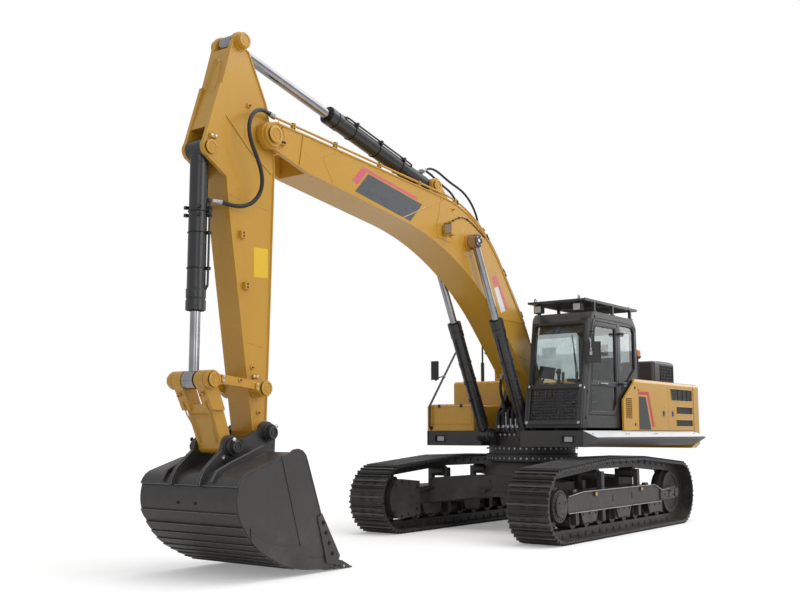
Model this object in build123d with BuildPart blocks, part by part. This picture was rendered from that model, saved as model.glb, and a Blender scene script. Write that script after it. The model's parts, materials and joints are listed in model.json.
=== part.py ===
# Crawler excavator, millimetres. +X forward along the boom, +Y to the cab's side, +Z up.
# It is drawn about the swing axis, with z = 0 on the ground under the tracks, and each
# piece is moved at the end so that the origin lies under the middle of the whole machine.
from build123d import *
from math import cos, hypot, radians, sin, tan
import os

# ---------------------------------------------------------------- driving dimensions
# fits
pin_fit = 0.05            # radial clearance of a pin in its bore
side_gap = 5              # beside a piece that turns on a pin
seat_gap = 0.3            # between curved faces of two pieces
door_gap = 6              # around a door or lid

# tracks
gauge = 2590
shoe_width = 600
wheel_base = 4000         # sprocket centre to idler centre
loop_radius = 490         # sprocket centre to a shoe's outer face
shoe_plate = 22
grouser_height = 26
shoe_count = 49
link_height = 112
link_rail = 50            # width of one chain rail
chain_half_width = 110
carrier_x = (640, -570)
carrier_top_z = 1085
carrier_radius = 80
roller_count = 8
roller_first_x = 1440
roller_last_x = -1400
roller_radius = 104
roller_axle_radius = 38
frame_sole_z = 375        # underside of the track frame's beam
frame_crown_z = 640
frame_half_width = 190
frame_front_x = 1730
frame_rear_x = -1370
guard_x = (1130, 20, -1090)
guard_length = 520
drive_hub_radius = 205
drive_cover_radius = 280
sprocket_teeth = 23
idler_axle_radius = 52

# undercarriage centre and swing bearing
car_body_bottom_z = 500
car_body_top_z = 810
car_body_front_x = 950
car_body_half_width = 430
drum_radius = 650
ring_seat_z = 1005
bearing_split_z = 1112
deck_bottom_z = 1234
bearing_radius = 690
bearing_bore = 560
tie_down_radius = 32      # bore of the lashing lugs under the car body
tie_down_z = 585
tie_down_half = 20        # half the lugs' thickness
leg_foot_z = (395, 750)    # height range of a leg where it meets the track frame

# house
deck_top_z = 1458
deck_half_width = 1468
house_half_width = 1490
skin = 30                 # thickness of a side panel or a door
roof_radius = 60          # rolled top edge of the side panels
cab_platform_x = 1190
right_front_x = 700
deck_front_x = 560
house_rear_x = -2900
house_top_z = 2240
tail_x = -3450
tail_corner_x = -3215
tail_bottom_z = 1175
centre_half_width = 480   # middle bay, where the boom foot stands
step_edge_y = 1560        # outer edge of the side steps
step_edge_z = 1362
door_seam_x = -1785
front_seam_x = -600
tank_front_x = -50
tank_top_z = (2330, 2250)  # at the tank's rear and front ends
panel_front_x = -85       # front edge of the louvred panel beside the cab
hinge_pin_radius = 8
lift_bore_radius = 21     # bores for lifting the counterweight
lift_bore_depth = 90
lift_bore_y = 700

# cab
cab_inner_y = 480
cab_outer_y = 1424
cab_bottom_z = 1498
cab_top_z = 3150
cab_wall = 60
cab_front_x = 1090
cab_rear_x = -780
front_kink_z = 1560       # above it the front leans back
front_lean = 0.1724       # run back per unit of height
door_thickness = 40
door_rear_x = -75
glass = 6
cab_hinge = (-90, 1505)   # (x, y) of the cab door's hinge line
guard_top_z = 3315

# front work equipment, pin centres (x, z) in side view
boom_foot = (100, 2020)
boom_cylinder_foot = (790, 1400)
boom_cylinder_eye = (2150, 4060)
arm_cylinder_foot = (2780, 4750)
boom_tip = (6080, 4640)
arm_cylinder_eye = (6480, 5600)
bucket_cylinder_head = (6880, 4340)
side_link_pin = (6150, 1890)
bucket_pin = (6050, 1430)
link_pin = (6880, 1955)
bucket_link_pin = (6560, 1290)

# pin radii
boom_foot_pin = 55
boom_cylinder_pin = 50
arm_cylinder_pin = 50
boom_tip_pin = 60
linkage_pin = 45
bucket_pivot_pin = 52
pin_head = 18

boom_half_width = 250
boom_cylinder_y = 355
boom_boss_half = 290
boom_mount_y = 275        # inner face of the house's boom plates
boom_mount_plate = 60
arm_half_width = 158
flange_plate = 16         # thickness of the boom's and arm's top and bottom plates
flange_lip = 12           # how far they stand out past the side plates
bucket_half_width = 700
bucket_wall = 28
tooth_count = 5
tooth_width = 110

# cylinders: barrel radius, rod radius, closed length between pins
boom_cylinder = dict(barrel=92, rod=52, closed=2060)
arm_cylinder = dict(barrel=104, rod=60, closed=2400)
bucket_cylinder = dict(barrel=95, rod=52, closed=1930)
boom_eye_half = 55
arm_eye_half = 85
bucket_eye_half = 80
ear_inner_y = 185         # inner face of the bucket's ears
link_inner_y = 233        # side links, inner and outer face
link_outer_y = 288

# pipes and hoses
pipe_radius = 14
pipe_y = 205
hose_radius = 22
small_hose_radius = 16

pieces = {}               # every finished piece by its name
half_gauge = gauge / 2
belt = shoe_plate + grouser_height + link_height
carrier_z = carrier_top_z - belt - carrier_radius
sprocket = (wheel_base / 2, loop_radius)
idler_centre = (-wheel_base / 2, loop_radius)


def keep(name, part):
    part.label = name
    pieces[name] = part


def side(y=0.0):
    """Side-view plane: sketch x is forward, sketch y is up, extrusion goes towards -Y."""
    return Plane.XZ.offset(-y)


def along(start, end, y=0.0):
    """Plane square to the line from one side-view point to another, at its start."""
    return Plane(origin=(start[0], y, start[1]), x_dir=(0, 1, 0), z_dir=(end[0] - start[0], 0, end[1] - start[1]))


def point_between(start, end, distance):
    length = hypot(end[0] - start[0], end[1] - start[1])
    share = distance / length
    return (start[0] + share * (end[0] - start[0]), start[1] + share * (end[1] - start[1]))


def disc(centres, radius, y_low, y_high, mode=Mode.ADD):
    """Round boss, pin or bore from one y to another at each side-view centre."""
    with BuildSketch(side(y_high)) as profile:
        with Locations(*centres):
            Circle(radius)
    extrude(profile.sketch, amount=y_high - y_low, mode=mode)


def slab(points, y_low, y_high, mode=Mode.ADD):
    """Plate with a straight-sided side-view outline, from one y to another."""
    with BuildSketch(side(y_high)) as profile:
        with BuildLine():
            Polyline(*points, close=True)
        make_face()
    extrude(profile.sketch, amount=y_high - y_low, mode=mode)


def block(x_range, y_range, z_range, mode=Mode.ADD):
    with Locations((sum(x_range) / 2, sum(y_range) / 2, sum(z_range) / 2)):
        Box(x_range[1] - x_range[0], y_range[1] - y_range[0], z_range[1] - z_range[0], mode=mode)


def tube(points, radius, bends):
    """Round bar or hose along straight runs joined by arcs; bends is one radius or a list."""
    with BuildLine() as path:
        FilletPolyline(*points, radius=bends)
    with BuildSketch(Plane(origin=path.line @ 0, z_dir=path.line % 0)) as section:
        Circle(radius)
    sweep(section.sketch, path=path.line)


# ---------------------------------------------------------------- tracks
def loop_hull(inset):
    """Face inside the track loop, a given depth below the grousers' tips."""
    with BuildSketch(Plane.XY) as hull:
        with Locations((wheel_base / 2, loop_radius), (-wheel_base / 2, loop_radius)):
            Circle(loop_radius - inset)
        with Locations(*((x, carrier_z) for x in carrier_x)):
            Circle(carrier_top_z - carrier_z - inset)
        make_hull()
    return hull.sketch


def shoe_outline():
    """Closed outline of the loop's outer side: plates with three bars each, (x, z)."""
    line = loop_hull(grouser_height + shoe_plate).faces()[0].outer_wire()
    pitch = line.length / shoe_count
    bar, low, high = 7, shoe_plate, shoe_plate + grouser_height
    profile = [(-0.47 * pitch, 0), (-0.47 * pitch, low)]
    for middle in (-0.36 * pitch, 0, 0.36 * pitch):
        profile += [(middle - 2 * bar, low), (middle - bar, high), (middle + bar, high), (middle + 2 * bar, low)]
    profile += [(0.47 * pitch, low), (0.47 * pitch, 0)]
    points = []
    for index in range(shoe_count):
        spot = line.position_at((index + 0.5) / shoe_count)
        ahead = line.tangent_at((index + 0.5) / shoe_count)
        for u, v in profile:
            x, z = spot.X + u * ahead.X + v * ahead.Y, spot.Y + u * ahead.Y - v * ahead.X
            points.append((x, max(z, 0)))
    return points


shoe_points = shoe_outline()
for name, y in (("left_track", half_gauge), ("right_track", -half_gauge)):
    with BuildPart() as track:
        with BuildSketch(side(y + shoe_width / 2)):
            with BuildLine():
                Polyline(*shoe_points, close=True)
            make_face()
            add(loop_hull(grouser_height + shoe_plate + 8), mode=Mode.SUBTRACT)
        extrude(amount=shoe_width)
        for rail_y in (chain_half_width, link_rail - chain_half_width):
            with BuildSketch(side(y + rail_y)):
                add(loop_hull(grouser_height + shoe_plate))
                add(loop_hull(belt), mode=Mode.SUBTRACT)
            extrude(amount=link_rail)
    keep(name, track.part)

# rollers that carry the frame on the chain, and those that carry the chain's return run
roller_z = belt + roller_radius + seat_gap
roller_step = (roller_last_x - roller_first_x) / (roller_count - 1)
lower_rollers = [(roller_first_x + roller_step * n, roller_z) for n in range(roller_count)]
upper_rollers = [(x, carrier_z) for x in carrier_x]
axle_half = frame_half_width - 10
cheek = axle_half - chain_half_width - 3
with BuildPart() as rollers:
    for y in (half_gauge, -half_gauge):
        half = chain_half_width - 2
        disc(lower_rollers, roller_radius, y - half, y + half)
        disc(upper_rollers, carrier_radius - seat_gap, y - half, y + half)
        disc(lower_rollers + upper_rollers, roller_axle_radius, y - axle_half, y + axle_half)
        for x, z in lower_rollers + upper_rollers:
            span = (z - 50, frame_sole_z) if z < frame_sole_z else (frame_crown_z, z + 50)
            for y_sign in (1, -1):
                middle = y + y_sign * (axle_half - cheek / 2)
                block((x - 45, x + 45), (middle - cheek / 2, middle + cheek / 2), span)
keep("track_rollers", rollers.part)

frame_outline = [           # (x, z) of the track frame's side
    (frame_front_x, frame_sole_z), (frame_front_x, 600), (1300, frame_crown_z),
    (-1100, frame_crown_z), (frame_rear_x, 560), (frame_rear_x, frame_sole_z),
]
yoke_outline = [            # arms that hold the idler's axle
    (frame_rear_x + 60, 390), (-1960, 400), (-2060, 440), (-2060, 545), (-1960, 590), (frame_rear_x + 60, 560),
]
drive_seat = [(1560, 385), (2000, 385), (2000, 600), (1560, 600)]
yoke_plate = 35
with BuildPart() as track_frames:
    for y in (half_gauge, -half_gauge):
        inboard = -1 if y > 0 else 1
        slab(frame_outline, y - frame_half_width, y + frame_half_width)
        slab(yoke_outline, y + frame_half_width - yoke_plate, y + frame_half_width)
        slab(yoke_outline, y - frame_half_width, y - frame_half_width + yoke_plate)
        # guards beside the lower rollers
        for x in guard_x:
            for y_sign in (1, -1):
                plate = sorted((y + y_sign * (frame_half_width - 1), y + y_sign * (frame_half_width + 14)))
                slab([(x - guard_length / 2, 390), (x + guard_length / 2, 390), (x + guard_length / 2 - 70, 235),
                      (x - guard_length / 2 + 70, 235)], *plate)
        # round seat of the travel drive
        seat_low, seat_high = sorted((y + inboard * frame_half_width, y + inboard * (frame_half_width - 70)))
        disc([sprocket], 270, seat_low, seat_high)
        slab(drive_seat, seat_low, seat_high)
        disc([sprocket], drive_hub_radius + seat_gap, y - frame_half_width - 20, y + frame_half_width + 20,
             Mode.SUBTRACT)
        disc([sprocket], loop_radius - belt + 50, y - 45, y + 45, Mode.SUBTRACT)
keep("track_frames", track_frames.part)

sprocket_root = loop_radius - belt - seat_gap
with BuildPart() as final_drives:
    for y in (half_gauge, -half_gauge):
        inboard = -1 if y > 0 else 1
        with BuildSketch(side(y + 36)):
            with Locations(sprocket):
                Circle(sprocket_root - 12)
                with PolarLocations(sprocket_root - 12, sprocket_teeth):
                    Rectangle(80, 40)
        extrude(amount=72)
        disc([sprocket], drive_hub_radius, y - frame_half_width - 30, y + frame_half_width + 30)
        disc([sprocket], 150, y - frame_half_width - 55, y + frame_half_width + 55)
        # cover over the inboard motor, rounded in front
        cover = sorted((y + inboard * (frame_half_width + seat_gap), y + inboard * (frame_half_width + 95)))
        disc([sprocket], drive_cover_radius, *cover)
        slab([(1560, 250), (sprocket[0], sprocket[1] - drive_cover_radius),
              (sprocket[0], sprocket[1] + drive_cover_radius), (1560, 730)], *cover)
keep("final_drives", final_drives.part)

with BuildPart() as idlers:
    for y in (half_gauge, -half_gauge):
        half = chain_half_width - 5
        disc([idler_centre], loop_radius - belt - seat_gap, y - half, y + half)
        disc([idler_centre], loop_radius - belt + 40, y - 38, y + 38)
        axle = frame_half_width - yoke_plate
        disc([idler_centre], idler_axle_radius, y - axle, y + axle)
        for low in (y + half - 25, y - half):
            with BuildSketch(side(low + 25)):
                with Locations(idler_centre):
                    Circle(loop_radius - belt - 60)
                    Circle(90, mode=Mode.SUBTRACT)
            extrude(amount=25, mode=Mode.SUBTRACT)
keep("idlers", idlers.part)

# ---------------------------------------------------------------- centre of the undercarriage
leg_foot_y = half_gauge - frame_half_width
with BuildPart() as car_body:
    block((-car_body_front_x, car_body_front_x), (-car_body_half_width, car_body_half_width),
          (car_body_bottom_z, car_body_top_z))
    with BuildSketch(Plane.XY.offset(car_body_top_z - 1)):
        Circle(drum_radius + 130)
    with BuildSketch(Plane.XY.offset(ring_seat_z)):
        Circle(drum_radius)
    loft()
    # four legs from the centre box to the track frames
    for x_sign in (1, -1):
        for y_sign in (1, -1):
            with BuildSketch(Plane.XZ.offset(-y_sign * car_body_half_width * 0.6)):
                with Locations((x_sign * (car_body_front_x - 230), (car_body_bottom_z + car_body_top_z) / 2)):
                    Rectangle(458, car_body_top_z - car_body_bottom_z - 2)
            with BuildSketch(Plane.XZ.offset(-y_sign * leg_foot_y)):
                with Locations((x_sign * (car_body_front_x + 45), sum(leg_foot_z) / 2)):
                    Rectangle(410, leg_foot_z[1] - leg_foot_z[0])
            loft()
    # lashing lugs at the front and rear
    for x_sign in (1, -1):
        reach = sorted((x_sign * (car_body_front_x - 40), x_sign * (car_body_front_x + 110)))
        for y in (-280, 280):
            block(reach, (y - 65, y + 65), (tie_down_z - tie_down_half, tie_down_z + tie_down_half))
            with BuildSketch(Plane.XY.offset(tie_down_z - 2 * tie_down_half)):
                with Locations((x_sign * (car_body_front_x + 55), y)):
                    Circle(tie_down_radius)
            extrude(amount=4 * tie_down_half, mode=Mode.SUBTRACT)
keep("car_body", car_body.part)

with BuildPart() as bearing_ring:
    with BuildSketch(Plane.XY.offset(ring_seat_z)):
        Circle(bearing_radius)
        Circle(bearing_bore, mode=Mode.SUBTRACT)
    extrude(amount=bearing_split_z - ring_seat_z)
keep("swing_bearing_ring", bearing_ring.part)

with BuildPart() as bearing_race:
    with BuildSketch(Plane.XY.offset(bearing_split_z + side_gap)):
        Circle(bearing_radius - 30)
        Circle(bearing_bore - 70, mode=Mode.SUBTRACT)
    extrude(amount=deck_bottom_z - bearing_split_z - side_gap)
    with BuildSketch(Plane.XY.offset(bearing_split_z - 50)):
        Circle(bearing_bore - seat_gap)
        Circle(bearing_bore - 70, mode=Mode.SUBTRACT)
    extrude(amount=50 + side_gap)
keep("swing_bearing_race", bearing_race.part)

# ---------------------------------------------------------------- house frame
cylinder_ear = 40
ear_gap = boom_eye_half + side_gap
with BuildPart() as deck:
    with BuildSketch(Plane.XY.offset(deck_bottom_z)):
        with BuildLine():
            Polyline(
                (house_rear_x, -deck_half_width), (right_front_x, -deck_half_width),
                (right_front_x, -centre_half_width), (deck_front_x, -centre_half_width),
                (deck_front_x, centre_half_width), (cab_platform_x, centre_half_width),
                (cab_platform_x, deck_half_width), (house_rear_x, deck_half_width), close=True,
            )
        make_face()
    extrude(amount=deck_top_z - deck_bottom_z)
    # plates that hold the boom's foot
    for y_low in (boom_mount_y, -boom_mount_y - boom_mount_plate):
        slab([(-900, deck_top_z - 1), (deck_front_x, deck_top_z - 1), (deck_front_x - 40, 1620),
              (boom_foot[0] + 150, boom_foot[1] + 20), (boom_foot[0], boom_foot[1] + 160),
              (boom_foot[0] - 160, boom_foot[1]), (-900, 1640)], y_low, y_low + boom_mount_plate)
        disc([boom_foot], 165, y_low, y_low + boom_mount_plate)
    disc([boom_foot], boom_foot_pin + pin_fit, -400, 400, Mode.SUBTRACT)
    # ears for the boom cylinders' feet
    for y_sign in (1, -1):
        for y_low in (y_sign * boom_cylinder_y + ear_gap, y_sign * boom_cylinder_y - ear_gap - cylinder_ear):
            slab([(deck_front_x - 1, deck_bottom_z), (boom_cylinder_foot[0], boom_cylinder_foot[1] - 100),
                  (boom_cylinder_foot[0], boom_cylinder_foot[1] + 100), (deck_front_x - 1, deck_top_z)],
                 y_low, y_low + cylinder_ear)
            disc([boom_cylinder_foot], 100, y_low, y_low + cylinder_ear)
            disc([boom_cylinder_foot], boom_cylinder_pin + pin_fit, y_low - 1, y_low + cylinder_ear + 1,
                 Mode.SUBTRACT)
    # recesses of the two front lights
    for x, y in ((cab_platform_x, 1230), (right_front_x, -1230)):
        block((x - 25, x + 1), (y - 95, y + 95), (deck_bottom_z + 60, deck_bottom_z + 150), Mode.SUBTRACT)
keep("deck", deck.part)

# wedge-shaped steps along both sides, with mitred ends
step_inner_x = {1: cab_platform_x + 20, -1: right_front_x + 20}
with BuildPart() as side_steps:
    for y_sign in (1, -1):
        front_x = step_inner_x[y_sign]
        rear_x = house_rear_x - 320
        inner, edge = y_sign * deck_half_width, y_sign * step_edge_y
        with BuildSketch(Plane.YZ.offset(rear_x)):
            with BuildLine():
                Polyline((inner, deck_bottom_z), (inner, deck_top_z - 1), (edge, step_edge_z),
                         (edge, step_edge_z - 20), (inner + y_sign * 12, deck_bottom_z), close=True)
            make_face()
        extrude(amount=front_x - rear_x)
        for corner in (
            [(front_x, inner), (front_x - 250, edge + y_sign), (front_x + 1, edge + y_sign)],
            [(rear_x, edge + y_sign), (rear_x + 230, y_sign * (house_half_width + seat_gap)),
             (house_rear_x, y_sign * (house_half_width + seat_gap)), (house_rear_x, inner - y_sign),
             (rear_x - 1, inner - y_sign), (rear_x - 1, edge + y_sign)],
        ):
            with BuildSketch(Plane.XY.offset(deck_bottom_z - 10)):
                with BuildLine():
                    Polyline(*corner, close=True)
                make_face()
            extrude(amount=300, mode=Mode.SUBTRACT)
keep("side_steps", side_steps.part)

with BuildPart() as counterweight:
    with BuildSketch(Plane.XY.offset(tail_bottom_z)):
        with BuildLine():
            Line((tail_corner_x, house_half_width), (house_rear_x - seat_gap, house_half_width))
            Line((house_rear_x - seat_gap, house_half_width), (house_rear_x - seat_gap, -house_half_width))
            Line((house_rear_x - seat_gap, -house_half_width), (tail_corner_x, -house_half_width))
            ThreePointArc((tail_corner_x, -house_half_width), (tail_x, 0), (tail_corner_x, house_half_width))
        make_face()
    extrude(amount=house_top_z - tail_bottom_z)
    fillet(counterweight.edges().filter_by(Axis.Z).sort_by(Axis.X)[:2], 130)
    rim = counterweight.faces().sort_by(Axis.Z)[-1].edges()
    fillet(rim.filter_by(lambda edge: edge.center().X < house_rear_x - 5), roof_radius)
    chamfer(counterweight.faces().sort_by(Axis.Z)[0].edges().sort_by(Axis.X)[0], 60)
    for y in (lift_bore_y, -lift_bore_y):
        with BuildSketch(Plane.XY.offset(house_top_z)):
            with Locations((house_rear_x - 200, y)):
                Circle(lift_bore_radius)
        extrude(amount=-lift_bore_depth, mode=Mode.SUBTRACT)
keep("counterweight", counterweight.part)

# ---------------------------------------------------------------- house panels
door_low_z = deck_top_z + door_gap
flange_y = house_half_width - roof_radius       # inner edge of the rolled top


def panel_run(x_low, x_high, y_sign):
    """Side panel with its rolled top edge, from one x to another, in the part being built."""
    outer, inner = y_sign * house_half_width, y_sign * (house_half_width - skin)
    turn_y, turn_z = y_sign * flange_y, house_top_z - roof_radius
    lean = cos(radians(45))
    with BuildSketch(Plane.YZ.offset(x_low)) as section:
        with BuildLine():
            Line((inner, door_low_z), (outer, door_low_z))
            Line((outer, door_low_z), (outer, turn_z))
            ThreePointArc((outer, turn_z), (turn_y + y_sign * roof_radius * lean, turn_z + roof_radius * lean),
                          (turn_y, house_top_z))
            Line((turn_y, house_top_z), (turn_y, house_top_z - skin))
            small = roof_radius - skin
            ThreePointArc((turn_y, house_top_z - skin), (turn_y + y_sign * small * lean, turn_z + small * lean),
                          (inner, turn_z))
            Line((inner, turn_z), (inner, door_low_z))
        make_face()
    extrude(section.sketch, amount=x_high - x_low)


hinge_y = house_half_width - skin / 2
hinge_inset = skin / 2
hinge_notch = 34
lower_pin_z = (deck_top_z, deck_top_z + 60)
upper_pin_z = (2036, 2134)
notch_z = (2055, 2085)
side_vents = [              # front x, rear x, low z, high z, slant of the front edge
    (-1885, -2840, 1945, 2135, 55), (-2135, -2840, 1730, 1850, 8), (-2115, -2840, 1530, 1640, 8),
]
front_door_x = (door_seam_x + door_gap / 2, front_seam_x - door_gap / 2)
rear_door_x = (house_rear_x + door_gap, door_seam_x - door_gap / 2)
side_doors = [              # node, x range, side, hinge's x, vents
    ("left_front_door", front_door_x, 1, front_door_x[1] - hinge_inset, ()),
    ("left_rear_door", rear_door_x, 1, rear_door_x[0] + hinge_inset, side_vents),
    ("right_rear_door", rear_door_x, -1, rear_door_x[0] + hinge_inset, side_vents),
]
for name, x_range, y_sign, pin_x, vents in side_doors:
    with BuildPart() as door:
        panel_run(*x_range, y_sign)
        for front, rear, low, high, slant in vents:
            depth = sorted((y_sign * (house_half_width + 1), y_sign * (house_half_width - 18)))
            slab([(front, high), (front - slant, low), (rear, low), (rear, high)], *depth, Mode.SUBTRACT)
        # rounded hinge edge, with the bores of its pins and the notch of the upper bracket
        near_hinge = door.edges().filter_by(Axis.Z).sort_by(
            lambda edge: abs(edge.center().X - pin_x) * 10 - y_sign * edge.center().Y
        )[0]
        fillet(near_hinge, hinge_inset - 1)
        for radius, span in ((hinge_pin_radius + pin_fit, (door_low_z - 1, lower_pin_z[1] + 1)),
                             (hinge_pin_radius + pin_fit, upper_pin_z), (hinge_notch, notch_z)):
            with BuildSketch(Plane.XY.offset(span[0])):
                with Locations((pin_x, y_sign * hinge_y)):
                    Circle(radius)
            extrude(amount=span[1] - span[0], mode=Mode.SUBTRACT)
    keep(name, door.part)

# fixed panel in front of the doors, cut to the slope beside the cab's rear corner
panel_slope = [(panel_front_x, 1905), (front_seam_x + door_gap / 2, house_top_z + 20)]
with BuildPart() as quarter_panel:
    panel_run(front_seam_x + door_gap / 2, panel_front_x, 1)
    slab([panel_slope[0], panel_slope[1], (panel_slope[1][0], house_top_z + 60),
          (panel_front_x + 1, house_top_z + 60), (panel_front_x + 1, 1905)],
         flange_y - 10, house_half_width + 10, Mode.SUBTRACT)
    slab([(-175, 1640), (-175, 1940), (-381, 1940), (-381, 1640)], house_half_width - 12,
         house_half_width + 1, Mode.SUBTRACT)
    # foot and stay that carry the panel
    block((-560, -120), (deck_half_width - 60, house_half_width - skin), (deck_top_z, deck_top_z + 4))
    block((-560, -120), (deck_half_width - 10, house_half_width - skin + 1), (deck_top_z, deck_top_z + 40))
keep("quarter_panel", quarter_panel.part)

# top of the house, open under the hood
hood_x = (-2730, -1800)
hood_y = (-900, 570)
with BuildPart() as top_panel:
    with BuildSketch(Plane.XY.offset(house_top_z - skin)):
        edge = flange_y - door_gap
        with BuildLine():
            Polyline(
                (house_rear_x + seat_gap, -edge), (door_seam_x + 20, -edge), (door_seam_x + 20, -centre_half_width),
                (-1000, -centre_half_width), (-1000, cab_inner_y - 60), (cab_rear_x - 20, cab_inner_y - 60),
                (cab_rear_x - 20, edge), (house_rear_x + seat_gap, edge), close=True,
            )
        make_face()
        with Locations((sum(hood_x) / 2, sum(hood_y) / 2)):
            Rectangle(hood_x[1] - hood_x[0] - 80, hood_y[1] - hood_y[0] - 80, mode=Mode.SUBTRACT)
    extrude(amount=skin)
keep("top_panel", top_panel.part)

# hood with a shallow crowned lid and two hinge knuckles behind
hood_height = 105
hood_lean = 50
hood_hinge = (hood_x[0] - 14, house_top_z + 22)
knuckle_radius = 18
knuckle_y = (-640, 310)
knuckle_half = 30
with BuildPart() as hood:
    for inset, mode in ((0, Mode.ADD), (25, Mode.SUBTRACT)):
        top_z = house_top_z + hood_height - (0 if mode == Mode.ADD else 20)
        for z, pull in ((house_top_z + seat_gap - inset / 25, inset), (top_z, inset + hood_lean)):
            with BuildSketch(Plane.XY.offset(z)):
                with Locations((sum(hood_x) / 2, sum(hood_y) / 2)):
                    Rectangle(hood_x[1] - hood_x[0] - 2 * pull, hood_y[1] - hood_y[0] - 2 * pull)
        loft(mode=mode)
    for y in knuckle_y:
        disc([hood_hinge], knuckle_radius, y - knuckle_half, y + knuckle_half)
        disc([hood_hinge], hinge_pin_radius + pin_fit, y - knuckle_half - 1, y + knuckle_half + 1, Mode.SUBTRACT)
keep("engine_hood", hood.part)

# black box for the air intake, beside the hood
with BuildPart() as intake_box:
    block((-2830, -1930), (605, 1210), (house_top_z, 2600))
    fillet(intake_box.edges().filter_by(Axis.Z), 70)
    fillet(intake_box.faces().sort_by(Axis.Z)[-1].edges(), 35)
keep("intake_box", intake_box.part)

# bulkheads that carry the top and the hinges
post_y = flange_y - door_gap - 30
bulkhead_z = (deck_top_z, house_top_z - skin)
with BuildPart() as bulkheads:
    for x in (door_seam_x, house_rear_x + 40):
        block((x - 20, x + 20), (-post_y, post_y), bulkhead_z)
    block((cab_rear_x - 60, cab_rear_x - 20), (cab_inner_y - 60, post_y), bulkhead_z)
keep("bulkheads", bulkheads.part)

with BuildPart() as engine:
    block((-2700, -1950), (-730, 570), (deck_top_z, deck_top_z + 620))
keep("engine", engine.part)

# ---------------------------------------------------------------- right side
with BuildPart() as tank:
    slab([(door_seam_x + 25, deck_top_z), (tank_front_x, deck_top_z), (tank_front_x, tank_top_z[1]),
          (door_seam_x + 25, tank_top_z[0])], -house_half_width, -centre_half_width - 10)
    fillet(tank.faces().sort_by(Axis.Z)[-1].edges() + tank.edges().filter_by(Axis.Z).group_by(Axis.X)[-1], 45)
keep("fuel_tank", tank.part)

with BuildPart() as toolbox:
    slab([(tank_front_x + seat_gap, deck_top_z), (right_front_x, deck_top_z), (right_front_x, 1862),
          (tank_front_x + seat_gap, 1862)], -house_half_width, -centre_half_width - 130)
    fillet(toolbox.faces().sort_by(Axis.Z)[-1].edges().filter_by(lambda edge: edge.center().X > 0)
           + toolbox.edges().filter_by(Axis.Z).group_by(Axis.X)[-1], 35)
keep("toolbox", toolbox.part)

rail_y = -1400
with BuildPart() as handrails:
    tube([(right_front_x + seat_gap, rail_y, 1500), (747, rail_y, 1500), (746, rail_y, 1846), (-17, rail_y, 2746),
          (-330, rail_y, 2746), (-419, rail_y, 2270)], 17, [30, 60, 110, 110])
keep("handrails", handrails.part)

with BuildPart() as antenna:
    with BuildSketch(Plane.XY.offset(2287)):
        with Locations((-800, -1380)):
            Circle(30)
    extrude(amount=323)
    with BuildSketch(Plane.XY.offset(2610)):
        with Locations((-800, -1380)):
            Circle(15)
    extrude(amount=340)
keep("antenna", antenna.part)

# ---------------------------------------------------------------- cab
def front_line_x(z):
    """Outer face of the cab's front at a height."""
    return cab_front_x - front_lean * max(0, z - front_kink_z)


def front_plane(depth=0):
    """Plane of the leaning front: sketch x is y, sketch y runs up it from the kink."""
    plane = Plane(origin=(cab_front_x, 0, front_kink_z), x_dir=(0, 1, 0), z_dir=(1, 0, front_lean))
    return plane.offset(depth)


cab_outline = [             # (x, z) of the cab's side
    (cab_front_x, cab_bottom_z), (cab_front_x, front_kink_z), (front_line_x(3010), 3010), (700, cab_top_z),
    (-640, cab_top_z), (cab_rear_x + 20, 3020), (cab_rear_x, 2300), (cab_rear_x, cab_bottom_z),
]
door_outline = [            # (x, z) of the door, its lower rear corner cut to the slope beside it
    (924, 1680), (841, 2128), (700, 2950), (640, 3015), (door_rear_x, 3015), (door_rear_x, 1795), (72, 1680),
]
upper_pane = [(775, 2165), (662, 2905), (610, 2950), (5, 2950), (5, 2165)]
lower_pane = [(850, 1745), (790, 2095), (0, 2095), (0, 1830), (105, 1745)]
quarter_pane = [(-175, 2010), (-175, 3020), (-620, 3020), (-690, 2950), (-690, 2390)]
inner_pane = [(880, 1950), (700, 2990), (-600, 3020), (-690, 2950), (-690, 1950)]
cab_mid_y = (cab_inner_y + cab_outer_y) / 2
front_pane_width = cab_outer_y - cab_inner_y - 150
front_panes = [(265, 450), (985, 880)]      # middle up the front and height, lower and upper
rear_pane = (2640, 640)                     # middle and height
roof_pane = (60, 620, 560)                  # middle x, length and width
cab_inside = (cab_inner_y + cab_wall, cab_outer_y - cab_wall)
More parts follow.
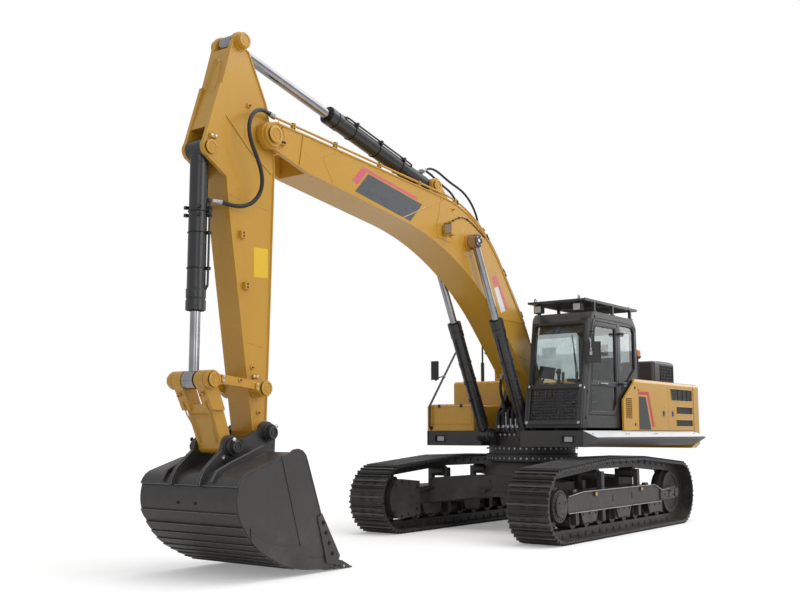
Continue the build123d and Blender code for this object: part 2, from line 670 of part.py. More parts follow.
with BuildPart() as cab:
    slab(cab_outline, cab_inner_y, cab_outer_y)
    front_edges = cab.edges().filter_by(lambda edge: edge.center().X > front_line_x(3010) - 5
                                        and abs(edge.center().Y - cab_mid_y) > 400
                                        and edge.center().Z > cab_bottom_z + 10)
    fillet(front_edges.filter_by(Axis.Y, reverse=True).group_by(Axis.X)[-1]
           + front_edges.filter_by(Axis.Y, reverse=True).group_by(Axis.X)[-2], 75)
    with BuildSketch(side(cab_inside[1])) as hollow:
        with BuildLine():
            Polyline(*cab_outline, close=True)
        make_face()
        offset(amount=-cab_wall, mode=Mode.REPLACE)
    extrude(hollow.sketch, amount=cab_inside[1] - cab_inside[0], mode=Mode.SUBTRACT)
    # door opening and rear quarter window, then the long window in the inner wall
    with BuildSketch(side(cab_outer_y + 1)) as opening:
        with BuildLine():
            Polyline(*door_outline, close=True)
        make_face()
        offset(amount=door_gap)
    extrude(opening.sketch, amount=cab_wall + 2, mode=Mode.SUBTRACT)
    slab(quarter_pane, cab_outer_y - cab_wall - 1, cab_outer_y + 1, Mode.SUBTRACT)
    slab(inner_pane, cab_inner_y - 1, cab_inner_y + cab_wall + 1, Mode.SUBTRACT)
    for middle, height in front_panes:
        with BuildSketch(front_plane(20)) as opening:
            with Locations((cab_mid_y, middle)):
                RectangleRounded(front_pane_width, height, 40)
        extrude(opening.sketch, amount=-cab_wall - 60, mode=Mode.SUBTRACT)
    block((cab_rear_x - 10, cab_rear_x + cab_wall + 20), (cab_inside[0] + 40, cab_inside[1] - 40),
          (rear_pane[0] - rear_pane[1] / 2, rear_pane[0] + rear_pane[1] / 2), Mode.SUBTRACT)
    block((roof_pane[0] - roof_pane[1] / 2, roof_pane[0] + roof_pane[1] / 2),
          (cab_mid_y - roof_pane[2] / 2, cab_mid_y + roof_pane[2] / 2), (cab_top_z - 100, cab_top_z + 10),
          Mode.SUBTRACT)
keep("cab_frame", cab.part)

with BuildPart() as cab_mounts:
    for x in (940, -640):
        for y in (cab_inner_y + 100, cab_outer_y - 100):
            with BuildSketch(Plane.XY.offset(deck_top_z)):
                with Locations((x, y)):
                    Circle(55)
            extrude(amount=cab_bottom_z - deck_top_z)
    block((-700, 1000), (cab_mid_y - 30, cab_mid_y + 30), (deck_top_z, cab_bottom_z))
keep("cab_mounts", cab_mounts.part)

with BuildPart() as cab_glass:
    for middle, height in front_panes:
        with BuildSketch(front_plane(-30)) as pane:
            with Locations((cab_mid_y, middle)):
                RectangleRounded(front_pane_width, height, 40)
        extrude(pane.sketch, amount=glass)
    slab(quarter_pane, cab_outer_y - 30, cab_outer_y - 30 + glass)
    slab(inner_pane, cab_inner_y + 24, cab_inner_y + 24 + glass)
    block((cab_rear_x + 34, cab_rear_x + 34 + glass), (cab_inside[0] + 40, cab_inside[1] - 40),
          (rear_pane[0] - rear_pane[1] / 2, rear_pane[0] + rear_pane[1] / 2))
    block((roof_pane[0] - roof_pane[1] / 2, roof_pane[0] + roof_pane[1] / 2),
          (cab_mid_y - roof_pane[2] / 2, cab_mid_y + roof_pane[2] / 2), (cab_top_z - 40, cab_top_z - 40 + glass))
keep("cab_glass", cab_glass.part)

# door with gooseneck hinges that reach out to the hinge line
cab_hinge_z = (2120, 2860)
door_in_y = cab_outer_y - door_thickness
with BuildPart() as cab_door:
    slab(door_outline, door_in_y, cab_outer_y)
    for pane in (upper_pane, lower_pane):
        slab(pane, door_in_y - 1, cab_outer_y + 1, Mode.SUBTRACT)
    for z in cab_hinge_z:
        block((door_rear_x, cab_hinge[0] + 45), (cab_outer_y - 1, cab_hinge[1] + 8), (z, z + 30))
        block((cab_hinge[0] - 10, door_rear_x + 1), (cab_outer_y + door_gap, cab_hinge[1] + 8), (z, z + 30))
        with BuildSketch(Plane.XY.offset(z)):
            with Locations(cab_hinge):
                Circle(18)
        extrude(amount=30)
        with BuildSketch(Plane.XY.offset(z - 1)):
            with Locations(cab_hinge):
                Circle(hinge_pin_radius + pin_fit)
        extrude(amount=32, mode=Mode.SUBTRACT)
keep("cab_door", cab_door.part)

with BuildPart() as door_glass:
    for pane in (upper_pane, lower_pane):
        slab(pane, cab_outer_y - 24, cab_outer_y - 24 + glass)
keep("cab_door_glass", door_glass.part)

# operator's seat: base, cushion, back and headrest
seat_y = (cab_mid_y - 250, cab_mid_y + 250)
with BuildPart() as seat:
    block((-330, 130), (cab_mid_y - 170, cab_mid_y + 170), (cab_bottom_z + cab_wall, 1900))
    slab([(-400, 1900), (180, 1900), (200, 1960), (160, 2030), (-330, 2010)], *seat_y)
    slab([(-450, 1960), (-330, 1960), (-400, 2520), (-440, 2600), (-520, 2590)], *seat_y)
    slab([(-470, 2590), (-440, 2590), (-440, 2780), (-520, 2780), (-530, 2590)], cab_mid_y - 140, cab_mid_y + 140)
keep("seat", seat.part)

with BuildPart() as consoles:
    for y_low in (cab_inside[0] + 30, cab_inside[1] - 150):
        slab([(-300, cab_bottom_z + cab_wall), (200, cab_bottom_z + cab_wall), (330, 2080), (300, 2160),
              (-300, 2130)], y_low, y_low + 120)
    for y in (cab_inside[0] + 90, cab_inside[1] - 90):
        disc([(280, 2330)], 32, y - 28, y + 28)
        slab([(268, 2120), (292, 2120), (292, 2330), (268, 2330)], y - 12, y + 12)
    for y in (cab_mid_y - 110, cab_mid_y + 110):
        slab([(590, cab_bottom_z + cab_wall), (615, cab_bottom_z + cab_wall), (560, 2210), (535, 2210)], y - 12, y + 12)
        slab([(560, cab_bottom_z + cab_wall), (760, cab_bottom_z + cab_wall), (800, 1640), (780, 1655)], y - 50, y + 50)
keep("consoles", consoles.part)

# guards: a slatted frame over the roof on six posts, and a mesh over the lower front window
guard_x_range = (-840, 950)
guard_y_range = (cab_inner_y + 20, cab_outer_y - 4)
guard_low_z = guard_top_z - 30
with BuildPart() as cab_guards:
    with BuildSketch(Plane.XY.offset(guard_low_z)):
        with Locations((sum(guard_x_range) / 2, sum(guard_y_range) / 2)):
            Rectangle(guard_x_range[1] - guard_x_range[0], guard_y_range[1] - guard_y_range[0])
            Rectangle(guard_x_range[1] - guard_x_range[0] - 80, guard_y_range[1] - guard_y_range[0] - 80,
                      mode=Mode.SUBTRACT)
            Rectangle(40, guard_y_range[1] - guard_y_range[0])
    extrude(amount=30)
    slat_step = 68
    with BuildSketch(side(guard_y_range[1] - 20)) as slats:
        for n in range(1, int((guard_x_range[1] - guard_x_range[0]) / slat_step)):
            x = guard_x_range[0] + slat_step * n
            with BuildLine():
                Polyline((x, guard_low_z), (x + 8, guard_low_z), (x + 38, guard_top_z - 2), (x + 30, guard_top_z - 2),
                         close=True)
            make_face()
    extrude(slats.sketch, amount=guard_y_range[1] - guard_y_range[0] - 40)
    for x in (-600, 30, 640):
        for y in (guard_y_range[0] + 20, guard_y_range[1] - 20):
            block((x - 20, x + 20), (y - 20, y + 20), (cab_top_z, guard_low_z + 1))
    # mesh guard, bolted to the front on four feet
    with BuildSketch(front_plane(18)) as mesh:
        with Locations((cab_mid_y, front_panes[0][0])):
            Rectangle(front_pane_width + 60, front_panes[0][1] + 90)
            with GridLocations(42, 42, 18, 11):
                Rectangle(34, 34, mode=Mode.SUBTRACT)
    extrude(mesh.sketch, amount=5)
    with BuildSketch(front_plane(10)) as rim:
        with Locations((cab_mid_y, front_panes[0][0])):
            Rectangle(front_pane_width + 96, front_panes[0][1] + 120)
            Rectangle(front_pane_width + 30, front_panes[0][1] + 60, mode=Mode.SUBTRACT)
    extrude(rim.sketch, amount=22)
    with BuildSketch(front_plane(0)) as feet:
        for v in (-5, front_panes[0][0] * 2 + 5):
            for y in (cab_mid_y - front_pane_width / 2 + 15, cab_mid_y + front_pane_width / 2 - 15):
                with Locations((y, v)):
                    Circle(14)
    extrude(feet.sketch, amount=12)
keep("cab_guards", cab_guards.part)

# mirrors: one on a stay at the cab's front pillar, one on the right handrail
mirror_size = (28, 230, 300)
left_mirror = Plane(origin=(885, 1492, 2550), x_dir=(cos(radians(45)), sin(radians(45)), 0), z_dir=(0, 0, 1))
right_mirror = Plane(origin=(470, rail_y - 90, 2420), x_dir=(1, 0, 0), z_dir=(0, 0, 1))
with BuildPart() as mirrors:
    for plane in (left_mirror, right_mirror):
        with BuildSketch(plane.offset(-mirror_size[2] / 2)) as head:
            RectangleRounded(mirror_size[0], mirror_size[1] - (0 if plane is left_mirror else 90), 12)
        extrude(head.sketch, amount=mirror_size[2])
    tube([(front_line_x(2850) - 60, cab_outer_y + seat_gap, 2850), (front_line_x(2850) - 60, 1492, 2850),
          (885, 1492, 2800), (885, 1492, 2680)], 9, [30, 30])
    tube([(343, rail_y - 17 - seat_gap, 2321), (343, rail_y - 80, 2321), (470, rail_y - 80, 2250),
          (470, rail_y - 80, 2290)], 9, [14, 14])
keep("mirrors", mirrors.part)

# ---------------------------------------------------------------- routes of the hoses
def hose_bends(name, points):
    """Largest arcs the runs allow, 0.45 of the shorter run at each corner."""
    bends = []
    for before, corner, after in zip(points, points[1:], points[2:]):
        run_in, run_out = Vector(*corner) - Vector(*before), Vector(*after) - Vector(*corner)
        turn = radians(run_in.get_angle(run_out))
        bends.append(0.45 * min(run_in.length, run_out.length) / tan(turn / 2))
    print(name, "radii", [round(bend) for bend in bends])
    return bends


hose_routes = {             # node: radius and its points on the left side
    "bucket_hose": (hose_radius, [
        (5997, 205, 4873), (6140, 226, 4897), (6290, 275, 4872), (6411, 305, 4805), (6490, 325, 4700),
        (6508, 334, 4568), (6458, 336, 4431), (6364, 334, 4290), (6290, 326, 4145), (6272, 310, 4002),
        (6330, 285, 3868), (6450, 254, 3782), (6590, 216, 3765), (6696, 160, 3790), (6768, 97, 3803),
    ]),
    "arm_hose": (small_hose_radius, [
        (2960, 60, 4930), (2870, 62, 4985), (2750, 66, 5010), (2600, 70, 4985), (2460, 75, 4935),
        (2320, 80, 4893), (2180, 86, 4862), (2040, 95, 4820), (1905, 108, 4735), (1800, 122, 4620),
        (1735, 136, 4490), (1712, 146, 4380),
    ]),
    "foot_hose": (hose_radius, [
        (600, 95, 1640), (608, 96, 1745), (652, 98, 1850), (716, 100, 1955), (752, 103, 2075), (736, 106, 2195),
        (672, 109, 2300),
    ]),
}


def add_stub(radius, tip, beyond, length):
    """Pipe stub that ends square on a hose's end: tip is the hose's end, beyond the point before it."""
    run = (Vector(*tip) - Vector(*beyond)).normalized()
    for sign in (1, -1):
        ahead = (run.X, sign * run.Y, run.Z)
        with BuildSketch(Plane(origin=(tip[0], sign * tip[1], tip[2]), z_dir=ahead)) as section:
            Circle(radius)
        extrude(section.sketch, amount=length)


# ---------------------------------------------------------------- boom
def outline(points, inset=0):
    """Side-view face from (x, z, corner radius) rows, drawn in by an inset."""
    with BuildSketch() as face:
        with BuildLine():
            FilletPolyline(*((x, z) for x, z, _ in points), radius=[r for _, _, r in points], close=True)
        make_face()
        if inset:
            offset(amount=-inset, mode=Mode.REPLACE)
    return face.sketch


def box_beam(points, half_width):
    """Welded box section: a core between side plates, and top and bottom plates with lips."""
    core_half = half_width - flange_lip
    with BuildSketch(side(core_half)) as core:
        add(outline(points))
    extrude(core.sketch, amount=2 * core_half)
    with BuildSketch(side(half_width)) as rim:
        add(outline(points))
        add(outline(points, flange_plate), mode=Mode.SUBTRACT)
    extrude(rim.sketch, amount=2 * half_width)


boom_points = [             # (x, z) and the radius of each corner, foot to tip and back
    (60, 2150, 40), (556, 2985, 900), (1838, 4529, 2050), (5480, 4781, 200), (6040, 4812, 60),
    (6200, 4600, 60), (6040, 4500, 60), (5480, 4345, 300), (2288, 3930, 4300), (204, 1916, 60), (40, 1890, 40),
]
fork_root_x = 5480
fork_inner_y = arm_half_width + 34
arm_ear_y = (110, 155)
with BuildPart() as boom:
    box_beam(boom_points, boom_half_width)
    disc([boom_tip], 150, -boom_half_width, boom_half_width)
    block((fork_root_x, fork_root_x + 1000), (-fork_inner_y, fork_inner_y), (boom_tip[1] - 450, boom_tip[1] + 450),
          Mode.SUBTRACT)
    # bosses: foot, cylinder eye, tip
    disc([boom_foot], 150, side_gap - boom_mount_y, boom_mount_y - side_gap)
    disc([boom_cylinder_eye], 120, -boom_boss_half, boom_boss_half)
    for y_range in ((fork_inner_y, boom_boss_half), (-boom_boss_half, -fork_inner_y)):
        disc([boom_tip], 130, *y_range)
    # ears for the arm cylinder's foot
    for y_low in (arm_ear_y[0], -arm_ear_y[1]):
        slab([(2380, 4490), (2680, 4800), (2880, 4700), (3060, 4590)], y_low, y_low + arm_ear_y[1] - arm_ear_y[0])
        disc([arm_cylinder_foot], 112, y_low, y_low + arm_ear_y[1] - arm_ear_y[0])
    for centre, radius in ((boom_foot, boom_foot_pin), (boom_tip, boom_tip_pin), (arm_cylinder_foot, arm_cylinder_pin)):
        disc([centre], radius + pin_fit, -400, 400, Mode.SUBTRACT)
    # stubs that the arm hoses and the foot hoses end on
    add_stub(20, *hose_routes["arm_hose"][1][:-3:-1], 150)
    add_stub(26, *hose_routes["foot_hose"][1][:-3:-1], 110)
keep("boom", boom.part)

# pipes along both sides of the boom's top, on clamps
pipe_lift = 62              # pipe centre above the top plate
clamp_shares = (0.03, 0.15, 0.28, 0.41, 0.55, 0.69, 0.83, 0.95)


def raised(before, corner, after, lift):
    """Corner of a line that runs beside the outline's corner, a lift outside it."""
    ahead = Vector(after[0] - before[0], after[1] - before[1]).normalized()
    run_in = Vector(corner[0] - before[0], corner[1] - before[1])
    run_out = Vector(after[0] - corner[0], after[1] - corner[1])
    half_turn = radians(run_in.get_angle(run_out)) / 2 if run_in.length and run_out.length else 0
    ahead = (run_in.normalized() + run_out.normalized()).normalized() if half_turn else ahead
    return (corner[0] - ahead.Y * lift / cos(half_turn), corner[1] + ahead.X * lift / cos(half_turn))


pipe_start = (585, 3020)    # where the pipes begin and end beside the boom's top
pipe_end = (6000, 4811)
boom_bend, fork_bend = boom_points[2], boom_points[3]
pipe_points = [
    raised(pipe_start, pipe_start, boom_bend, pipe_lift), raised(boom_points[1], boom_bend, fork_bend, pipe_lift),
    raised(boom_bend, fork_bend, boom_points[4], pipe_lift), raised(fork_bend, pipe_end, pipe_end, pipe_lift),
]
with BuildPart() as pipes:
    for y in (pipe_y, -pipe_y):
        tube([(x, y, z) for x, z in pipe_points], pipe_radius, [boom_bend[2] + pipe_lift, 400])
        with BuildLine() as path:
            FilletPolyline(*pipe_points, radius=[boom_bend[2] + pipe_lift, 400])
        for share in clamp_shares:
            spot, ahead = path.line @ share, path.line % share
            corners = []
            for u, v in ((-20, -pipe_lift), (20, -pipe_lift), (20, pipe_radius + 6), (-20, pipe_radius + 6)):
                corners.append((spot.X + u * ahead.X - v * ahead.Y, spot.Y + u * ahead.Y + v * ahead.X))
            slab(corners, y - pipe_radius - 8, y + pipe_radius + 8)
keep("boom_pipes", pipes.part)

# ---------------------------------------------------------------- arm
arm_points = [              # (x, z) and the radius of each corner, down the front and up the rear
    (6590, 5620, 40), (6762, 4967, 300), (6600, 3750, 900), (6185, 1400, 60), (5990, 1400, 60),
    (5962, 2500, 900), (5925, 4349, 900), (6061, 4989, 500), (6350, 5520, 40),
]
arm_boss_y = 215            # outer face of the bosses at the arm's top
arm_slot_y = 110
with BuildPart() as arm:
    box_beam(arm_points, arm_half_width)
    disc([bucket_pin], 135, -arm_half_width, arm_half_width)
    disc([arm_cylinder_eye], 105, -arm_half_width, arm_half_width)
    # slot for the cylinder's rod eye
    slab([(5700, 5000), (6250, 4900), (6640, 5000), (6660, 5250), (6560, 5900), (5700, 5900)],
         -arm_slot_y, arm_slot_y, Mode.SUBTRACT)
    # bosses: boom pin, side link pin, bucket pin, cylinder eye
    disc([boom_tip], 130, side_gap - fork_inner_y, fork_inner_y - side_gap)
    disc([side_link_pin], 95, -link_inner_y + side_gap, link_inner_y - side_gap)
    disc([bucket_pin], 125, side_gap - ear_inner_y, ear_inner_y - side_gap)
    for y_range in ((arm_slot_y, arm_boss_y), (-arm_boss_y, -arm_slot_y)):
        disc([arm_cylinder_eye], 88, *y_range)
    # triangular ears for the bucket cylinder's head
    for y_low in (115, -160):
        slab([(6700, 5060), (6765, 5060), (6975, 4360), (6900, 4230), (6640, 4080)], y_low, y_low + 45)
        disc([bucket_cylinder_head], 105, y_low, y_low + 45)
    slab([(6720, 4560), (6905, 4560), (6760, 4980), (6735, 4980)], -116, 116)
    for centre, radius in ((boom_tip, boom_tip_pin), (side_link_pin, linkage_pin), (bucket_pin, bucket_pivot_pin),
                           (bucket_cylinder_head, linkage_pin)):
        disc([centre], radius + pin_fit, -400, 400, Mode.SUBTRACT)
keep("arm", arm.part)


# ---------------------------------------------------------------- cylinders
def add_barrel(foot, eye, y, size, eye_half, eye_radius, bore):
    """Barrel with its foot eye, from the foot pin to the gland at its open end."""
    gland = size["closed"] - 250
    disc([foot], eye_radius, y - eye_half, y + eye_half)
    for start, radius, length, mode in (
        (0, min(eye_half, size["barrel"]), eye_radius + 60, Mode.ADD),
        (eye_radius + 20, size["barrel"], gland - eye_radius - 20, Mode.ADD),
        (gland - 210, size["barrel"] + 7, 80, Mode.ADD),
        (gland - 100, size["barrel"] + 8, 100, Mode.ADD),
        (eye_radius + 60, size["rod"] + 12, gland, Mode.SUBTRACT),
    ):
        with BuildSketch(along(point_between(foot, eye, start), eye, y)) as section:
            Circle(radius)
        extrude(section.sketch, amount=length, mode=mode)
    with BuildSketch(along(point_between(foot, eye, gland - 60), eye, y)) as collar:
        Circle(size["rod"] + 13)
        Circle(size["rod"] + seat_gap, mode=Mode.SUBTRACT)
    extrude(collar.sketch, amount=60)
    disc([foot], bore + pin_fit, y - eye_half - 10, y + eye_half + 10, Mode.SUBTRACT)


def add_rod(foot, eye, y, size, eye_half, eye_radius):
    """Rod with the eye at its end; it reaches down inside the barrel to the piston."""
    length = hypot(eye[0] - foot[0], eye[1] - foot[1])
    tail = length - size["closed"] + 330
    with BuildSketch(along(point_between(foot, eye, tail), eye, y)) as section:
        Circle(size["rod"])
    extrude(section.sketch, amount=length - tail)
    disc([eye], eye_radius, y - eye_half, y + eye_half)


with BuildPart() as boom_barrels:
    for y in (boom_cylinder_y, -boom_cylinder_y):
        add_barrel(boom_cylinder_foot, boom_cylinder_eye, y, boom_cylinder, boom_eye_half, 100, boom_cylinder_pin)
keep("boom_cylinder_barrels", boom_barrels.part)
with BuildPart() as boom_rods:
    for y in (boom_cylinder_y, -boom_cylinder_y):
        add_rod(boom_cylinder_foot, boom_cylinder_eye, y, boom_cylinder, boom_eye_half, 100)
keep("boom_cylinder_rods", boom_rods.part)
with BuildPart() as arm_barrel:
    add_barrel(arm_cylinder_foot, arm_cylinder_eye, 0, arm_cylinder, arm_ear_y[0] - side_gap, 105, arm_cylinder_pin)
    add_stub(24, *hose_routes["arm_hose"][1][:2], 90)
keep("arm_cylinder_barrel", arm_barrel.part)
with BuildPart() as arm_rod:
    add_rod(arm_cylinder_foot, arm_cylinder_eye, 0, arm_cylinder, arm_eye_half, 92)
keep("arm_cylinder_rod", arm_rod.part)
hose_port = (bucket_cylinder_head[0], 3803)
with BuildPart() as bucket_barrel:
    add_barrel(bucket_cylinder_head, link_pin, 0, bucket_cylinder, 110, 100, linkage_pin)
    for y_sign in (1, -1):
        port = Plane(origin=(hose_port[0] - 62, y_sign * 50, hose_port[1]), z_dir=(-0.77, y_sign * 0.64, 0))
        with BuildSketch(port) as section:
            Circle(26)
        extrude(section.sketch, amount=52)
keep("bucket_cylinder_barrel", bucket_barrel.part)
with BuildPart() as bucket_rod:
    add_rod(bucket_cylinder_head, link_pin, 0, bucket_cylinder, bucket_eye_half, 95)
keep("bucket_cylinder_rod", bucket_rod.part)

# ---------------------------------------------------------------- bucket linkage
with BuildPart() as side_links:
    for y_low in (link_inner_y, -link_outer_y):
        y_high = y_low + link_outer_y - link_inner_y
        slab([(side_link_pin[0] + 20, side_link_pin[1] + 62), (link_pin[0] - 20, link_pin[1] + 62),
              (link_pin[0] - 10, link_pin[1] - 62), (link_pin[0] - 140, link_pin[1] - 41),
              (side_link_pin[0] + 180, side_link_pin[1] - 12), (side_link_pin[0] + 30, side_link_pin[1] - 62)],
             y_low, y_high)
        disc([side_link_pin, link_pin], 95, y_low, y_high)
        disc([side_link_pin, link_pin], linkage_pin + pin_fit, y_low - 1, y_high + 1, Mode.SUBTRACT)
keep("side_links", side_links.part)

# link down to the bucket: forked round the cylinder's rod eye, solid at its lower boss
link_fork_y = (100, link_inner_y - side_gap)
link_boss_half = ear_inner_y - side_gap
link_boss_radius = 70
with BuildPart() as bucket_link:
    lean_x = (link_pin[0] - bucket_link_pin[0]) / (link_pin[1] - bucket_link_pin[1])
    waist = (link_pin[0] - lean_x * 300, link_pin[1] - 300)
    for y_sign in (1, -1):
        fork = sorted((y_sign * link_fork_y[0], y_sign * link_fork_y[1]))
        slab([(link_pin[0] - 95, link_pin[1]), (link_pin[0] + 95, link_pin[1]), (waist[0] + 85, waist[1]),
              (waist[0] - 85, waist[1])], *fork)
        disc([link_pin], 95, *fork)
        disc([link_pin], linkage_pin + pin_fit, fork[0] - 1, fork[1] + 1, Mode.SUBTRACT)
    slab([(waist[0] - 85, waist[1] + 60), (waist[0] + 85, waist[1] + 60),
          (bucket_link_pin[0] + link_boss_radius, bucket_link_pin[1]),
          (bucket_link_pin[0] - link_boss_radius, bucket_link_pin[1])], -link_boss_half, link_boss_half)
    disc([bucket_link_pin], link_boss_radius, -link_boss_half, link_boss_half)
keep("bucket_link", bucket_link.part)

# ---------------------------------------------------------------- bucket
bucket_points = [           # (x, z) and the radius of each corner: lip, round the shell, to the rear edge
    (5480, 14, 1), (6160, 70, 1300), (6700, 330, 800), (6955, 700, 380), (6900, 1000, 180), (6178, 1240, 60),
    (5933, 1161, 20),
]
bucket_inner_half = bucket_half_width - bucket_wall
lip_front_x = 5380
with BuildPart() as bucket:
    with BuildSketch(side(bucket_half_width)) as shell:
        add(outline(bucket_points))
    extrude(shell.sketch, amount=2 * bucket_half_width)
    with BuildSketch(side(bucket_inner_half)) as hollow:
        add(outline(bucket_points, bucket_wall))
    extrude(hollow.sketch, amount=2 * bucket_inner_half, mode=Mode.SUBTRACT)
    # open mouth, between the inner faces of the floor and the back plate
    slab([(5400, 36), (5590, 51), (5985, 1148), (5600, 1024), (5300, 300)],
         -bucket_inner_half, bucket_inner_half, Mode.SUBTRACT)
    for y_low in (ear_inner_y, -ear_inner_y - 43):
        slab([(5930, 1165), (5925, 1430), (6150, 1480), (6460, 1330), (6500, 1390), (6680, 1290), (6760, 1035),
              (6178, 1225)], y_low, y_low + 43)
        disc([bucket_pin, bucket_link_pin], 118, y_low, y_low + 43)
    for y_low in (ear_inner_y + 42, -link_outer_y):
        disc([bucket_pin], 92, y_low, y_low + link_outer_y - ear_inner_y - 42)
        disc([bucket_link_pin], 88, y_low, y_low + link_outer_y - ear_inner_y - 42)
    disc([bucket_pin], bucket_pivot_pin + pin_fit, -400, 400, Mode.SUBTRACT)
    disc([bucket_link_pin], linkage_pin + pin_fit, -400, 400, Mode.SUBTRACT)
    disc([bucket_pin], 150, 1 - ear_inner_y, ear_inner_y - 1, Mode.SUBTRACT)
    # lip plate along the cutting edge, and cutters on the side plates
    slab([(lip_front_x, 8), (5640, 20), (5640, 52), (lip_front_x, 30)], -bucket_half_width, bucket_half_width)
    for y_low in (bucket_half_width - 2, -bucket_half_width - 20):
        slab([(5470, 60), (5640, 90), (5790, 560), (5720, 600), (5430, 150)], y_low, y_low + 22)
keep("bucket", bucket.part)

rear = lip_front_x - seat_gap
outer_tooth_y = bucket_half_width - 3 - tooth_width / 2
tooth_pitch = 2 * outer_tooth_y / (tooth_count - 1)
with BuildPart() as teeth:
    for n in range(tooth_count):
        y = tooth_pitch * n - outer_tooth_y
        with BuildSketch(side(y + tooth_width / 2)) as adapter:
            with BuildLine():
                Polyline((rear, 4), (rear, 34), (5476, 44), (5476, 72), (5360, 62), (5200, 16), (5195, 4), close=True)
            make_face()
        extrude(adapter.sketch, amount=tooth_width)
keep("bucket_teeth", teeth.part)

# ---------------------------------------------------------------- pins
pin_rows = [                # node, centre, radius, inner and outer |y|, head's radius, y of the middle
    ("house_pins", boom_foot, boom_foot_pin, 0, boom_mount_y + boom_mount_plate, 90, 0),
    ("house_pins", boom_cylinder_foot, boom_cylinder_pin, 0, ear_gap + cylinder_ear, 58, boom_cylinder_y),
    ("house_pins", boom_cylinder_foot, boom_cylinder_pin, 0, ear_gap + cylinder_ear, 58, -boom_cylinder_y),
    ("boom_pins", boom_tip, boom_tip_pin, 0, boom_boss_half, 90, 0),
    ("boom_pins", arm_cylinder_foot, arm_cylinder_pin, 0, arm_ear_y[1], 80, 0),
    ("arm_pins", side_link_pin, linkage_pin, 0, link_outer_y, 75, 0),
    ("arm_pins", bucket_pin, bucket_pivot_pin, 0, link_outer_y, 82, 0),
    ("arm_pins", bucket_cylinder_head, linkage_pin, 0, 160, 72, 0),
    ("bucket_pins", bucket_link_pin, linkage_pin, ear_inner_y, link_outer_y, 75, 0),
    ("link_pins", link_pin, linkage_pin, link_fork_y[0], link_outer_y, 75, 0),
]


def add_hinge_bracket(x, y_sign):
    """Lower pin on its foot plate, and the upper pin on a plate out from what stands behind it."""
    for z_low, z_high, radius in ((deck_top_z + 1, lower_pin_z[1], hinge_pin_radius), (*upper_pin_z, hinge_pin_radius)):
        with BuildSketch(Plane.XY.offset(z_low)) as pin:
            with Locations((x, y_sign * hinge_y)):
                Circle(radius)
        extrude(pin.sketch, amount=z_high - z_low)
    if x > door_seam_x:
        block((x - 12, front_seam_x + door_gap / 2), (hinge_y - 12, hinge_y + 12), (notch_z[0] + 10, notch_z[1] - 10))
    else:
        block((x - 12, x + 12), sorted((y_sign * post_y, y_sign * (hinge_y + 12))), (notch_z[0] + 10, notch_z[1] - 10))
    block((x - 12, x + 12), sorted((y_sign * (deck_half_width - 50), y_sign * (hinge_y + 10))),
          (deck_top_z, deck_top_z + 4))


for node in ("house_pins", "boom_pins", "arm_pins", "bucket_pins", "link_pins"):
    with BuildPart() as pins:
        for owner, centre, radius, inner, outer, head, middle in pin_rows:
            if owner != node:
                continue
            for y_sign in (1, -1):
                disc([centre], radius, *sorted((middle + y_sign * inner, middle + y_sign * (outer + 1))))
                disc([centre], head, *sorted((middle + y_sign * outer, middle + y_sign * (outer + pin_head))))
        if node == "house_pins":
            for _, _, y_sign, pin_x, _ in side_doors:
                add_hinge_bracket(pin_x, y_sign)
            # pins of the hood's knuckles and of the cab door, each between its lugs
            for y in knuckle_y:
                disc([hood_hinge], hinge_pin_radius, y - knuckle_half - 12, y + knuckle_half + 12)
                for y_low in (y - knuckle_half - 12, y + knuckle_half + 2):
                    block((hood_hinge[0] - 14, hood_hinge[0] + 8), (y_low, y_low + 10),
                          (house_top_z, hood_hinge[1] + 12))
            for z in cab_hinge_z:
                for z_low in (z - 12, z + 32):
                    block((cab_hinge[0] - 70, cab_hinge[0] + 8), (cab_hinge[1] - 9, cab_hinge[1] + 9),
                          (z_low, z_low + 10))
                    block((cab_hinge[0] - 70, cab_hinge[0] - 30), (cab_outer_y, cab_hinge[1]), (z_low, z_low + 10))
                with BuildSketch(Plane.XY.offset(z - 12)) as pin:
                    with Locations(cab_hinge):
                        Circle(hinge_pin_radius)
                extrude(pin.sketch, amount=54)
    keep(node, pins.part)

# ---------------------------------------------------------------- hoses
manifold_x = (430, 650)
with BuildPart() as manifold:
    block((manifold_x[0], deck_front_x), (-160, 160), (deck_top_z, 1560))
    block(manifold_x, (-150, 150), (1520, 1640))
keep("hose_manifold", manifold.part)


for word, sign in (("left", 1), ("right", -1)):
    for kind, (radius, points) in hose_routes.items():
        route = [(x, sign * y, z) for x, y, z in points]
        with BuildPart() as hose:
            tube(route, radius, hose_bends(kind, route))
        keep(word + "_" + kind, hose.part)

# ---------------------------------------------------------------- finish
boxes = [part.bounding_box() for part in pieces.values()]
middle_x = (min(box.min.X for box in boxes) + max(box.max.X for box in boxes)) / 2
os.makedirs("parts", exist_ok=True)
for name, part in pieces.items():
    moved = Pos(-middle_x, 0, 0) * part
    moved.label = name
    export_step(moved, "parts/" + name + ".step")
print("pieces", len(pieces), "middle x", round(middle_x, 3))
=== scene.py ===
import json
import math

import bmesh
import bpy
from mathutils import Matrix, Vector
from mathutils.bvhtree import BVHTree

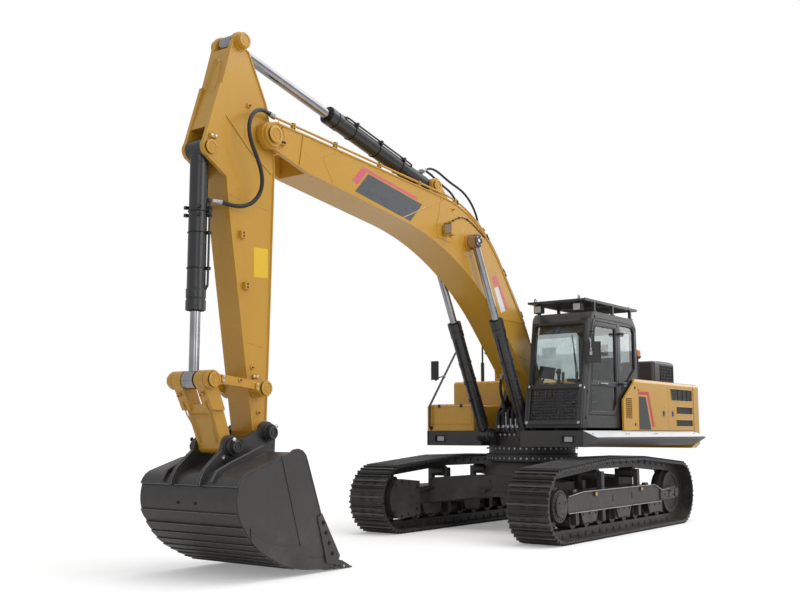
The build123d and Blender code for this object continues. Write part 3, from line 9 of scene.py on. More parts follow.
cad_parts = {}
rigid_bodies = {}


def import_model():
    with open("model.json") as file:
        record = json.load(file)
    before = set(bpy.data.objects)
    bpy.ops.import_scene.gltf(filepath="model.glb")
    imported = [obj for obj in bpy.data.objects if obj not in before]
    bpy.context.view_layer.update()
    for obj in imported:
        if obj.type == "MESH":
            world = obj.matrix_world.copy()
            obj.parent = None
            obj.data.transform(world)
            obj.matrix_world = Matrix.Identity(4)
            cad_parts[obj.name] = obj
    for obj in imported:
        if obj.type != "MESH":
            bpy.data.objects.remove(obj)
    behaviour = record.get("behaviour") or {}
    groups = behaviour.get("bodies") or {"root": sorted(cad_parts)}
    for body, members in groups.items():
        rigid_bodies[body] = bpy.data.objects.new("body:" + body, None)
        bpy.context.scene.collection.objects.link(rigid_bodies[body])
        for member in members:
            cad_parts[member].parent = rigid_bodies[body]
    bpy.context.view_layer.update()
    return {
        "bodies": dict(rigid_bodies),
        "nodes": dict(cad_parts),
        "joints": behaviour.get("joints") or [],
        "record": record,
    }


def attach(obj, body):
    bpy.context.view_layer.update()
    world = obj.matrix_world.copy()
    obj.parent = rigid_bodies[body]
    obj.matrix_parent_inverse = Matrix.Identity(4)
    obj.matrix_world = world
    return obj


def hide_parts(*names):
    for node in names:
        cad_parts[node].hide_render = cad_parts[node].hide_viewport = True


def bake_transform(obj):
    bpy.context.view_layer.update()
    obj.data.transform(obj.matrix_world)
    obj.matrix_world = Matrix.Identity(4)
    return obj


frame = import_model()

node = frame["nodes"]
pin = {joint["name"]: Vector(joint["pos_m"]) for joint in frame["joints"] if "pos_m" in joint}
swingX = pin["swing"].x        # x below is measured from the swing axis, in metres
alongX, alongY, alongZ = (Vector(axis).freeze() for axis in ((1, 0, 0), (0, 1, 0), (0, 0, 1)))
print("frame loaded:", len(node), "nodes")


def at(x, y, z):
    return Vector((x + swingX, y, z))


# ---- camera, lights and floor
cameraSetup = {"place": (13.736, 7.694, 1.432), "yaw": 216.681, "pitch": 7.529, "lens": 45.12}
lightSetup = {          # place, size in metres, power in watts
    "skyPanel": ((1.0, 3.0, 12.0), 14.0, 900),
    "sidePanel": ((3.0, 17.0, 8.0), 10.0, 550),
    "cameraPanel": ((16.0, 10.0, 6.0), 7.0, 120),
    "rearPanel": ((-12.0, 4.0, 7.0), 7.0, 260),
}


def placeCamera(setup):
    camera = bpy.data.objects.new("camera", bpy.data.cameras.new("camera"))
    bpy.context.scene.collection.objects.link(camera)
    turn = Matrix.Rotation(math.radians(setup["yaw"] - 90), 4, "Z") @ Matrix.Rotation(
        math.radians(90 + setup["pitch"]), 4, "X")
    camera.matrix_world = Matrix.Translation(at(*setup["place"])) @ turn
    camera.data.sensor_width = 36
    camera.data.lens = setup["lens"]
    camera.data.clip_end = 200
    bpy.context.scene.camera = camera


def placeLights(setup):
    target = at(2.5, 0, 2.0)
    for name, (place, size, power) in setup.items():
        light = bpy.data.lights.new(name, "AREA")
        light.size, light.energy = size, power
        lamp = bpy.data.objects.new(name, light)
        bpy.context.scene.collection.objects.link(lamp)
        lamp.location = at(*place)
        lamp.rotation_euler = (target - lamp.location).to_track_quat("-Z", "Y").to_euler()
    world = bpy.data.worlds.new("studio")
    world.use_nodes = True
    tree = world.node_tree
    # white behind the object, softer where it only lights it
    rays = tree.nodes.new("ShaderNodeLightPath")
    strength = tree.nodes.new("ShaderNodeMapRange")
    strength.inputs["To Min"].default_value = 0.58
    strength.inputs["To Max"].default_value = 1.0
    tree.links.new(rays.outputs["Is Camera Ray"], strength.inputs["Value"])
    tree.links.new(strength.outputs["Result"], tree.nodes["Background"].inputs["Strength"])
    tree.nodes["Background"].inputs["Color"].default_value = (1.0, 1.0, 1.0, 1)
    bpy.context.scene.world = world
    bpy.context.scene.view_settings.view_transform = "Standard"


placeCamera(cameraSetup)
placeLights(lightSetup)


# ---- shader helpers
def link(tree, fromSocket, toSocket):
    tree.links.new(fromSocket, toSocket)


def addNode(tree, kind, **settings):
    made = tree.nodes.new(kind)
    for key, value in settings.items():
        setattr(made, key, value)
    return made


def newGroup(name, inputs, outputs):
    group = bpy.data.node_groups.new(name, "ShaderNodeTree")
    for socketName, kind, value in inputs:
        socket = group.interface.new_socket(socketName, in_out="INPUT", socket_type="NodeSocket" + kind)
        socket.default_value = value
    for socketName, kind in outputs:
        group.interface.new_socket(socketName, in_out="OUTPUT", socket_type="NodeSocket" + kind)
    return group, addNode(group, "NodeGroupInput"), addNode(group, "NodeGroupOutput")


def noiseField(tree, vector, scale, detail=3.0, rough=0.5):
    field = addNode(tree, "ShaderNodeTexNoise")
    field.inputs["Detail"].default_value = detail
    field.inputs["Roughness"].default_value = rough
    link(tree, vector, field.inputs["Vector"])
    if isinstance(scale, (int, float)):
        field.inputs["Scale"].default_value = scale
    else:
        link(tree, scale, field.inputs["Scale"])
    return field.outputs["Fac"]


def remap(tree, value, low, high, toLow=0.0, toHigh=1.0):
    made = addNode(tree, "ShaderNodeMapRange")
    link(tree, value, made.inputs["Value"])
    for key, number in (("From Min", low), ("From Max", high), ("To Min", toLow), ("To Max", toHigh)):
        if isinstance(number, (int, float)):
            made.inputs[key].default_value = number
        else:
            link(tree, number, made.inputs[key])
    return made.outputs["Result"]


def calc(tree, operation, first, second):
    made = addNode(tree, "ShaderNodeMath", operation=operation, use_clamp=operation == "MULTIPLY")
    for socket, value in zip(made.inputs, (first, second)):
        if isinstance(value, (int, float)):
            socket.default_value = value
        else:
            link(tree, value, socket)
    return made.outputs[0]


def mixColour(tree, factor, first, second):
    made = addNode(tree, "ShaderNodeMix", data_type="RGBA")
    link(tree, factor, made.inputs["Factor"])
    for socket, value in ((made.inputs[6], first), (made.inputs[7], second)):
        if isinstance(value, (tuple, list)):
            socket.default_value = (*value[:3], 1)
        else:
            link(tree, value, socket)
    return made.outputs[2]


def objectPoint(tree):
    return addNode(tree, "ShaderNodeTexCoord").outputs["Object"]


# mottled, slightly uneven coat: broad shade changes, faint streaks and a sprayed skin
def buildCoatGroup():
    group, inside, outside = newGroup(
        "sprayedCoat",
        [("Colour", "Color", (0.5, 0.5, 0.5, 1)), ("Shade", "Color", (0.4, 0.4, 0.4, 1)),
         ("Patch Scale", "Float", 0.9), ("Skin Scale", "Float", 260.0), ("Low Gloss", "Float", 0.3),
         ("High Gloss", "Float", 0.42)],
        [("Colour", "Color"), ("Roughness", "Float"), ("Height", "Float")])
    point = objectPoint(group)
    patches = noiseField(group, point, inside.outputs["Patch Scale"], 4.0, 0.6)
    stretch = addNode(group, "ShaderNodeMapping")
    stretch.inputs["Scale"].default_value = (9.0, 9.0, 1.2)
    link(group, point, stretch.inputs["Vector"])
    streaks = noiseField(group, stretch.outputs["Vector"], 1.6, 3.0)
    shadeMask = calc(group, "ADD", remap(group, patches, 0.4, 0.72, 0.0, 0.7),
                     remap(group, streaks, 0.52, 0.8, 0.0, 0.3))
    colour = mixColour(group, shadeMask, inside.outputs["Colour"], inside.outputs["Shade"])
    skin = noiseField(group, point, inside.outputs["Skin Scale"], 2.0)
    scuff = noiseField(group, point, 14.0, 6.0, 0.7)
    link(group, colour, outside.inputs["Colour"])
    link(group, remap(group, scuff, 0.35, 0.7, inside.outputs["Low Gloss"], inside.outputs["High Gloss"]),
         outside.inputs["Roughness"])
    link(group, skin, outside.inputs["Height"])
    return group


# fine dust that settles low down and on what faces up
def buildDustGroup():
    group, inside, outside = newGroup(
        "settledDust",
        [("Colour", "Color", (0.5, 0.5, 0.5, 1)), ("Roughness", "Float", 0.4),
         ("Dust", "Color", (0.3, 0.25, 0.19, 1)),
         ("Amount", "Float", 0.3), ("Reach", "Float", 1.2)],
        [("Colour", "Color"), ("Roughness", "Float"), ("Mask", "Float")])
    coords = addNode(group, "ShaderNodeTexCoord")
    split = addNode(group, "ShaderNodeSeparateXYZ")
    link(group, coords.outputs["Object"], split.inputs[0])
    facing = addNode(group, "ShaderNodeSeparateXYZ")
    link(group, coords.outputs["Normal"], facing.inputs[0])
    low = remap(group, split.outputs["Z"], inside.outputs["Reach"], 0.0, 0.0, 0.8)
    upward = remap(group, facing.outputs["Z"], 0.55, 1.0, 0.0, 0.55)
    cloud = noiseField(group, coords.outputs["Object"], 3.2, 8.0, 0.68)
    speck = noiseField(group, coords.outputs["Object"], 60.0, 4.0, 0.6)
    amount = calc(group, "ADD", low, upward)
    amount = calc(group, "MULTIPLY", amount, remap(group, cloud, 0.38, 0.7))
    amount = calc(group, "MULTIPLY", amount, remap(group, speck, 0.3, 0.62, 0.45, 1.0))
    amount = calc(group, "MULTIPLY", amount, inside.outputs["Amount"])
    link(group, mixColour(group, amount, inside.outputs["Colour"], inside.outputs["Dust"]),
         outside.inputs["Colour"])
    link(group, calc(group, "ADD", inside.outputs["Roughness"], calc(group, "MULTIPLY", amount, 0.45)),
         outside.inputs["Roughness"])
    link(group, amount, outside.inputs["Mask"])
    return group


# small scratches and rubbed patches that show bare metal
def buildRubGroup():
    group, inside, outside = newGroup(
        "rubbedMetal",
        [("Colour", "Color", (0.1, 0.1, 0.1, 1)), ("Bare", "Color", (0.35, 0.34, 0.33, 1)),
         ("Amount", "Float", 0.2),
         ("Scale", "Float", 7.0)],
        [("Colour", "Color"), ("Mask", "Float")])
    point = objectPoint(group)
    patch = noiseField(group, point, inside.outputs["Scale"], 8.0, 0.72)
    stretch = addNode(group, "ShaderNodeMapping")
    stretch.inputs["Scale"].default_value = (70.0, 6.0, 70.0)
    stretch.inputs["Rotation"].default_value = (0.3, 0.5, 0.2)
    link(group, point, stretch.inputs["Vector"])
    scratch = noiseField(group, stretch.outputs["Vector"], 1.0, 3.0, 0.5)
    mask = calc(group, "ADD", remap(group, patch, 0.6, 0.72), remap(group, scratch, 0.7, 0.74, 0.0, 0.6))
    mask = calc(group, "MULTIPLY", mask, inside.outputs["Amount"])
    link(group, mixColour(group, mask, inside.outputs["Colour"], inside.outputs["Bare"]),
         outside.inputs["Colour"])
    link(group, mask, outside.inputs["Mask"])
    return group


# moulded or cast grain
def buildGrainGroup():
    group, inside, outside = newGroup(
        "mouldedGrain",
        [("Colour", "Color", (0.05, 0.05, 0.05, 1)), ("Scale", "Float", 320.0), ("Low Gloss", "Float", 0.5),
         ("High Gloss", "Float", 0.7)],
        [("Colour", "Color"), ("Roughness", "Float"), ("Height", "Float")])
    point = objectPoint(group)
    cells = addNode(group, "ShaderNodeTexVoronoi", feature="F1")
    link(group, point, cells.inputs["Vector"])
    link(group, inside.outputs["Scale"], cells.inputs["Scale"])
    cloud = noiseField(group, point, 5.0, 5.0, 0.6)
    shade = addNode(group, "ShaderNodeHueSaturation")
    link(group, inside.outputs["Colour"], shade.inputs["Color"])
    link(group, remap(group, cloud, 0.3, 0.7, 0.75, 1.35), shade.inputs["Value"])
    link(group, shade.outputs["Color"], outside.inputs["Colour"])
    link(group, remap(group, cloud, 0.35, 0.7, inside.outputs["Low Gloss"], inside.outputs["High Gloss"]),
         outside.inputs["Roughness"])
    link(group, cells.outputs["Distance"], outside.inputs["Height"])
    return group


# over-and-under threads of a woven cover
def buildWeaveGroup():
    group, inside, outside = newGroup(
        "wovenThreads",
        [("Warp", "Color", (0.05, 0.05, 0.055, 1)), ("Weft", "Color", (0.09, 0.09, 0.1, 1)),
         ("Scale", "Float", 260.0)],
        [("Colour", "Color"), ("Height", "Float")])
    point = objectPoint(group)
    waves = []
    for direction in ("X", "Y"):
        wave = addNode(group, "ShaderNodeTexWave", wave_type="BANDS", bands_direction=direction)
        wave.inputs["Distortion"].default_value = 0.4
        link(group, point, wave.inputs["Vector"])
        link(group, inside.outputs["Scale"], wave.inputs["Scale"])
        waves.append(wave.outputs["Fac"])
    over = calc(group, "GREATER_THAN", waves[0], waves[1])
    link(group, mixColour(group, over, inside.outputs["Warp"], inside.outputs["Weft"]),
         outside.inputs["Colour"])
    link(group, calc(group, "MAXIMUM", waves[0], waves[1]), outside.inputs["Height"])
    return group


coatGroup = buildCoatGroup()
dustGroup = buildDustGroup()
rubGroup = buildRubGroup()
grainGroup = buildGrainGroup()
weaveGroup = buildWeaveGroup()


def startMaterial(name, metallic=0.0, coat=0.0, specular=0.5):
    material = bpy.data.materials.new(name)
    material.use_nodes = True
    shader = material.node_tree.nodes["Principled BSDF"]
    shader.inputs["Metallic"].default_value = metallic
    shader.inputs["Coat Weight"].default_value = coat
    shader.inputs["Coat Roughness"].default_value = 0.12
    shader.inputs["Specular IOR Level"].default_value = specular
    return material, material.node_tree, shader


def useGroup(tree, group, **values):
    made = addNode(tree, "ShaderNodeGroup", node_tree=group)
    for key, value in values.items():
        socket = made.inputs[key.replace("_", " ")]
        if isinstance(value, bpy.types.NodeSocket):
            link(tree, value, socket)
        elif isinstance(value, (tuple, list)):
            socket.default_value = (*value, 1)
        else:
            socket.default_value = value
    return made.outputs


def bumpFrom(tree, shader, height, depth, strength=0.5):
    bump = addNode(tree, "ShaderNodeBump")
    bump.inputs["Distance"].default_value = depth
    bump.inputs["Strength"].default_value = strength
    link(tree, height, bump.inputs["Height"])
    link(tree, bump.outputs["Normal"], shader.inputs["Normal"])


# colour, shade, low and high roughness, dust amount and reach, coat, bare metal amount
coatedFinishes = {
    "ochrePaint": ((0.55, 0.292, 0.026), (0.490, 0.255, 0.022), 0.27, 0.38, 0.16, 1.4, 0.35, 0.0),
    "charcoalPaint": ((0.030, 0.029, 0.030), (0.040, 0.039, 0.040), 0.34, 0.48, 0.30, 1.6, 0.12, 0.0),
    "trackFramePaint": ((0.032, 0.030, 0.031), (0.046, 0.044, 0.044), 0.38, 0.55, 0.40, 1.1, 0.05, 0.10),
    "trackSteel": ((0.020, 0.019, 0.019), (0.034, 0.032, 0.031), 0.30, 0.46, 0.28, 0.9, 0.0, 0.25),
    # light bare-metal grey for thin edge lines: partly worn steel, partly painted highlight where the edges
    # catch the light
    "wornEdge": ((0.17, 0.17, 0.18), (0.11, 0.11, 0.12), 0.28, 0.42, 0.10, 0.9, 0.0, 0.60),
    "bucketPaint": ((0.034, 0.032, 0.032), (0.048, 0.046, 0.046), 0.33, 0.48, 0.26, 1.0, 0.12, 0.10),
    "cylinderPaint": ((0.018, 0.018, 0.019), (0.026, 0.026, 0.027), 0.24, 0.36, 0.12, 1.5, 0.3, 0.0),
    "silverTrim": ((0.62, 0.63, 0.65), (0.52, 0.53, 0.55), 0.28, 0.42, 0.25, 1.8, 0.1, 0.0),
    "stripeRed": ((0.52, 0.035, 0.045), (0.46, 0.030, 0.040), 0.25, 0.35, 0.05, 1.0, 0.2, 0.0),
    "stripePink": ((0.62, 0.125, 0.150), (0.56, 0.110, 0.135), 0.25, 0.35, 0.05, 1.0, 0.2, 0.0),
    "panelGrey": ((0.075, 0.082, 0.092), (0.066, 0.072, 0.082), 0.25, 0.35, 0.05, 1.0, 0.2, 0.0),
    "panelBlack": ((0.014, 0.014, 0.015), (0.020, 0.020, 0.021), 0.25, 0.36, 0.08, 1.0, 0.2, 0.0),
    "labelWhite": ((0.72, 0.72, 0.74), (0.66, 0.66, 0.68), 0.3, 0.4, 0.08, 1.0, 0.1, 0.0),
    "labelYellow": ((0.78, 0.50, 0.02), (0.70, 0.44, 0.02), 0.3, 0.4, 0.05, 1.0, 0.1, 0.0),
    "greaseCapRed": ((0.42, 0.03, 0.02), (0.36, 0.02, 0.02), 0.35, 0.5, 0.1, 1.0, 0.0, 0.0),
}


def makeCoated(name, colour, shade, lowGloss, highGloss, dust, reach, coat, bare):
    material, tree, shader = startMaterial(name, coat=coat)
    coatOut = useGroup(tree, coatGroup, Colour=colour, Shade=shade, Low_Gloss=lowGloss,
                       High_Gloss=highGloss)
    paint = coatOut["Colour"]
    if bare:
        rubbed = useGroup(tree, rubGroup, Colour=paint, Amount=bare)
        paint = rubbed["Colour"]
        link(tree, rubbed["Mask"], shader.inputs["Metallic"])
    dusty = useGroup(tree, dustGroup, Colour=paint, Roughness=coatOut["Roughness"], Amount=dust,
                     Reach=reach)
    link(tree, dusty["Colour"], shader.inputs["Base Color"])
    link(tree, dusty["Roughness"], shader.inputs["Roughness"])
    bumpFrom(tree, shader, coatOut["Height"], 0.0004, 0.35)
    return material


finish = {name: makeCoated(name, *row) for name, row in coatedFinishes.items()}

grainedFinishes = {     # colour, grain scale, low and high roughness, metallic, grain depth
    "hoseRubber": ((0.013, 0.013, 0.014), 420.0, 0.42, 0.60, 0.0, 0.0008),
    "sealRubber": ((0.010, 0.010, 0.010), 600.0, 0.55, 0.75, 0.0, 0.0004),
    "blackPlastic": ((0.016, 0.016, 0.017), 380.0, 0.42, 0.60, 0.0, 0.0005),
    "zincBolt": ((0.62, 0.62, 0.63), 240.0, 0.20, 0.38, 1.0, 0.0002),
    "steelFitting": ((0.42, 0.42, 0.43), 260.0, 0.24, 0.40, 1.0, 0.0002),
    "blackBolt": ((0.030, 0.030, 0.031), 240.0, 0.34, 0.50, 0.6, 0.0003),
    "meshBlack": ((0.010, 0.010, 0.010), 200.0, 0.55, 0.75, 0.0, 0.0004),
    "gripPlate": ((0.060, 0.058, 0.056), 90.0, 0.45, 0.65, 0.2, 0.0012),
}


def makeGrained(name, colour, scale, lowGloss, highGloss, metallic, depth):
    material, tree, shader = startMaterial(name, metallic=metallic)
    grain = useGroup(tree, grainGroup, Colour=colour, Scale=scale, Low_Gloss=lowGloss, High_Gloss=highGloss)
    link(tree, grain["Colour"], shader.inputs["Base Color"])
    link(tree, grain["Roughness"], shader.inputs["Roughness"])
    bumpFrom(tree, shader, grain["Height"], depth, 0.5)
    return material


finish.update({name: makeGrained(name, *row) for name, row in grainedFinishes.items()})


# plated rod: fine grinding marks round it and a thin oil film
def makeChrome():
    material, tree, shader = startMaterial("chromeRod", metallic=1.0)
    point = objectPoint(tree)
    film = noiseField(tree, point, 5.0, 4.0, 0.6)
    link(tree, mixColour(tree, remap(tree, film, 0.35, 0.7), (0.40, 0.40, 0.42), (0.30, 0.30, 0.32)),
         shader.inputs["Base Color"])
    marks = noiseField(tree, point, 900.0, 2.0)
    link(tree, remap(tree, film, 0.3, 0.7, 0.07, 0.16), shader.inputs["Roughness"])
    bumpFrom(tree, shader, marks, 0.0001, 0.3)
    return material


# tinted pane with faint smears that dull it here and there
def makeGlass(name, tint, alpha):
    material, tree, shader = startMaterial(name)
    shader.inputs["Transmission Weight"].default_value = 1.0
    shader.inputs["IOR"].default_value = 1.45
    film = noiseField(tree, objectPoint(tree), 2.4, 5.0, 0.65)
    link(tree, mixColour(tree, remap(tree, film, 0.35, 0.75), tint, [c * 0.86 for c in tint]),
         shader.inputs["Base Color"])
    link(tree, remap(tree, film, 0.4, 0.75, 0.0, alpha), shader.inputs["Roughness"])
    return material


# clear or coloured lens with a moulded pattern behind it
def makeLens(name, colour, glow):
    material, tree, shader = startMaterial(name, coat=0.6)
    cells = addNode(tree, "ShaderNodeTexVoronoi", feature="F1")
    cells.inputs["Scale"].default_value = 90.0
    link(tree, objectPoint(tree), cells.inputs["Vector"])
    link(tree, mixColour(tree, remap(tree, cells.outputs["Distance"], 0.0, 0.7), colour,
                         [c * glow for c in colour]),
         shader.inputs["Base Color"])
    link(tree, remap(tree, cells.outputs["Distance"], 0.0, 0.8, 0.12, 0.3), shader.inputs["Roughness"])
    bumpFrom(tree, shader, cells.outputs["Distance"], 0.002, 0.5)
    return material


def makeWoven():
    material, tree, shader = startMaterial("seatCloth")
    shader.inputs["Sheen Weight"].default_value = 0.3
    threads = useGroup(tree, weaveGroup, Warp=(0.020, 0.020, 0.022), Weft=(0.045, 0.045, 0.05))
    link(tree, threads["Colour"], shader.inputs["Base Color"])
    shader.inputs["Roughness"].default_value = 0.85
    bumpFrom(tree, shader, threads["Height"], 0.0012, 0.6)
    return material


# perforated sheet: round holes in rows, not cut but painted near-black as the shade seen through them
def makePerforated():
    material, tree, shader = startMaterial("perforatedSheet")
    point = objectPoint(tree)
    cells = addNode(tree, "ShaderNodeTexVoronoi", feature="F1")
    cells.inputs["Scale"].default_value = 42.0
    cells.inputs["Randomness"].default_value = 0.0
    link(tree, point, cells.inputs["Vector"])
    holeShadeMask = remap(tree, cells.outputs["Distance"], 0.24, 0.30)
    link(tree, mixColour(tree, holeShadeMask, (0.003, 0.003, 0.003), (0.028, 0.028, 0.029)),
         shader.inputs["Base Color"])
    link(tree, remap(tree, holeShadeMask, 0.0, 1.0, 0.9, 0.42), shader.inputs["Roughness"])
    bumpFrom(tree, shader, holeShadeMask, 0.004, 0.8)
    return material


# printed paper-white floor with barely visible mottling
def makeFloor():
    material, tree, shader = startMaterial("studioFloor", specular=0.2)
    cloud = noiseField(tree, objectPoint(tree), 0.6, 4.0)
    # pure white to the camera, a shade darker for the light that it throws back
    rays = addNode(tree, "ShaderNodeLightPath")
    seen = mixColour(tree, cloud, (0.92, 0.92, 0.92), (0.90, 0.90, 0.905))
    link(tree, mixColour(tree, rays.outputs["Is Camera Ray"], (0.80, 0.79, 0.78), seen),
         shader.inputs["Base Color"])
    shader.inputs["Roughness"].default_value = 0.8
    # away from the lights the sheet keeps its white
    reach = addNode(tree, "ShaderNodeVectorMath", operation="LENGTH")
    link(tree, objectPoint(tree), reach.inputs[0])
    far = remap(tree, reach.outputs["Value"], 3.0, 22.0, 0.24, 0.60)
    glow = calc(tree, "MULTIPLY", far, rays.outputs["Is Camera Ray"])
    link(tree, mixColour(tree, glow, (0, 0, 0), (1, 1, 1)), shader.inputs["Emission Color"])
    shader.inputs["Emission Strength"].default_value = 1.0
    return material


finish["chromeRod"] = makeChrome()
finish["cabGlass"] = makeGlass("cabGlass", (0.80, 0.87, 0.87), 0.05)
finish["doorGlass"] = makeGlass("doorGlass", (0.50, 0.58, 0.56), 0.05)
finish["mirrorGlass"], mirrorTree, mirrorShader = startMaterial("mirrorGlass", metallic=1.0)
mirrorFilm = noiseField(mirrorTree, objectPoint(mirrorTree), 8.0, 4.0)
link(mirrorTree, mixColour(mirrorTree, mirrorFilm, (0.78, 0.80, 0.82), (0.70, 0.72, 0.74)),
     mirrorShader.inputs["Base Color"])
link(mirrorTree, remap(mirrorTree, mirrorFilm, 0.3, 0.7, 0.02, 0.08), mirrorShader.inputs["Roughness"])
finish["lampLens"] = makeLens("lampLens", (0.55, 0.56, 0.58), 0.6)
finish["amberLens"] = makeLens("amberLens", (0.75, 0.22, 0.02), 0.7)
finish["reflectorYellow"] = makeLens("reflectorYellow", (0.75, 0.36, 0.03), 0.75)
finish["rearLens"] = makeLens("rearLens", (0.42, 0.02, 0.015), 0.6)
finish["seatCloth"] = makeWoven()
finish["perforatedSheet"] = makePerforated()
finish["studioFloor"] = makeFloor()
print("materials:", len(finish))


def layFloor():
    floor = bmesh.new()
    bmesh.ops.create_grid(floor, x_segments=2, y_segments=2, size=60)
    mesh = bpy.data.meshes.new("floor")
    floor.to_mesh(mesh)
    floor.free()
    mesh.materials.append(finish["studioFloor"])
    piece = bpy.data.objects.new("floor", mesh)
    bpy.context.scene.collection.objects.link(piece)


layFloor()


# ---- mesh helpers
def frameAlong(direction):
    return direction.to_track_quat("Z", "Y").to_matrix().to_4x4()


def addBox(shape, centre, size, turn=None):
    place = Matrix.Translation(centre) @ (turn or Matrix.Identity(4)) @ Matrix.Diagonal((*size, 1))
    bmesh.ops.create_cube(shape, size=1, matrix=place)


def addRod(shape, start, end, radius, sides=24, endRadius=None):
    line = end - start
    place = Matrix.Translation((start + end) / 2) @ frameAlong(line)
    bmesh.ops.create_cone(shape, cap_ends=True, segments=sides, radius1=radius,
                          radius2=radius if endRadius is None else endRadius, depth=line.length,
                          matrix=place)


def addBolt(shape, spot, outward, size):
    outward = outward.normalized()
    addRod(shape, spot, spot + outward * size * 0.12, size * 1.25, 16)
    addRod(shape, spot, spot + outward * size * 0.62, size, 6)
    addRod(shape, spot + outward * size * 0.62, spot + outward * size * 0.74, size * 0.98, 12, size * 0.72)


def addRing(shape, centre, outward, radius, section, sides=40, around=10):
    turn = frameAlong(outward)
    rows = []
    for i in range(sides):
        a = 2 * math.pi * i / sides
        row = []
        for k in range(around):
            b = 2 * math.pi * k / around
            reach = radius + section * math.cos(b)
            spot = turn @ Vector((reach * math.cos(a), reach * math.sin(a), section * math.sin(b)))
            row.append(shape.verts.new(centre + spot))
        rows.append(row)
    for i in range(sides):
        for k in range(around):
            j, m = (i + 1) % sides, (k + 1) % around
            shape.faces.new((rows[i][k], rows[j][k], rows[j][m], rows[i][m]))


def addSweep(shape, path, radius, sides=14, capped=True):
    ahead = (path[1] - path[0]).normalized()
    across = ahead.orthogonal().normalized()
    rings = []
    for i, spot in enumerate(path):
        after = path[min(i + 1, len(path) - 1)] - path[max(i - 1, 0)]
        turned = ahead.rotation_difference(after.normalized())
        across = (turned @ across).normalized()
        ahead = after.normalized()
        other = ahead.cross(across)
        size = radius(i) if callable(radius) else radius
        rings.append([shape.verts.new(spot + across * size * math.cos(2 * math.pi * k / sides)
                                      + other * size * math.sin(2 * math.pi * k / sides))
                      for k in range(sides)])
    for lower, upper in zip(rings, rings[1:]):
        for k in range(sides):
            m = (k + 1) % sides
            shape.faces.new((lower[k], lower[m], upper[m], upper[k]))
    if capped:
        shape.faces.new(rings[0][::-1])
        shape.faces.new(rings[-1])


def addPlate(shape, corners, thick, outward):
    low = [shape.verts.new(corner) for corner in corners]
    high = [shape.verts.new(corner + outward.normalized() * thick) for corner in corners]
    shape.faces.new(low[::-1])
    shape.faces.new(high)
    for i in range(len(low)):
        k = (i + 1) % len(low)
        shape.faces.new((low[i], low[k], high[k], high[i]))


def addSidePlate(shape, outline, y, thick):
    outward = Vector((0, 1 if y > 0 else -1, 0))
    addPlate(shape, [at(x, y, z) for x, z in outline], thick, outward)


def finishPiece(name, shape, material, body, slotName, bevel=0.0, segments=2):
    bmesh.ops.recalc_face_normals(shape, faces=shape.faces)
    mesh = bpy.data.meshes.new(name)
    shape.to_mesh(mesh)
    shape.free()
    mesh.materials.append(finish[material])
    mesh.shade_smooth()
    mesh.set_sharp_from_angle(angle=math.radians(35))
    piece = bpy.data.objects.new(name, mesh)
    bpy.context.scene.collection.objects.link(piece)
    if bevel:
        soften = piece.modifiers.new("softEdges", "BEVEL")
        soften.width, soften.segments, soften.limit_method = bevel, segments, "ANGLE"
        soften.angle_limit = math.radians(40)
        soften.harden_normals = True
    if body:
        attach(piece, body)
    return piece


def finishPieces(body, *rows):
    for name, shape, material, *rest in rows:
        finishPiece(name, shape, material, body, *rest)


def arcPoints(centre, radius, low, high, count):
    step = (high - low) / (count - 1)
    return [(centre[0] + radius * math.cos(math.radians(low + step * i)),
             centre[1] + radius * math.sin(math.radians(low + step * i))) for i in range(count)]


def roundedOutline(corners, radius, steps=5):
    points = []
    for i, corner in enumerate(corners):
        here, before, after = Vector(corner), Vector(corners[i - 1]), Vector(corners[(i + 1) % len(corners)])
        toBefore, toAfter = (before - here).normalized(), (after - here).normalized()
        start, end = here + toBefore * radius, here + toAfter * radius
        for k in range(steps + 1):
            share = k / steps
            points.append(tuple(start.lerp(here, share).lerp(here.lerp(end, share), share)))
    return points


# ---- hoses: the routes, from where each leaves its pipe or block
hoseSetup = {
    "bucketHose": {
        "node": "bucket_hose", "radius": 0.022,
                   "stretches": (("boom", "arm", 9), ("arm", "bucket_barrel", None)),
        "points": (
            (5.997, 0.205, 4.873), (6.140, 0.226, 4.897), (6.290, 0.275, 4.872), (6.411, 0.305, 4.805),
            (6.490, 0.325, 4.700), (6.508, 0.334, 4.568), (6.458, 0.336, 4.431), (6.364, 0.334, 4.290),
            (6.290, 0.326, 4.145), (6.272, 0.310, 4.002), (6.330, 0.285, 3.868), (6.450, 0.254, 3.782),
            (6.590, 0.216, 3.765), (6.696, 0.160, 3.790), (6.768, 0.097, 3.803),
        ),
    },
    "armHose": {
        "node": "arm_hose", "radius": 0.016, "stretches": (("arm_barrel", "boom", None),),
        "points": (
            (2.960, 0.060, 4.930), (2.870, 0.062, 4.985), (2.750, 0.066, 5.010), (2.600, 0.070, 4.985),
            (2.460, 0.075, 4.935), (2.320, 0.080, 4.893), (2.180, 0.086, 4.862), (2.040, 0.095, 4.820),
            (1.905, 0.108, 4.735), (1.800, 0.122, 4.620), (1.735, 0.136, 4.490), (1.712, 0.146, 4.380),
        ),
    },
    "footHose": {
        "node": "foot_hose", "radius": 0.022, "stretches": (("house", "boom", None),),
        "points": (
            (0.600, 0.095, 1.640), (0.608, 0.096, 1.745), (0.652, 0.098, 1.850), (0.716, 0.100, 1.955),
            (0.752, 0.103, 2.075), (0.736, 0.106, 2.195), (0.672, 0.109, 2.300),
        ),
    },
}


def roundedBox(left, low, right, top, radius):
    return roundedOutline(((left, low), (right, low), (right, top), (left, top)), radius)


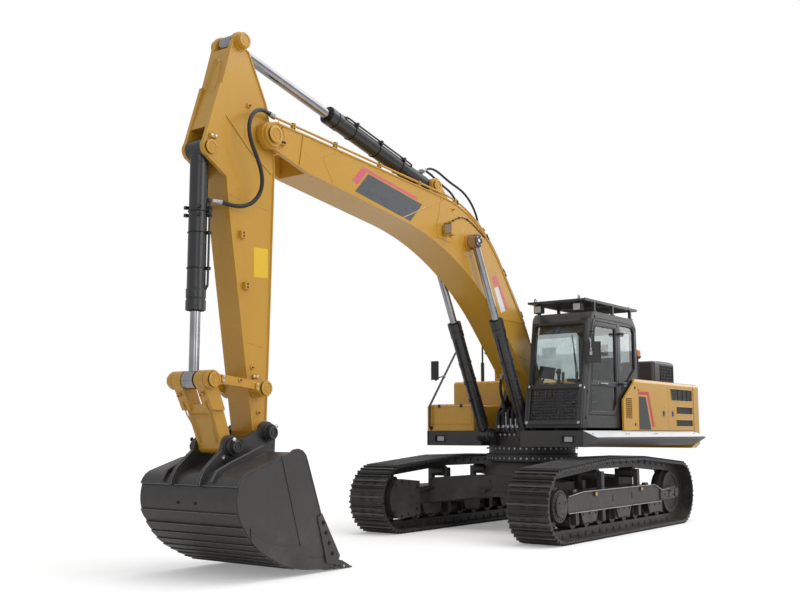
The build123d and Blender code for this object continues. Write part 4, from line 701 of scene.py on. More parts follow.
def splineLine(points):
    curve = bpy.data.curves.new("hoseLine", "CURVE")
    curve.dimensions = "3D"
    curve.resolution_u = 10
    spline = curve.splines.new("NURBS")
    spline.points.add(len(points) - 1)
    for control, spot in zip(spline.points, points):
        control.co = (*spot, 1)
    spline.order_u = 3
    spline.use_endpoint_u = True
    holder = bpy.data.objects.new("hoseLine", curve)
    mesh = bpy.data.meshes.new_from_object(holder)
    line = [vertex.co.copy() for vertex in mesh.vertices]
    bpy.data.objects.remove(holder)
    bpy.data.meshes.remove(mesh)
    return line


def makeHose(word, sign, name, setup):
    line = splineLine([at(x, sign * y, z) for x, y, z in setup["points"]])
    first = 0
    for number, (startBody, endBody, lastPoint) in enumerate(setup["stretches"]):
        last = len(line) - 1
        if lastPoint is not None:
            last = round(lastPoint / (len(setup["points"]) - 1) * last)
        path = line[first:last + 1]
        shape = bmesh.new()
        addSweep(shape, path, setup["radius"])
        piece = finishPiece(f"{word}_{name}_{number}", shape, "hoseRubber", None, "hose_rubber")
        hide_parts(f"{word}_{setup['node']}")
        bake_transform(piece)
        first = last
    # crimped sleeves and hexagons at both ends
    for end, body in ((0, setup["stretches"][0][0]), (-1, setup["stretches"][-1][1])):
        spot, inner = (line[0], line[3]) if end == 0 else (line[-1], line[-4])
        along = (inner - spot).normalized()
        shape = bmesh.new()
        size = setup["radius"]
        addRod(shape, spot, spot + along * size * 1.6, size * 1.5, 6)
        addRod(shape, spot + along * size * 1.6, spot + along * size * 4.4, size * 1.18, 24)
        for step in (2.0, 2.7, 3.4, 4.1):
            addRing(shape, spot + along * size * step, along, size * 1.2, size * 0.12, 24, 6)
        finishPiece(f"{word}_{name}_fitting_{'start' if end == 0 else 'end'}", shape, "steelFitting", body,
                    "rod_chrome")


for word, sign in (("left", 1), ("right", -1)):
    for name, setup in hoseSetup.items():
        makeHose(word, sign, name, setup)
print("hoses made")

# ---- the CAD nodes: finish of each and how wide its edges are rounded, in metres
nodeLooks = {
    "left_track": ("trackSteel", 0.003), "right_track": ("trackSteel", 0.003),
    "track_rollers": ("trackFramePaint", 0.003), "track_frames": ("trackFramePaint", 0.004),
    "final_drives": ("trackFramePaint", 0.003), "idlers": ("trackFramePaint", 0.004),
    "car_body": ("trackFramePaint", 0.005), "swing_bearing_ring": ("trackFramePaint", 0.003),
    "swing_bearing_race": ("trackFramePaint", 0.003), "deck": ("charcoalPaint", 0.004),
    "side_steps": ("charcoalPaint", 0.003), "counterweight": ("ochrePaint", 0.014),
    "quarter_panel": ("ochrePaint", 0.004), "top_panel": ("ochrePaint", 0.006),
    "intake_box": ("charcoalPaint", 0.004), "bulkheads": ("charcoalPaint", 0.002),
    "engine": ("charcoalPaint", 0.006), "fuel_tank": ("ochrePaint", 0.008),
    "toolbox": ("ochrePaint", 0.008), "handrails": ("charcoalPaint", 0.001),
    "antenna": ("blackPlastic", 0.001), "cab_frame": ("charcoalPaint", 0.010),
    "cab_mounts": ("sealRubber", 0.002), "cab_glass": ("cabGlass", 0.0),
    "seat": ("seatCloth", 0.01), "consoles": ("blackPlastic", 0.004),
    "cab_guards": ("charcoalPaint", 0.003), "mirrors": ("blackPlastic", 0.006),
    "house_pins": ("steelFitting", 0.002), "hose_manifold": ("steelFitting", 0.002),
    "left_front_door": ("ochrePaint", 0.003), "left_rear_door": ("ochrePaint", 0.003),
    "right_rear_door": ("ochrePaint", 0.003), "engine_hood": ("ochrePaint", 0.008),
    "cab_door": ("charcoalPaint", 0.006), "cab_door_glass": ("doorGlass", 0.0),
    "boom": ("ochrePaint", 0.004), "boom_pins": ("blackBolt", 0.002),
    "boom_pipes": ("ochrePaint", 0.0), "arm": ("ochrePaint", 0.004),
    "arm_pins": ("blackBolt", 0.002), "bucket": ("bucketPaint", 0.004),
    "bucket_pins": ("blackBolt", 0.002), "bucket_teeth": ("bucketPaint", 0.004),
    "boom_cylinder_barrels": ("cylinderPaint", 0.002), "boom_cylinder_rods": ("chromeRod", 0.002),
    "arm_cylinder_barrel": ("cylinderPaint", 0.002), "arm_cylinder_rod": ("chromeRod", 0.002),
    "bucket_cylinder_barrel": ("cylinderPaint", 0.002), "bucket_cylinder_rod": ("chromeRod", 0.002),
    "side_links": ("ochrePaint", 0.006), "link_pins": ("blackBolt", 0.002),
    "bucket_link": ("ochrePaint", 0.007),
}


# joins the imported faces again and shades them smooth, with sharp edges kept
def buildMergeGroup():
    tree = bpy.data.node_groups.new("joinFaces", "GeometryNodeTree")
    tree.interface.new_socket("Geometry", in_out="INPUT", socket_type="NodeSocketGeometry")
    tree.interface.new_socket("Geometry", in_out="OUTPUT", socket_type="NodeSocketGeometry")
    inside, outside = addNode(tree, "NodeGroupInput"), addNode(tree, "NodeGroupOutput")
    plain = addNode(tree, "GeometryNodeRemoveAttribute")
    plain.inputs["Name"].default_value = "custom_normal"
    merged = addNode(tree, "GeometryNodeMergeByDistance")
    merged.inputs["Distance"].default_value = 0.00002
    faces = addNode(tree, "GeometryNodeSetShadeSmooth", domain="FACE")
    edges = addNode(tree, "GeometryNodeSetShadeSmooth", domain="EDGE")
    angle = addNode(tree, "GeometryNodeInputMeshEdgeAngle")
    shallow = addNode(tree, "FunctionNodeCompare", data_type="FLOAT", operation="LESS_THAN")
    shallow.inputs["B"].default_value = math.radians(35)
    link(tree, inside.outputs[0], plain.inputs["Geometry"])
    link(tree, plain.outputs["Geometry"], merged.inputs["Geometry"])
    link(tree, merged.outputs["Geometry"], faces.inputs["Geometry"])
    link(tree, faces.outputs["Geometry"], edges.inputs["Geometry"])
    link(tree, angle.outputs["Unsigned Angle"], shallow.inputs["A"])
    link(tree, shallow.outputs["Result"], edges.inputs["Shade Smooth"])
    link(tree, edges.outputs["Geometry"], outside.inputs[0])
    return tree


def dressNodes(looks):
    merge = buildMergeGroup()
    for name, (material, width) in looks.items():
        piece = node[name]
        for slot in piece.material_slots:
            slot.material = finish[material]
        join = piece.modifiers.new("joinFaces", "NODES")
        join.node_group = merge
        if width:
            flat = piece.modifiers.new("flatFaces", "DECIMATE")
            flat.decimate_type = "DISSOLVE"
            flat.angle_limit = math.radians(0.05)
            flat.delimit = {"SHARP"}
            soften = piece.modifiers.new("softEdges", "BEVEL")
            soften.width, soften.segments, soften.limit_method = width, 2, "ANGLE"
            soften.angle_limit = math.radians(38)
            soften.harden_normals = True
            soften.use_clamp_overlap = True


dressNodes(nodeLooks)
print("nodes dressed")


# ---- more mesh helpers, for turned, outlined and welded pieces
def addLathe(shape, centre, outward, profile, sides=40):
    turn = frameAlong(outward)
    rows = []
    for radius, height in profile:
        if radius < 1e-6:
            rows.append([shape.verts.new(centre + turn @ Vector((0, 0, height)))])
            continue
        rows.append([shape.verts.new(centre + turn @ Vector((radius * math.cos(2 * math.pi * k / sides),
                                                            radius * math.sin(2 * math.pi * k / sides),
                                                             height)))
                     for k in range(sides)])
    for low, high in zip(rows, rows[1:]):
        for k in range(sides):
            m = (k + 1) % sides
            if len(low) == 1:
                shape.faces.new((low[0], high[k], high[m]))
            elif len(high) == 1:
                shape.faces.new((low[k], low[m], high[0]))
            else:
                shape.faces.new((low[k], low[m], high[m], high[k]))


def arcOutline(rows, steps=14):
    points = []
    for i, (x, z, radius) in enumerate(rows):
        here = Vector((x, z))
        before, after = Vector(rows[i - 1][:2]), Vector(rows[(i + 1) % len(rows)][:2])
        toBefore, toAfter = (before - here).normalized(), (after - here).normalized()
        half = toBefore.angle(toAfter) / 2
        middle = here + (toBefore + toAfter).normalized() * radius / math.sin(half)
        start = here + toBefore * radius / math.tan(half) - middle
        end = here + toAfter * radius / math.tan(half) - middle
        sweep = start.angle_signed(end)
        count = max(2, round(abs(sweep) / 0.09)) if radius < 0.3 else steps
        for k in range(count + 1):
            spin = Matrix.Rotation(-sweep * k / count, 2)
            points.append(tuple(middle + spin @ start))
    return points


def insetOutline(points, inset):
    count = len(points)
    area = sum(points[i - 1][0] * points[i][1] - points[i][0] * points[i - 1][1] for i in range(count))
    side = 1 if area > 0 else -1
    moved = []
    for i, (x, z) in enumerate(points):
        ahead = (Vector(points[(i + 1) % count]) - Vector(points[i - 1])).normalized()
        moved.append((x - ahead.y * side * inset, z + ahead.x * side * inset))
    return moved


def addWeld(shape, points, y, radius, closed=False):
    path = [at(x, y, z) for x, z in points]
    if closed:
        path.append(path[0])
    addSweep(shape, path, radius, 6)


def addPinCap(shape, spot, outward, radius, thick):
    profile = [(0, thick * 0.55), (radius * 0.26, thick * 0.55), (radius * 0.30, thick * 0.8),
               (radius * 0.44, thick * 0.8),
               (radius * 0.48, thick * 0.5), (radius * 0.70, thick * 0.5), (radius * 0.74, thick),
               (radius * 0.92, thick), (radius, thick * 0.8), (radius, 0)]
    addLathe(shape, spot, outward, profile[::-1])


def addGreasePoint(body, caps, spot, outward, size=0.011):
    addLathe(body, spot, outward, [(size * 2.2, 0), (size * 2.0, size * 1.2), (size * 1.1, size * 1.5),
                                   (0, size * 1.5)], 20)
    addLathe(caps, spot + outward * size * 1.4, outward,
             [(size * 0.9, 0), (size, size * 0.6), (size * 0.8, size * 1.5), (0, size * 1.8)], 16)


# ---- boom: seams, bosses' caps, blank panels, lamp and the fittings on its pipes
boomSetup = {
    "outline": ((0.060, 2.150, 0.04), (0.556, 2.985, 0.9), (1.838, 4.529, 2.05), (5.480, 4.781, 0.2),
                (6.040, 4.812, 0.06),
                (6.200, 4.600, 0.06), (6.040, 4.500, 0.06), (5.480, 4.345, 0.3), (2.288, 3.930, 4.3),
                (0.204, 1.916, 0.06), (0.040, 1.890, 0.04)),
    "sideY": 0.238, "flange": 0.016, "weld": 0.007,
    "greyPanel": ((4.373, 4.569), (3.241, 4.396), (3.504, 4.129), (4.629, 4.303)),
    "redStripe": ((4.485, 4.635), (3.349, 4.474), (3.362, 4.432), (4.400, 4.590), (4.575, 4.396),
                  (4.691, 4.427)),
    "whiteBar": ((1.452, 3.495), (1.349, 3.526), (1.145, 3.194), (1.273, 3.153)),
    "pinkBar": ((1.452, 3.520), (1.520, 3.650), (1.390, 3.690), (1.073, 3.247), (1.145, 3.219),
                (1.349, 3.551)),
    "footBand": ((1.300, 3.062), (0.615, 3.050), (0.628, 3.072), (1.318, 3.086)),
    "lowBand": ((0.960, 2.600), (0.560, 2.502), (0.566, 2.522), (0.975, 2.622)),
    "tipRidge": ((5.570, 4.755), (5.450, 4.750), (5.505, 4.362), (5.630, 4.380)),
    "unions": ((1.538, 4.297), (1.108, 3.821), (0.927, 3.640), (0.576, 3.214), (2.350, 4.680)),
    "lamp": (2.728, 0.330, 4.143),
}


def dressBoom(setup):
    welds, plates, caps, bolts, red = (bmesh.new() for _ in range(5))
    rim = insetOutline(arcOutline(setup["outline"]), setup["flange"] + setup["weld"] * 0.4)
    y = setup["sideY"]
    foot, eye, tip, armFoot = (0.100, 2.020), (2.150, 4.060), (6.080, 4.640), (2.780, 4.750)
    for sign in (1, -1):
        out = Vector((0, sign, 0))
        inner = [p for p in rim if p[0] < 5.44]
        split = max(range(len(inner) - 1), key=lambda i: math.dist(inner[i], inner[i + 1]))
        addWeld(welds, inner[split + 1:] + inner[:split + 1], sign * y, setup["weld"])
        for seam in (((0.690, 2.560), (0.560, 2.720), (0.446, 2.780)),
                     ((2.900, 4.045), (2.860, 4.300), (2.800, 4.600)),
                     ((5.000, 4.690), (5.200, 4.605), (5.215, 4.555), (5.040, 4.330))):
            addWeld(welds, seam, sign * y, setup["weld"] * 0.7)
        addWeld(welds, arcPoints(eye, 0.205, -150, 60, 30), sign * y, setup["weld"] * 0.8)
        addRing(welds, at(eye[0], sign * (y + 0.002), eye[1]), out, 0.121, 0.009)
        addWeld(welds, arcPoints(tip, 0.215, 120, 262, 24), sign * y, setup["weld"] * 0.8)
        addRing(welds, at(tip[0], sign * 0.2505, tip[1]), out, 0.131, 0.008)
        addSidePlate(plates, setup["tipRidge"], sign * y, 0.011)
        for band in ("footBand", "lowBand"):
            addSidePlate(plates, setup[band], sign * y, 0.007)
        # plate behind the lamp, and the pads that its bracket is bolted to
        addSidePlate(plates, roundedOutline(((2.560, 4.255), (2.560, 3.990), (2.900, 4.010),
                                             (2.900, 4.280)), 0.03),
                     sign * y, 0.006)
        # caps and keepers at the pins
        addPinCap(caps, at(tip[0], sign * 0.308, tip[1]), out, 0.094, 0.016)
        addPinCap(caps, at(foot[0], sign * 0.353, foot[1]), out, 0.094, 0.014)
        addPinCap(caps, at(armFoot[0], sign * 0.173, armFoot[1]), out, 0.082, 0.014)
        addBox(plates, at(tip[0] - 0.165, sign * 0.262, tip[1] - 0.045), (0.075, 0.024, 0.055))
        for dx in (-0.182, -0.148):
            addBolt(bolts, at(tip[0] + dx, sign * 0.274, tip[1] - 0.045), out, 0.013)
        for dx in (-0.03, 0.03):
            addBolt(bolts, at(foot[0] + dx * 4.4, sign * 0.335, foot[1] + 0.03), out, 0.012)
        addGreasePoint(plates, red, at(tip[0] - 0.135, sign * 0.250, tip[1] + 0.115), out)
        addGreasePoint(plates, red, at(2.52, sign * 0.238, 4.46), out)
    finishPieces(
        "boom",
        ("boomWelds", welds, "ochrePaint", "body_paint"),
        ("boomPlates", plates, "ochrePaint", "body_paint", 0.0015),
        ("boomPinCaps", caps, "ochrePaint", "body_paint"),
        ("boomBolts", bolts, "blackBolt", "dark_paint"),
        ("boomGreaseCaps", red, "greaseCapRed", "console_plastic"))
    for name, material in (("greyPanel", "panelGrey"), ("redStripe", "stripePink"),
                           ("whiteBar", "labelWhite"),
                           ("pinkBar", "stripePink")):
        shape = bmesh.new()
        for sign in (1, -1):
            addSidePlate(shape, roundedOutline(setup[name], 0.008, 3), sign * y, 0.0016)
        finishPiece("boom_" + name, shape, material, "boom", "body_paint", 0.0004)
    print("boom plates and seams")


# eye of each lifting cylinder: black cap with a red seal ring and a chrome bolt circle
def dressBoomEyes():
    caps, seals, bolts = (bmesh.new() for _ in range(3))
    for sign in (1, -1):
        out = Vector((0, sign, 0))
        spot = at(2.150, sign * 0.410, 4.060)
        addLathe(caps, spot, out, [(0.090, 0), (0.090, 0.014), (0.084, 0.020), (0.050, 0.020),
                                   (0.046, 0.014), (0, 0.014)])
        addRing(seals, at(2.150, sign * 0.409, 4.060), out, 0.092, 0.006)
        addRing(seals, at(2.150, sign * 0.297, 4.060), out, 0.098, 0.007)
        for k in range(4):
            a = math.radians(45 + 90 * k)
            addBolt(bolts, spot + out * 0.019 + Vector((0.066 * math.cos(a), 0, 0.066 * math.sin(a))), out,
                    0.010)
        addLathe(bolts, spot + out * 0.014, out, [(0.026, 0), (0.026, 0.006), (0.020, 0.010), (0, 0.010)],
                 24)
    finishPieces(
        "boom_rods",
        ("liftEyeCaps", caps, "cylinderPaint", "cylinder_paint", 0.001),
        ("liftEyeSeals", seals, "greaseCapRed", "hose_rubber"),
        ("liftEyeBolts", bolts, "zincBolt", "rod_chrome"))


# work lamp in its box on each side of the boom, with its cable clipped along the side plate
def makeBoomLamps(setup):
    box, glass, wire, clips = (bmesh.new() for _ in range(4))
    x, y, z = setup["lamp"]
    for sign in (1, -1):
        spot = at(x, sign * y, z)
        addBox(box, spot, (0.070, 0.120, 0.150))
        addBox(box, spot + Vector((0.042, sign * 0.062, 0)), (0.030, 0.008, 0.166))
        addBox(box, spot + Vector((0.042, -sign * 0.062, 0)), (0.030, 0.008, 0.166))
        addBox(box, spot + Vector((0.042, 0, 0.079)), (0.030, 0.128, 0.008))
        addBox(box, spot + Vector((0, -sign * 0.02, -0.083)), (0.110, 0.170, 0.010))
        addBox(box, spot + Vector((-0.010, -sign * 0.074, -0.03)), (0.060, 0.036, 0.090))
        for row in (-0.045, -0.015, 0.015, 0.045):
            addBox(glass, spot + Vector((0.038, 0, row)), (0.010, 0.100, 0.026))
        line = splineLine([at(cx, sign * 0.2455, cz) for cx, cz in
                           ((2.690, 4.225), (2.640, 4.262), (2.588, 4.267), (2.506, 4.311), (2.380, 4.370),
                            (2.214, 4.396),
                            (2.020, 4.340), (1.828, 4.254), (1.700, 4.190))])
        addSweep(wire, line, 0.006, 8)
        for index in (12, 26, 40, 54):
            if index < len(line):
                addBox(clips, line[index], (0.024, 0.018, 0.024))
        addRod(wire, spot + Vector((-0.036, 0, 0.03)), spot + Vector((-0.060, 0, 0.045)), 0.012, 12)
        addRing(clips, spot + Vector((0.03, sign * 0.03, -0.112)), alongX, 0.016, 0.004, 20, 6)
    finishPieces(
        "boom",
        ("boomLampBoxes", box, "ochrePaint", "body_paint", 0.003),
        ("boomLampLenses", glass, "lampLens", "tinted_glass", 0.003),
        ("boomLampCables", wire, "sealRubber", "hose_rubber"),
        ("boomLampClips", clips, "blackBolt", "dark_paint", 0.002))


# black unions on the pipes, and a pair of bolts on each clamp
def dressBoomPipes(setup):
    unions, bolts = bmesh.new(), bmesh.new()
    corners = [v.co for v in node["boom_pipes"].data.vertices if abs(abs(v.co.y) - 0.227) < 0.0008]
    groups = []
    for spot in sorted(corners, key=lambda c: c.x):
        for group in groups:
            if (group[0] - spot).length < 0.13:
                group.append(spot)
                break
        else:
            groups.append([spot])
    for group in groups:
        sign = 1 if group[0].y > 0 else -1
        middle = sum(group, Vector()) / len(group)
        far = max(group, key=lambda c: (c - middle).length)
        other = min(group, key=lambda c: abs((c - far).length - 0.082))
        up = (far - other).normalized()
        up = up if up.z > 0 or abs(up.z) < 0.2 and up.x < 0 else -up
        out = Vector((0, sign, 0))
        for lift in (0.012, -0.018):
            addBolt(bolts, middle + up * lift, out, 0.008)
        top = middle + up * 0.041
        addBox(bolts, Vector((top.x, sign * 0.205, top.z)), (0.044, 0.05, 0.006), frameAlong(up))
    for x, z in setup["unions"]:
        for sign in (1, -1):
            near = min((v.co for v in node["boom_pipes"].data.vertices if v.co.y * sign > 0),
                       key=lambda c: (c - at(x, sign * 0.205, z)).length)
            ring = [v.co for v in node["boom_pipes"].data.vertices
                    if (v.co - near).length < 0.032 and v.co.y * sign > 0]
            spot = sum(ring, Vector()) / len(ring)
            spot.y = sign * 0.205
            ahead = Vector((0.63, 0, 0.77)) if x < 1.7 else Vector((0.97, 0, 0.24))
            addRod(unions, spot - ahead * 0.045, spot - ahead * 0.012, 0.023, 6)
            addRod(unions, spot - ahead * 0.012, spot + ahead * 0.012, 0.019, 20)
            addRod(unions, spot + ahead * 0.012, spot + ahead * 0.045, 0.023, 6)
    finishPieces(
        "boom",
        ("boomPipeUnions", unions, "blackBolt", "dark_paint", 0.001),
        ("boomPipeBolts", bolts, "blackBolt", "dark_paint", 0.001))


dressBoom(boomSetup)
dressBoomEyes()
makeBoomLamps(boomSetup)
dressBoomPipes(boomSetup)


# ---- arm: seams, doubler plates, clamp blocks, caps, grease points and a blank label
armSetup = {
    "outline": ((6.590, 5.620, 0.04), (6.762, 4.967, 0.3), (6.600, 3.750, 0.9), (6.185, 1.400, 0.06),
                (5.990, 1.400, 0.06),
                (5.962, 2.500, 0.9), (5.925, 4.349, 0.9), (6.061, 4.989, 0.5), (6.350, 5.520, 0.04)),
    "sideY": 0.146, "flange": 0.016, "weld": 0.006,
    "diagonal": ((6.690, 4.802), (6.687, 4.748), (6.336, 4.450), (5.968, 4.232), (5.950, 4.292),
                 (6.289, 4.462)),
    "clampBlocks": ((6.406, 3.499), (6.335, 2.962)),
    "label": ((6.215, 3.393), (6.002, 3.403), (5.994, 3.086), (6.206, 3.070)),
    "seams": (((6.020, 2.330), (6.300, 2.370)), ((5.985, 3.830), (6.585, 3.900))),
}


def dressArm(setup):
    welds, plates, caps, bolts, red, zinc = (bmesh.new() for _ in range(6))
    rim = insetOutline(arcOutline(setup["outline"]), setup["flange"] + setup["weld"] * 0.4)
    y = setup["sideY"]
    tip, side = (6.080, 4.640), (6.150, 1.890)
    head, eye = (6.880, 4.340), (6.480, 5.600)
    for sign in (1, -1):
        out = Vector((0, sign, 0))
        addWeld(welds, [p for p in rim if p[1] > 1.44][:-1], sign * y, setup["weld"])
        for seam in setup["seams"]:
            addWeld(welds, seam, sign * y, setup["weld"] * 0.7)
        addSidePlate(plates, setup["diagonal"], sign * y, 0.010)
        addWeld(welds, arcPoints(tip, 0.310, -60, 75, 30), sign * y, setup["weld"] * 0.7)
        addRing(welds, at(tip[0], sign * (y + 0.014), tip[1]), out, 0.131, 0.009)
        addRing(welds, at(side[0], sign * (y + 0.013), side[1]), out, 0.096, 0.008)
        addRing(welds, at(eye[0], sign * (y + 0.013), eye[1]), out, 0.089, 0.007)
        for x, z in setup["clampBlocks"]:
            addBox(plates, at(x, sign * (y + 0.022), z), (0.070, 0.046, 0.075))
            for dz in (-0.017, 0.017):
                addBolt(bolts, at(x, sign * (y + 0.045), z + dz), out, 0.009)
        addPinCap(caps, at(eye[0], sign * 0.215, eye[1]), out, 0.078, 0.014)
        addPinCap(caps, at(head[0], sign * 0.178, head[1]), out, 0.074, 0.012)
        addPinCap(caps, at(side[0], sign * 0.306, side[1]), out, 0.077, 0.014)
        # keeper block with two bolts above the cylinder head's pin
        addBox(plates, at(head[0] - 0.02, sign * 0.176, head[1] + 0.118), (0.095, 0.032, 0.040))
        for dx in (-0.048, 0.008):
            addBolt(zinc, at(head[0] + dx, sign * 0.192, head[1] + 0.118), out, 0.014)
        addBox(plates, at(side[0] + 0.02, sign * 0.158, side[1] + 0.125), (0.080, 0.024, 0.036))
        for dx in (-0.004, 0.044):
            addBolt(zinc, at(side[0] + dx, sign * 0.170, side[1] + 0.125), out, 0.012)
        addGreasePoint(plates, red, at(6.338, sign * y, 4.923), out, 0.014)
        addGreasePoint(plates, red, at(6.215, sign * y, 2.110), out, 0.011)
        addGreasePoint(plates, red, at(6.110, sign * y, 1.640), out, 0.011)
    # embossed loop and edge beads on the sloping front plate
    up = Vector((-0.172, 0, 0.653)).normalized()
    foot = at(6.775, 0, 4.985)
    corners = ((0.04, -0.085), (0.34, -0.062), (0.395, -0.03), (0.41, 0.0), (0.395, 0.03), (0.34, 0.062),
               (0.04, 0.085))
    loop = [foot + up * along + Vector((0.003, across, 0)) for along, across in corners]
    addSweep(welds, splineLine(loop), 0.006, 6)
    finishPieces(
        "arm",
        ("armWelds", welds, "ochrePaint", "body_paint"),
        ("armPlates", plates, "ochrePaint", "body_paint", 0.002),
        ("armPinCaps", caps, "ochrePaint", "body_paint"),
        ("armBolts", bolts, "blackBolt", "dark_paint"),
        ("armKeeperBolts", zinc, "zincBolt", "rod_chrome"),
        ("armGreaseCaps", red, "greaseCapRed", "console_plastic"))
    label = bmesh.new()
    for sign in (1, -1):
        addSidePlate(label, roundedOutline(setup["label"], 0.012, 3), sign * y, 0.0016)
    finishPiece("armLabel", label, "labelYellow", "arm", "body_paint", 0.0004)
    print("arm plates and seams")


dressArm(armSetup)


# ---- cylinders: gland rings and bolts, ports, side pipes with their clamps
cylinderSetup = {
    "boom_barrels": {"foot": (0.790, 1.400), "eye": (2.150, 4.060), "rows": (0.355, -0.355),
                     "barrel": 0.092, "rod": 0.052,
                     "closed": 2.060, "pipeSide": 1, "clamps": (0.62, 0.90, 1.18)},
    "arm_barrel": {"foot": (2.780, 4.750), "eye": (6.480, 5.600), "rows": (0.0,), "barrel": 0.104,
                   "rod": 0.060,
                   "closed": 2.400, "pipeSide": 0, "clamps": (0.70, 1.20, 1.70)},
    "bucket_barrel": {"foot": (6.880, 4.340), "eye": (6.880, 1.955), "rows": (0.0,), "barrel": 0.095,
                      "rod": 0.052,
                      "closed": 1.930, "pipeSide": 0, "clamps": (0.66, 0.88, 1.25)},
}


def dressCylinder(body, setup):
    steel, bolts, wiper, pipe = (bmesh.new() for _ in range(4))
    footPoint, eyePoint = setup["foot"], setup["eye"]
    ahead = Vector((eyePoint[0] - footPoint[0], 0, eyePoint[1] - footPoint[1])).normalized()
    above = Vector((-ahead.z, 0, ahead.x))
    gland = setup["closed"] - 0.250
    for y in setup["rows"]:
        base = at(footPoint[0], y, footPoint[1])
        barrel = setup["barrel"]
        addRing(steel, base + ahead * (gland - 0.212), ahead, barrel + 0.002, 0.007, 48, 8)
        addRing(steel, base + ahead * (gland - 0.118), ahead, barrel - 0.001, 0.006, 48, 8)
        for k in range(10):
            a = 2 * math.pi * k / 10
            rim = alongY * math.cos(a) + above * math.sin(a)
            addBolt(bolts, base + ahead * gland + rim * (barrel - 0.014), ahead, 0.010)
        addRing(wiper, base + ahead * (gland + 0.004), ahead, setup["rod"] + 0.010, 0.008, 40, 8)
        addRing(steel, base + ahead * 0.150, ahead, barrel - 0.003, 0.006, 48, 8)
        # feed pipe along the barrel from the rear port to the gland, on clamps
        sides = (1, -1) if setup["pipeSide"] == 0 else (1 if y > 0 else -1,)
        for side in sides:
            lean = 0.62 if setup["pipeSide"] == 0 else 0.0
            rise = -above if body == "bucket_barrel" else above
            off = -above
            if setup["pipeSide"] == 0:
                off = Vector((0, side, 0)) * math.cos(lean) + rise * math.sin(lean)
            reach = barrel + 0.018
            startAt = 0.52 if setup["pipeSide"] == 0 else 0.34
            route = [base + ahead * startAt + off * (barrel - 0.01),
                     base + ahead * startAt + off * reach * 1.02,
                     base + ahead * (startAt + 0.05) + off * (reach + 0.006),
                     base + ahead * (startAt + 0.16) + off * (reach + 0.006),
                     base + ahead * (gland - 0.36) + off * (reach + 0.006),
                     base + ahead * (gland - 0.26) + off * (reach + 0.004),
                     base + ahead * (gland - 0.235) + off * reach,
                     base + ahead * (gland - 0.235) + off * (barrel - 0.01)]
            addSweep(pipe, splineLine(route), 0.012, 12)
            addRod(steel, base + ahead * (gland - 0.235) + off * (barrel - 0.012),
                   base + ahead * (gland - 0.235) + off * (barrel + 0.014), 0.024, 20)
            for place in setup["clamps"]:
                addRing(steel, base + ahead * place, ahead, barrel + 0.004, 0.006, 48, 6)
                hold = base + ahead * place + off * (barrel + 0.020)
                addBox(steel, hold, (0.040, 0.050, 0.034), frameAlong(ahead))
                addBolt(bolts, hold + off * 0.016, off, 0.010)
        if body == "bucket_barrel":
            for place in (0.62, 0.70):
                for side in (1, -1):
                    for rise in (1, -1):
                        spot = base + ahead * place + Vector((rise * 0.072, side * 0.098, 0))
                        addBox(steel, spot, (0.040, 0.036, 0.034))
                        addBolt(bolts, spot + Vector((0, side * 0.018, 0)), Vector((0, side, 0)), 0.011)
    finishPieces(
        body,
        (body + "_glandRings", steel, "cylinderPaint", "cylinder_paint", 0.001),
        (body + "_bolts", bolts, "blackBolt", "dark_paint"),
        (body + "_rodWipers", wiper, "sealRubber", "hose_rubber"),
        (body + "_feedPipes", pipe, "cylinderPaint", "cylinder_paint"))


for body, setup in cylinderSetup.items():
    dressCylinder(body, setup)
print("cylinders dressed")


# ---- bucket linkage: caps, keepers and grease points
linkSetup = {"links": ((6.150, 1.890), (6.880, 1.955)), "outerY": 0.288}


def dressLinkage(setup):
    caps, keepers, bolts, red, welds = (bmesh.new() for _ in range(5))
    for sign in (1, -1):
        out = Vector((0, sign, 0))
        x, z = setup["links"][1]
        addPinCap(caps, at(x, sign * 0.306, z), out, 0.077, 0.014)
        for cx, cz in setup["links"]:
            addRing(welds, at(cx, sign * (setup["outerY"] + 0.001), cz), out, 0.080, 0.004)
        for cx, cz, step in ((6.150, 1.890, 1), (6.880, 1.955, -1)):
            addBox(keepers, at(cx + step * 0.125, sign * (setup["outerY"] + 0.009), cz + 0.012),
                   (0.050, 0.018, 0.066))
            for dz in (-0.018, 0.030):
                addBolt(bolts, at(cx + step * 0.125, sign * (setup["outerY"] + 0.018), cz + dz + 0.006),
                        out, 0.011)
        addGreasePoint(keepers, red, at(6.520, sign * setup["outerY"], 1.960), out, 0.011)
    finishPieces(
        "side_links",
        ("sideLinkCaps", caps, "ochrePaint", "body_paint"),
        ("sideLinkKeepers", keepers, "ochrePaint", "body_paint", 0.002),
        ("sideLinkBolts", bolts, "zincBolt", "rod_chrome"),
        ("sideLinkGreaseCaps", red, "greaseCapRed", "console_plastic"),
        ("sideLinkWelds", welds, "ochrePaint", "body_paint"))
    # the link down to the bucket has a pocket rib and its own grease points on the front
    ribs, reds = bmesh.new(), bmesh.new()
    down = Vector((-0.32, 0, -0.665)).normalized()
    front = Vector((-down.z, 0, down.x)) * -1
    front = front if front.x > 0 else -front
    top = at(6.880, 0, 1.955)
    for sign in (1, -1):
        line = [top + down * d + front * f + Vector((0, sign * w, 0)) for d, f, w in
                ((0.20, 0.091, 0.164), (0.34, 0.084, 0.164), (0.50, 0.079, 0.120), (0.66, 0.074, 0.120))]
        addSweep(ribs, line, 0.007, 6)
        addGreasePoint(ribs, reds, top + down * 0.12 + front * 0.094 + Vector((0, sign * 0.164, 0)), front,
                       0.011)
    cross = [top + down * 0.36 + front * 0.084 + Vector((0, w, 0)) for w in (-0.16, 0, 0.16)]
    addSweep(ribs, cross, 0.007, 6)
    finishPieces(
        "bucket_link",
        ("bucketLinkRibs", ribs, "ochrePaint", "body_paint"),
        ("bucketLinkGreaseCaps", reds, "greaseCapRed", "console_plastic"))


dressLinkage(linkSetup)
print("linkage dressed")


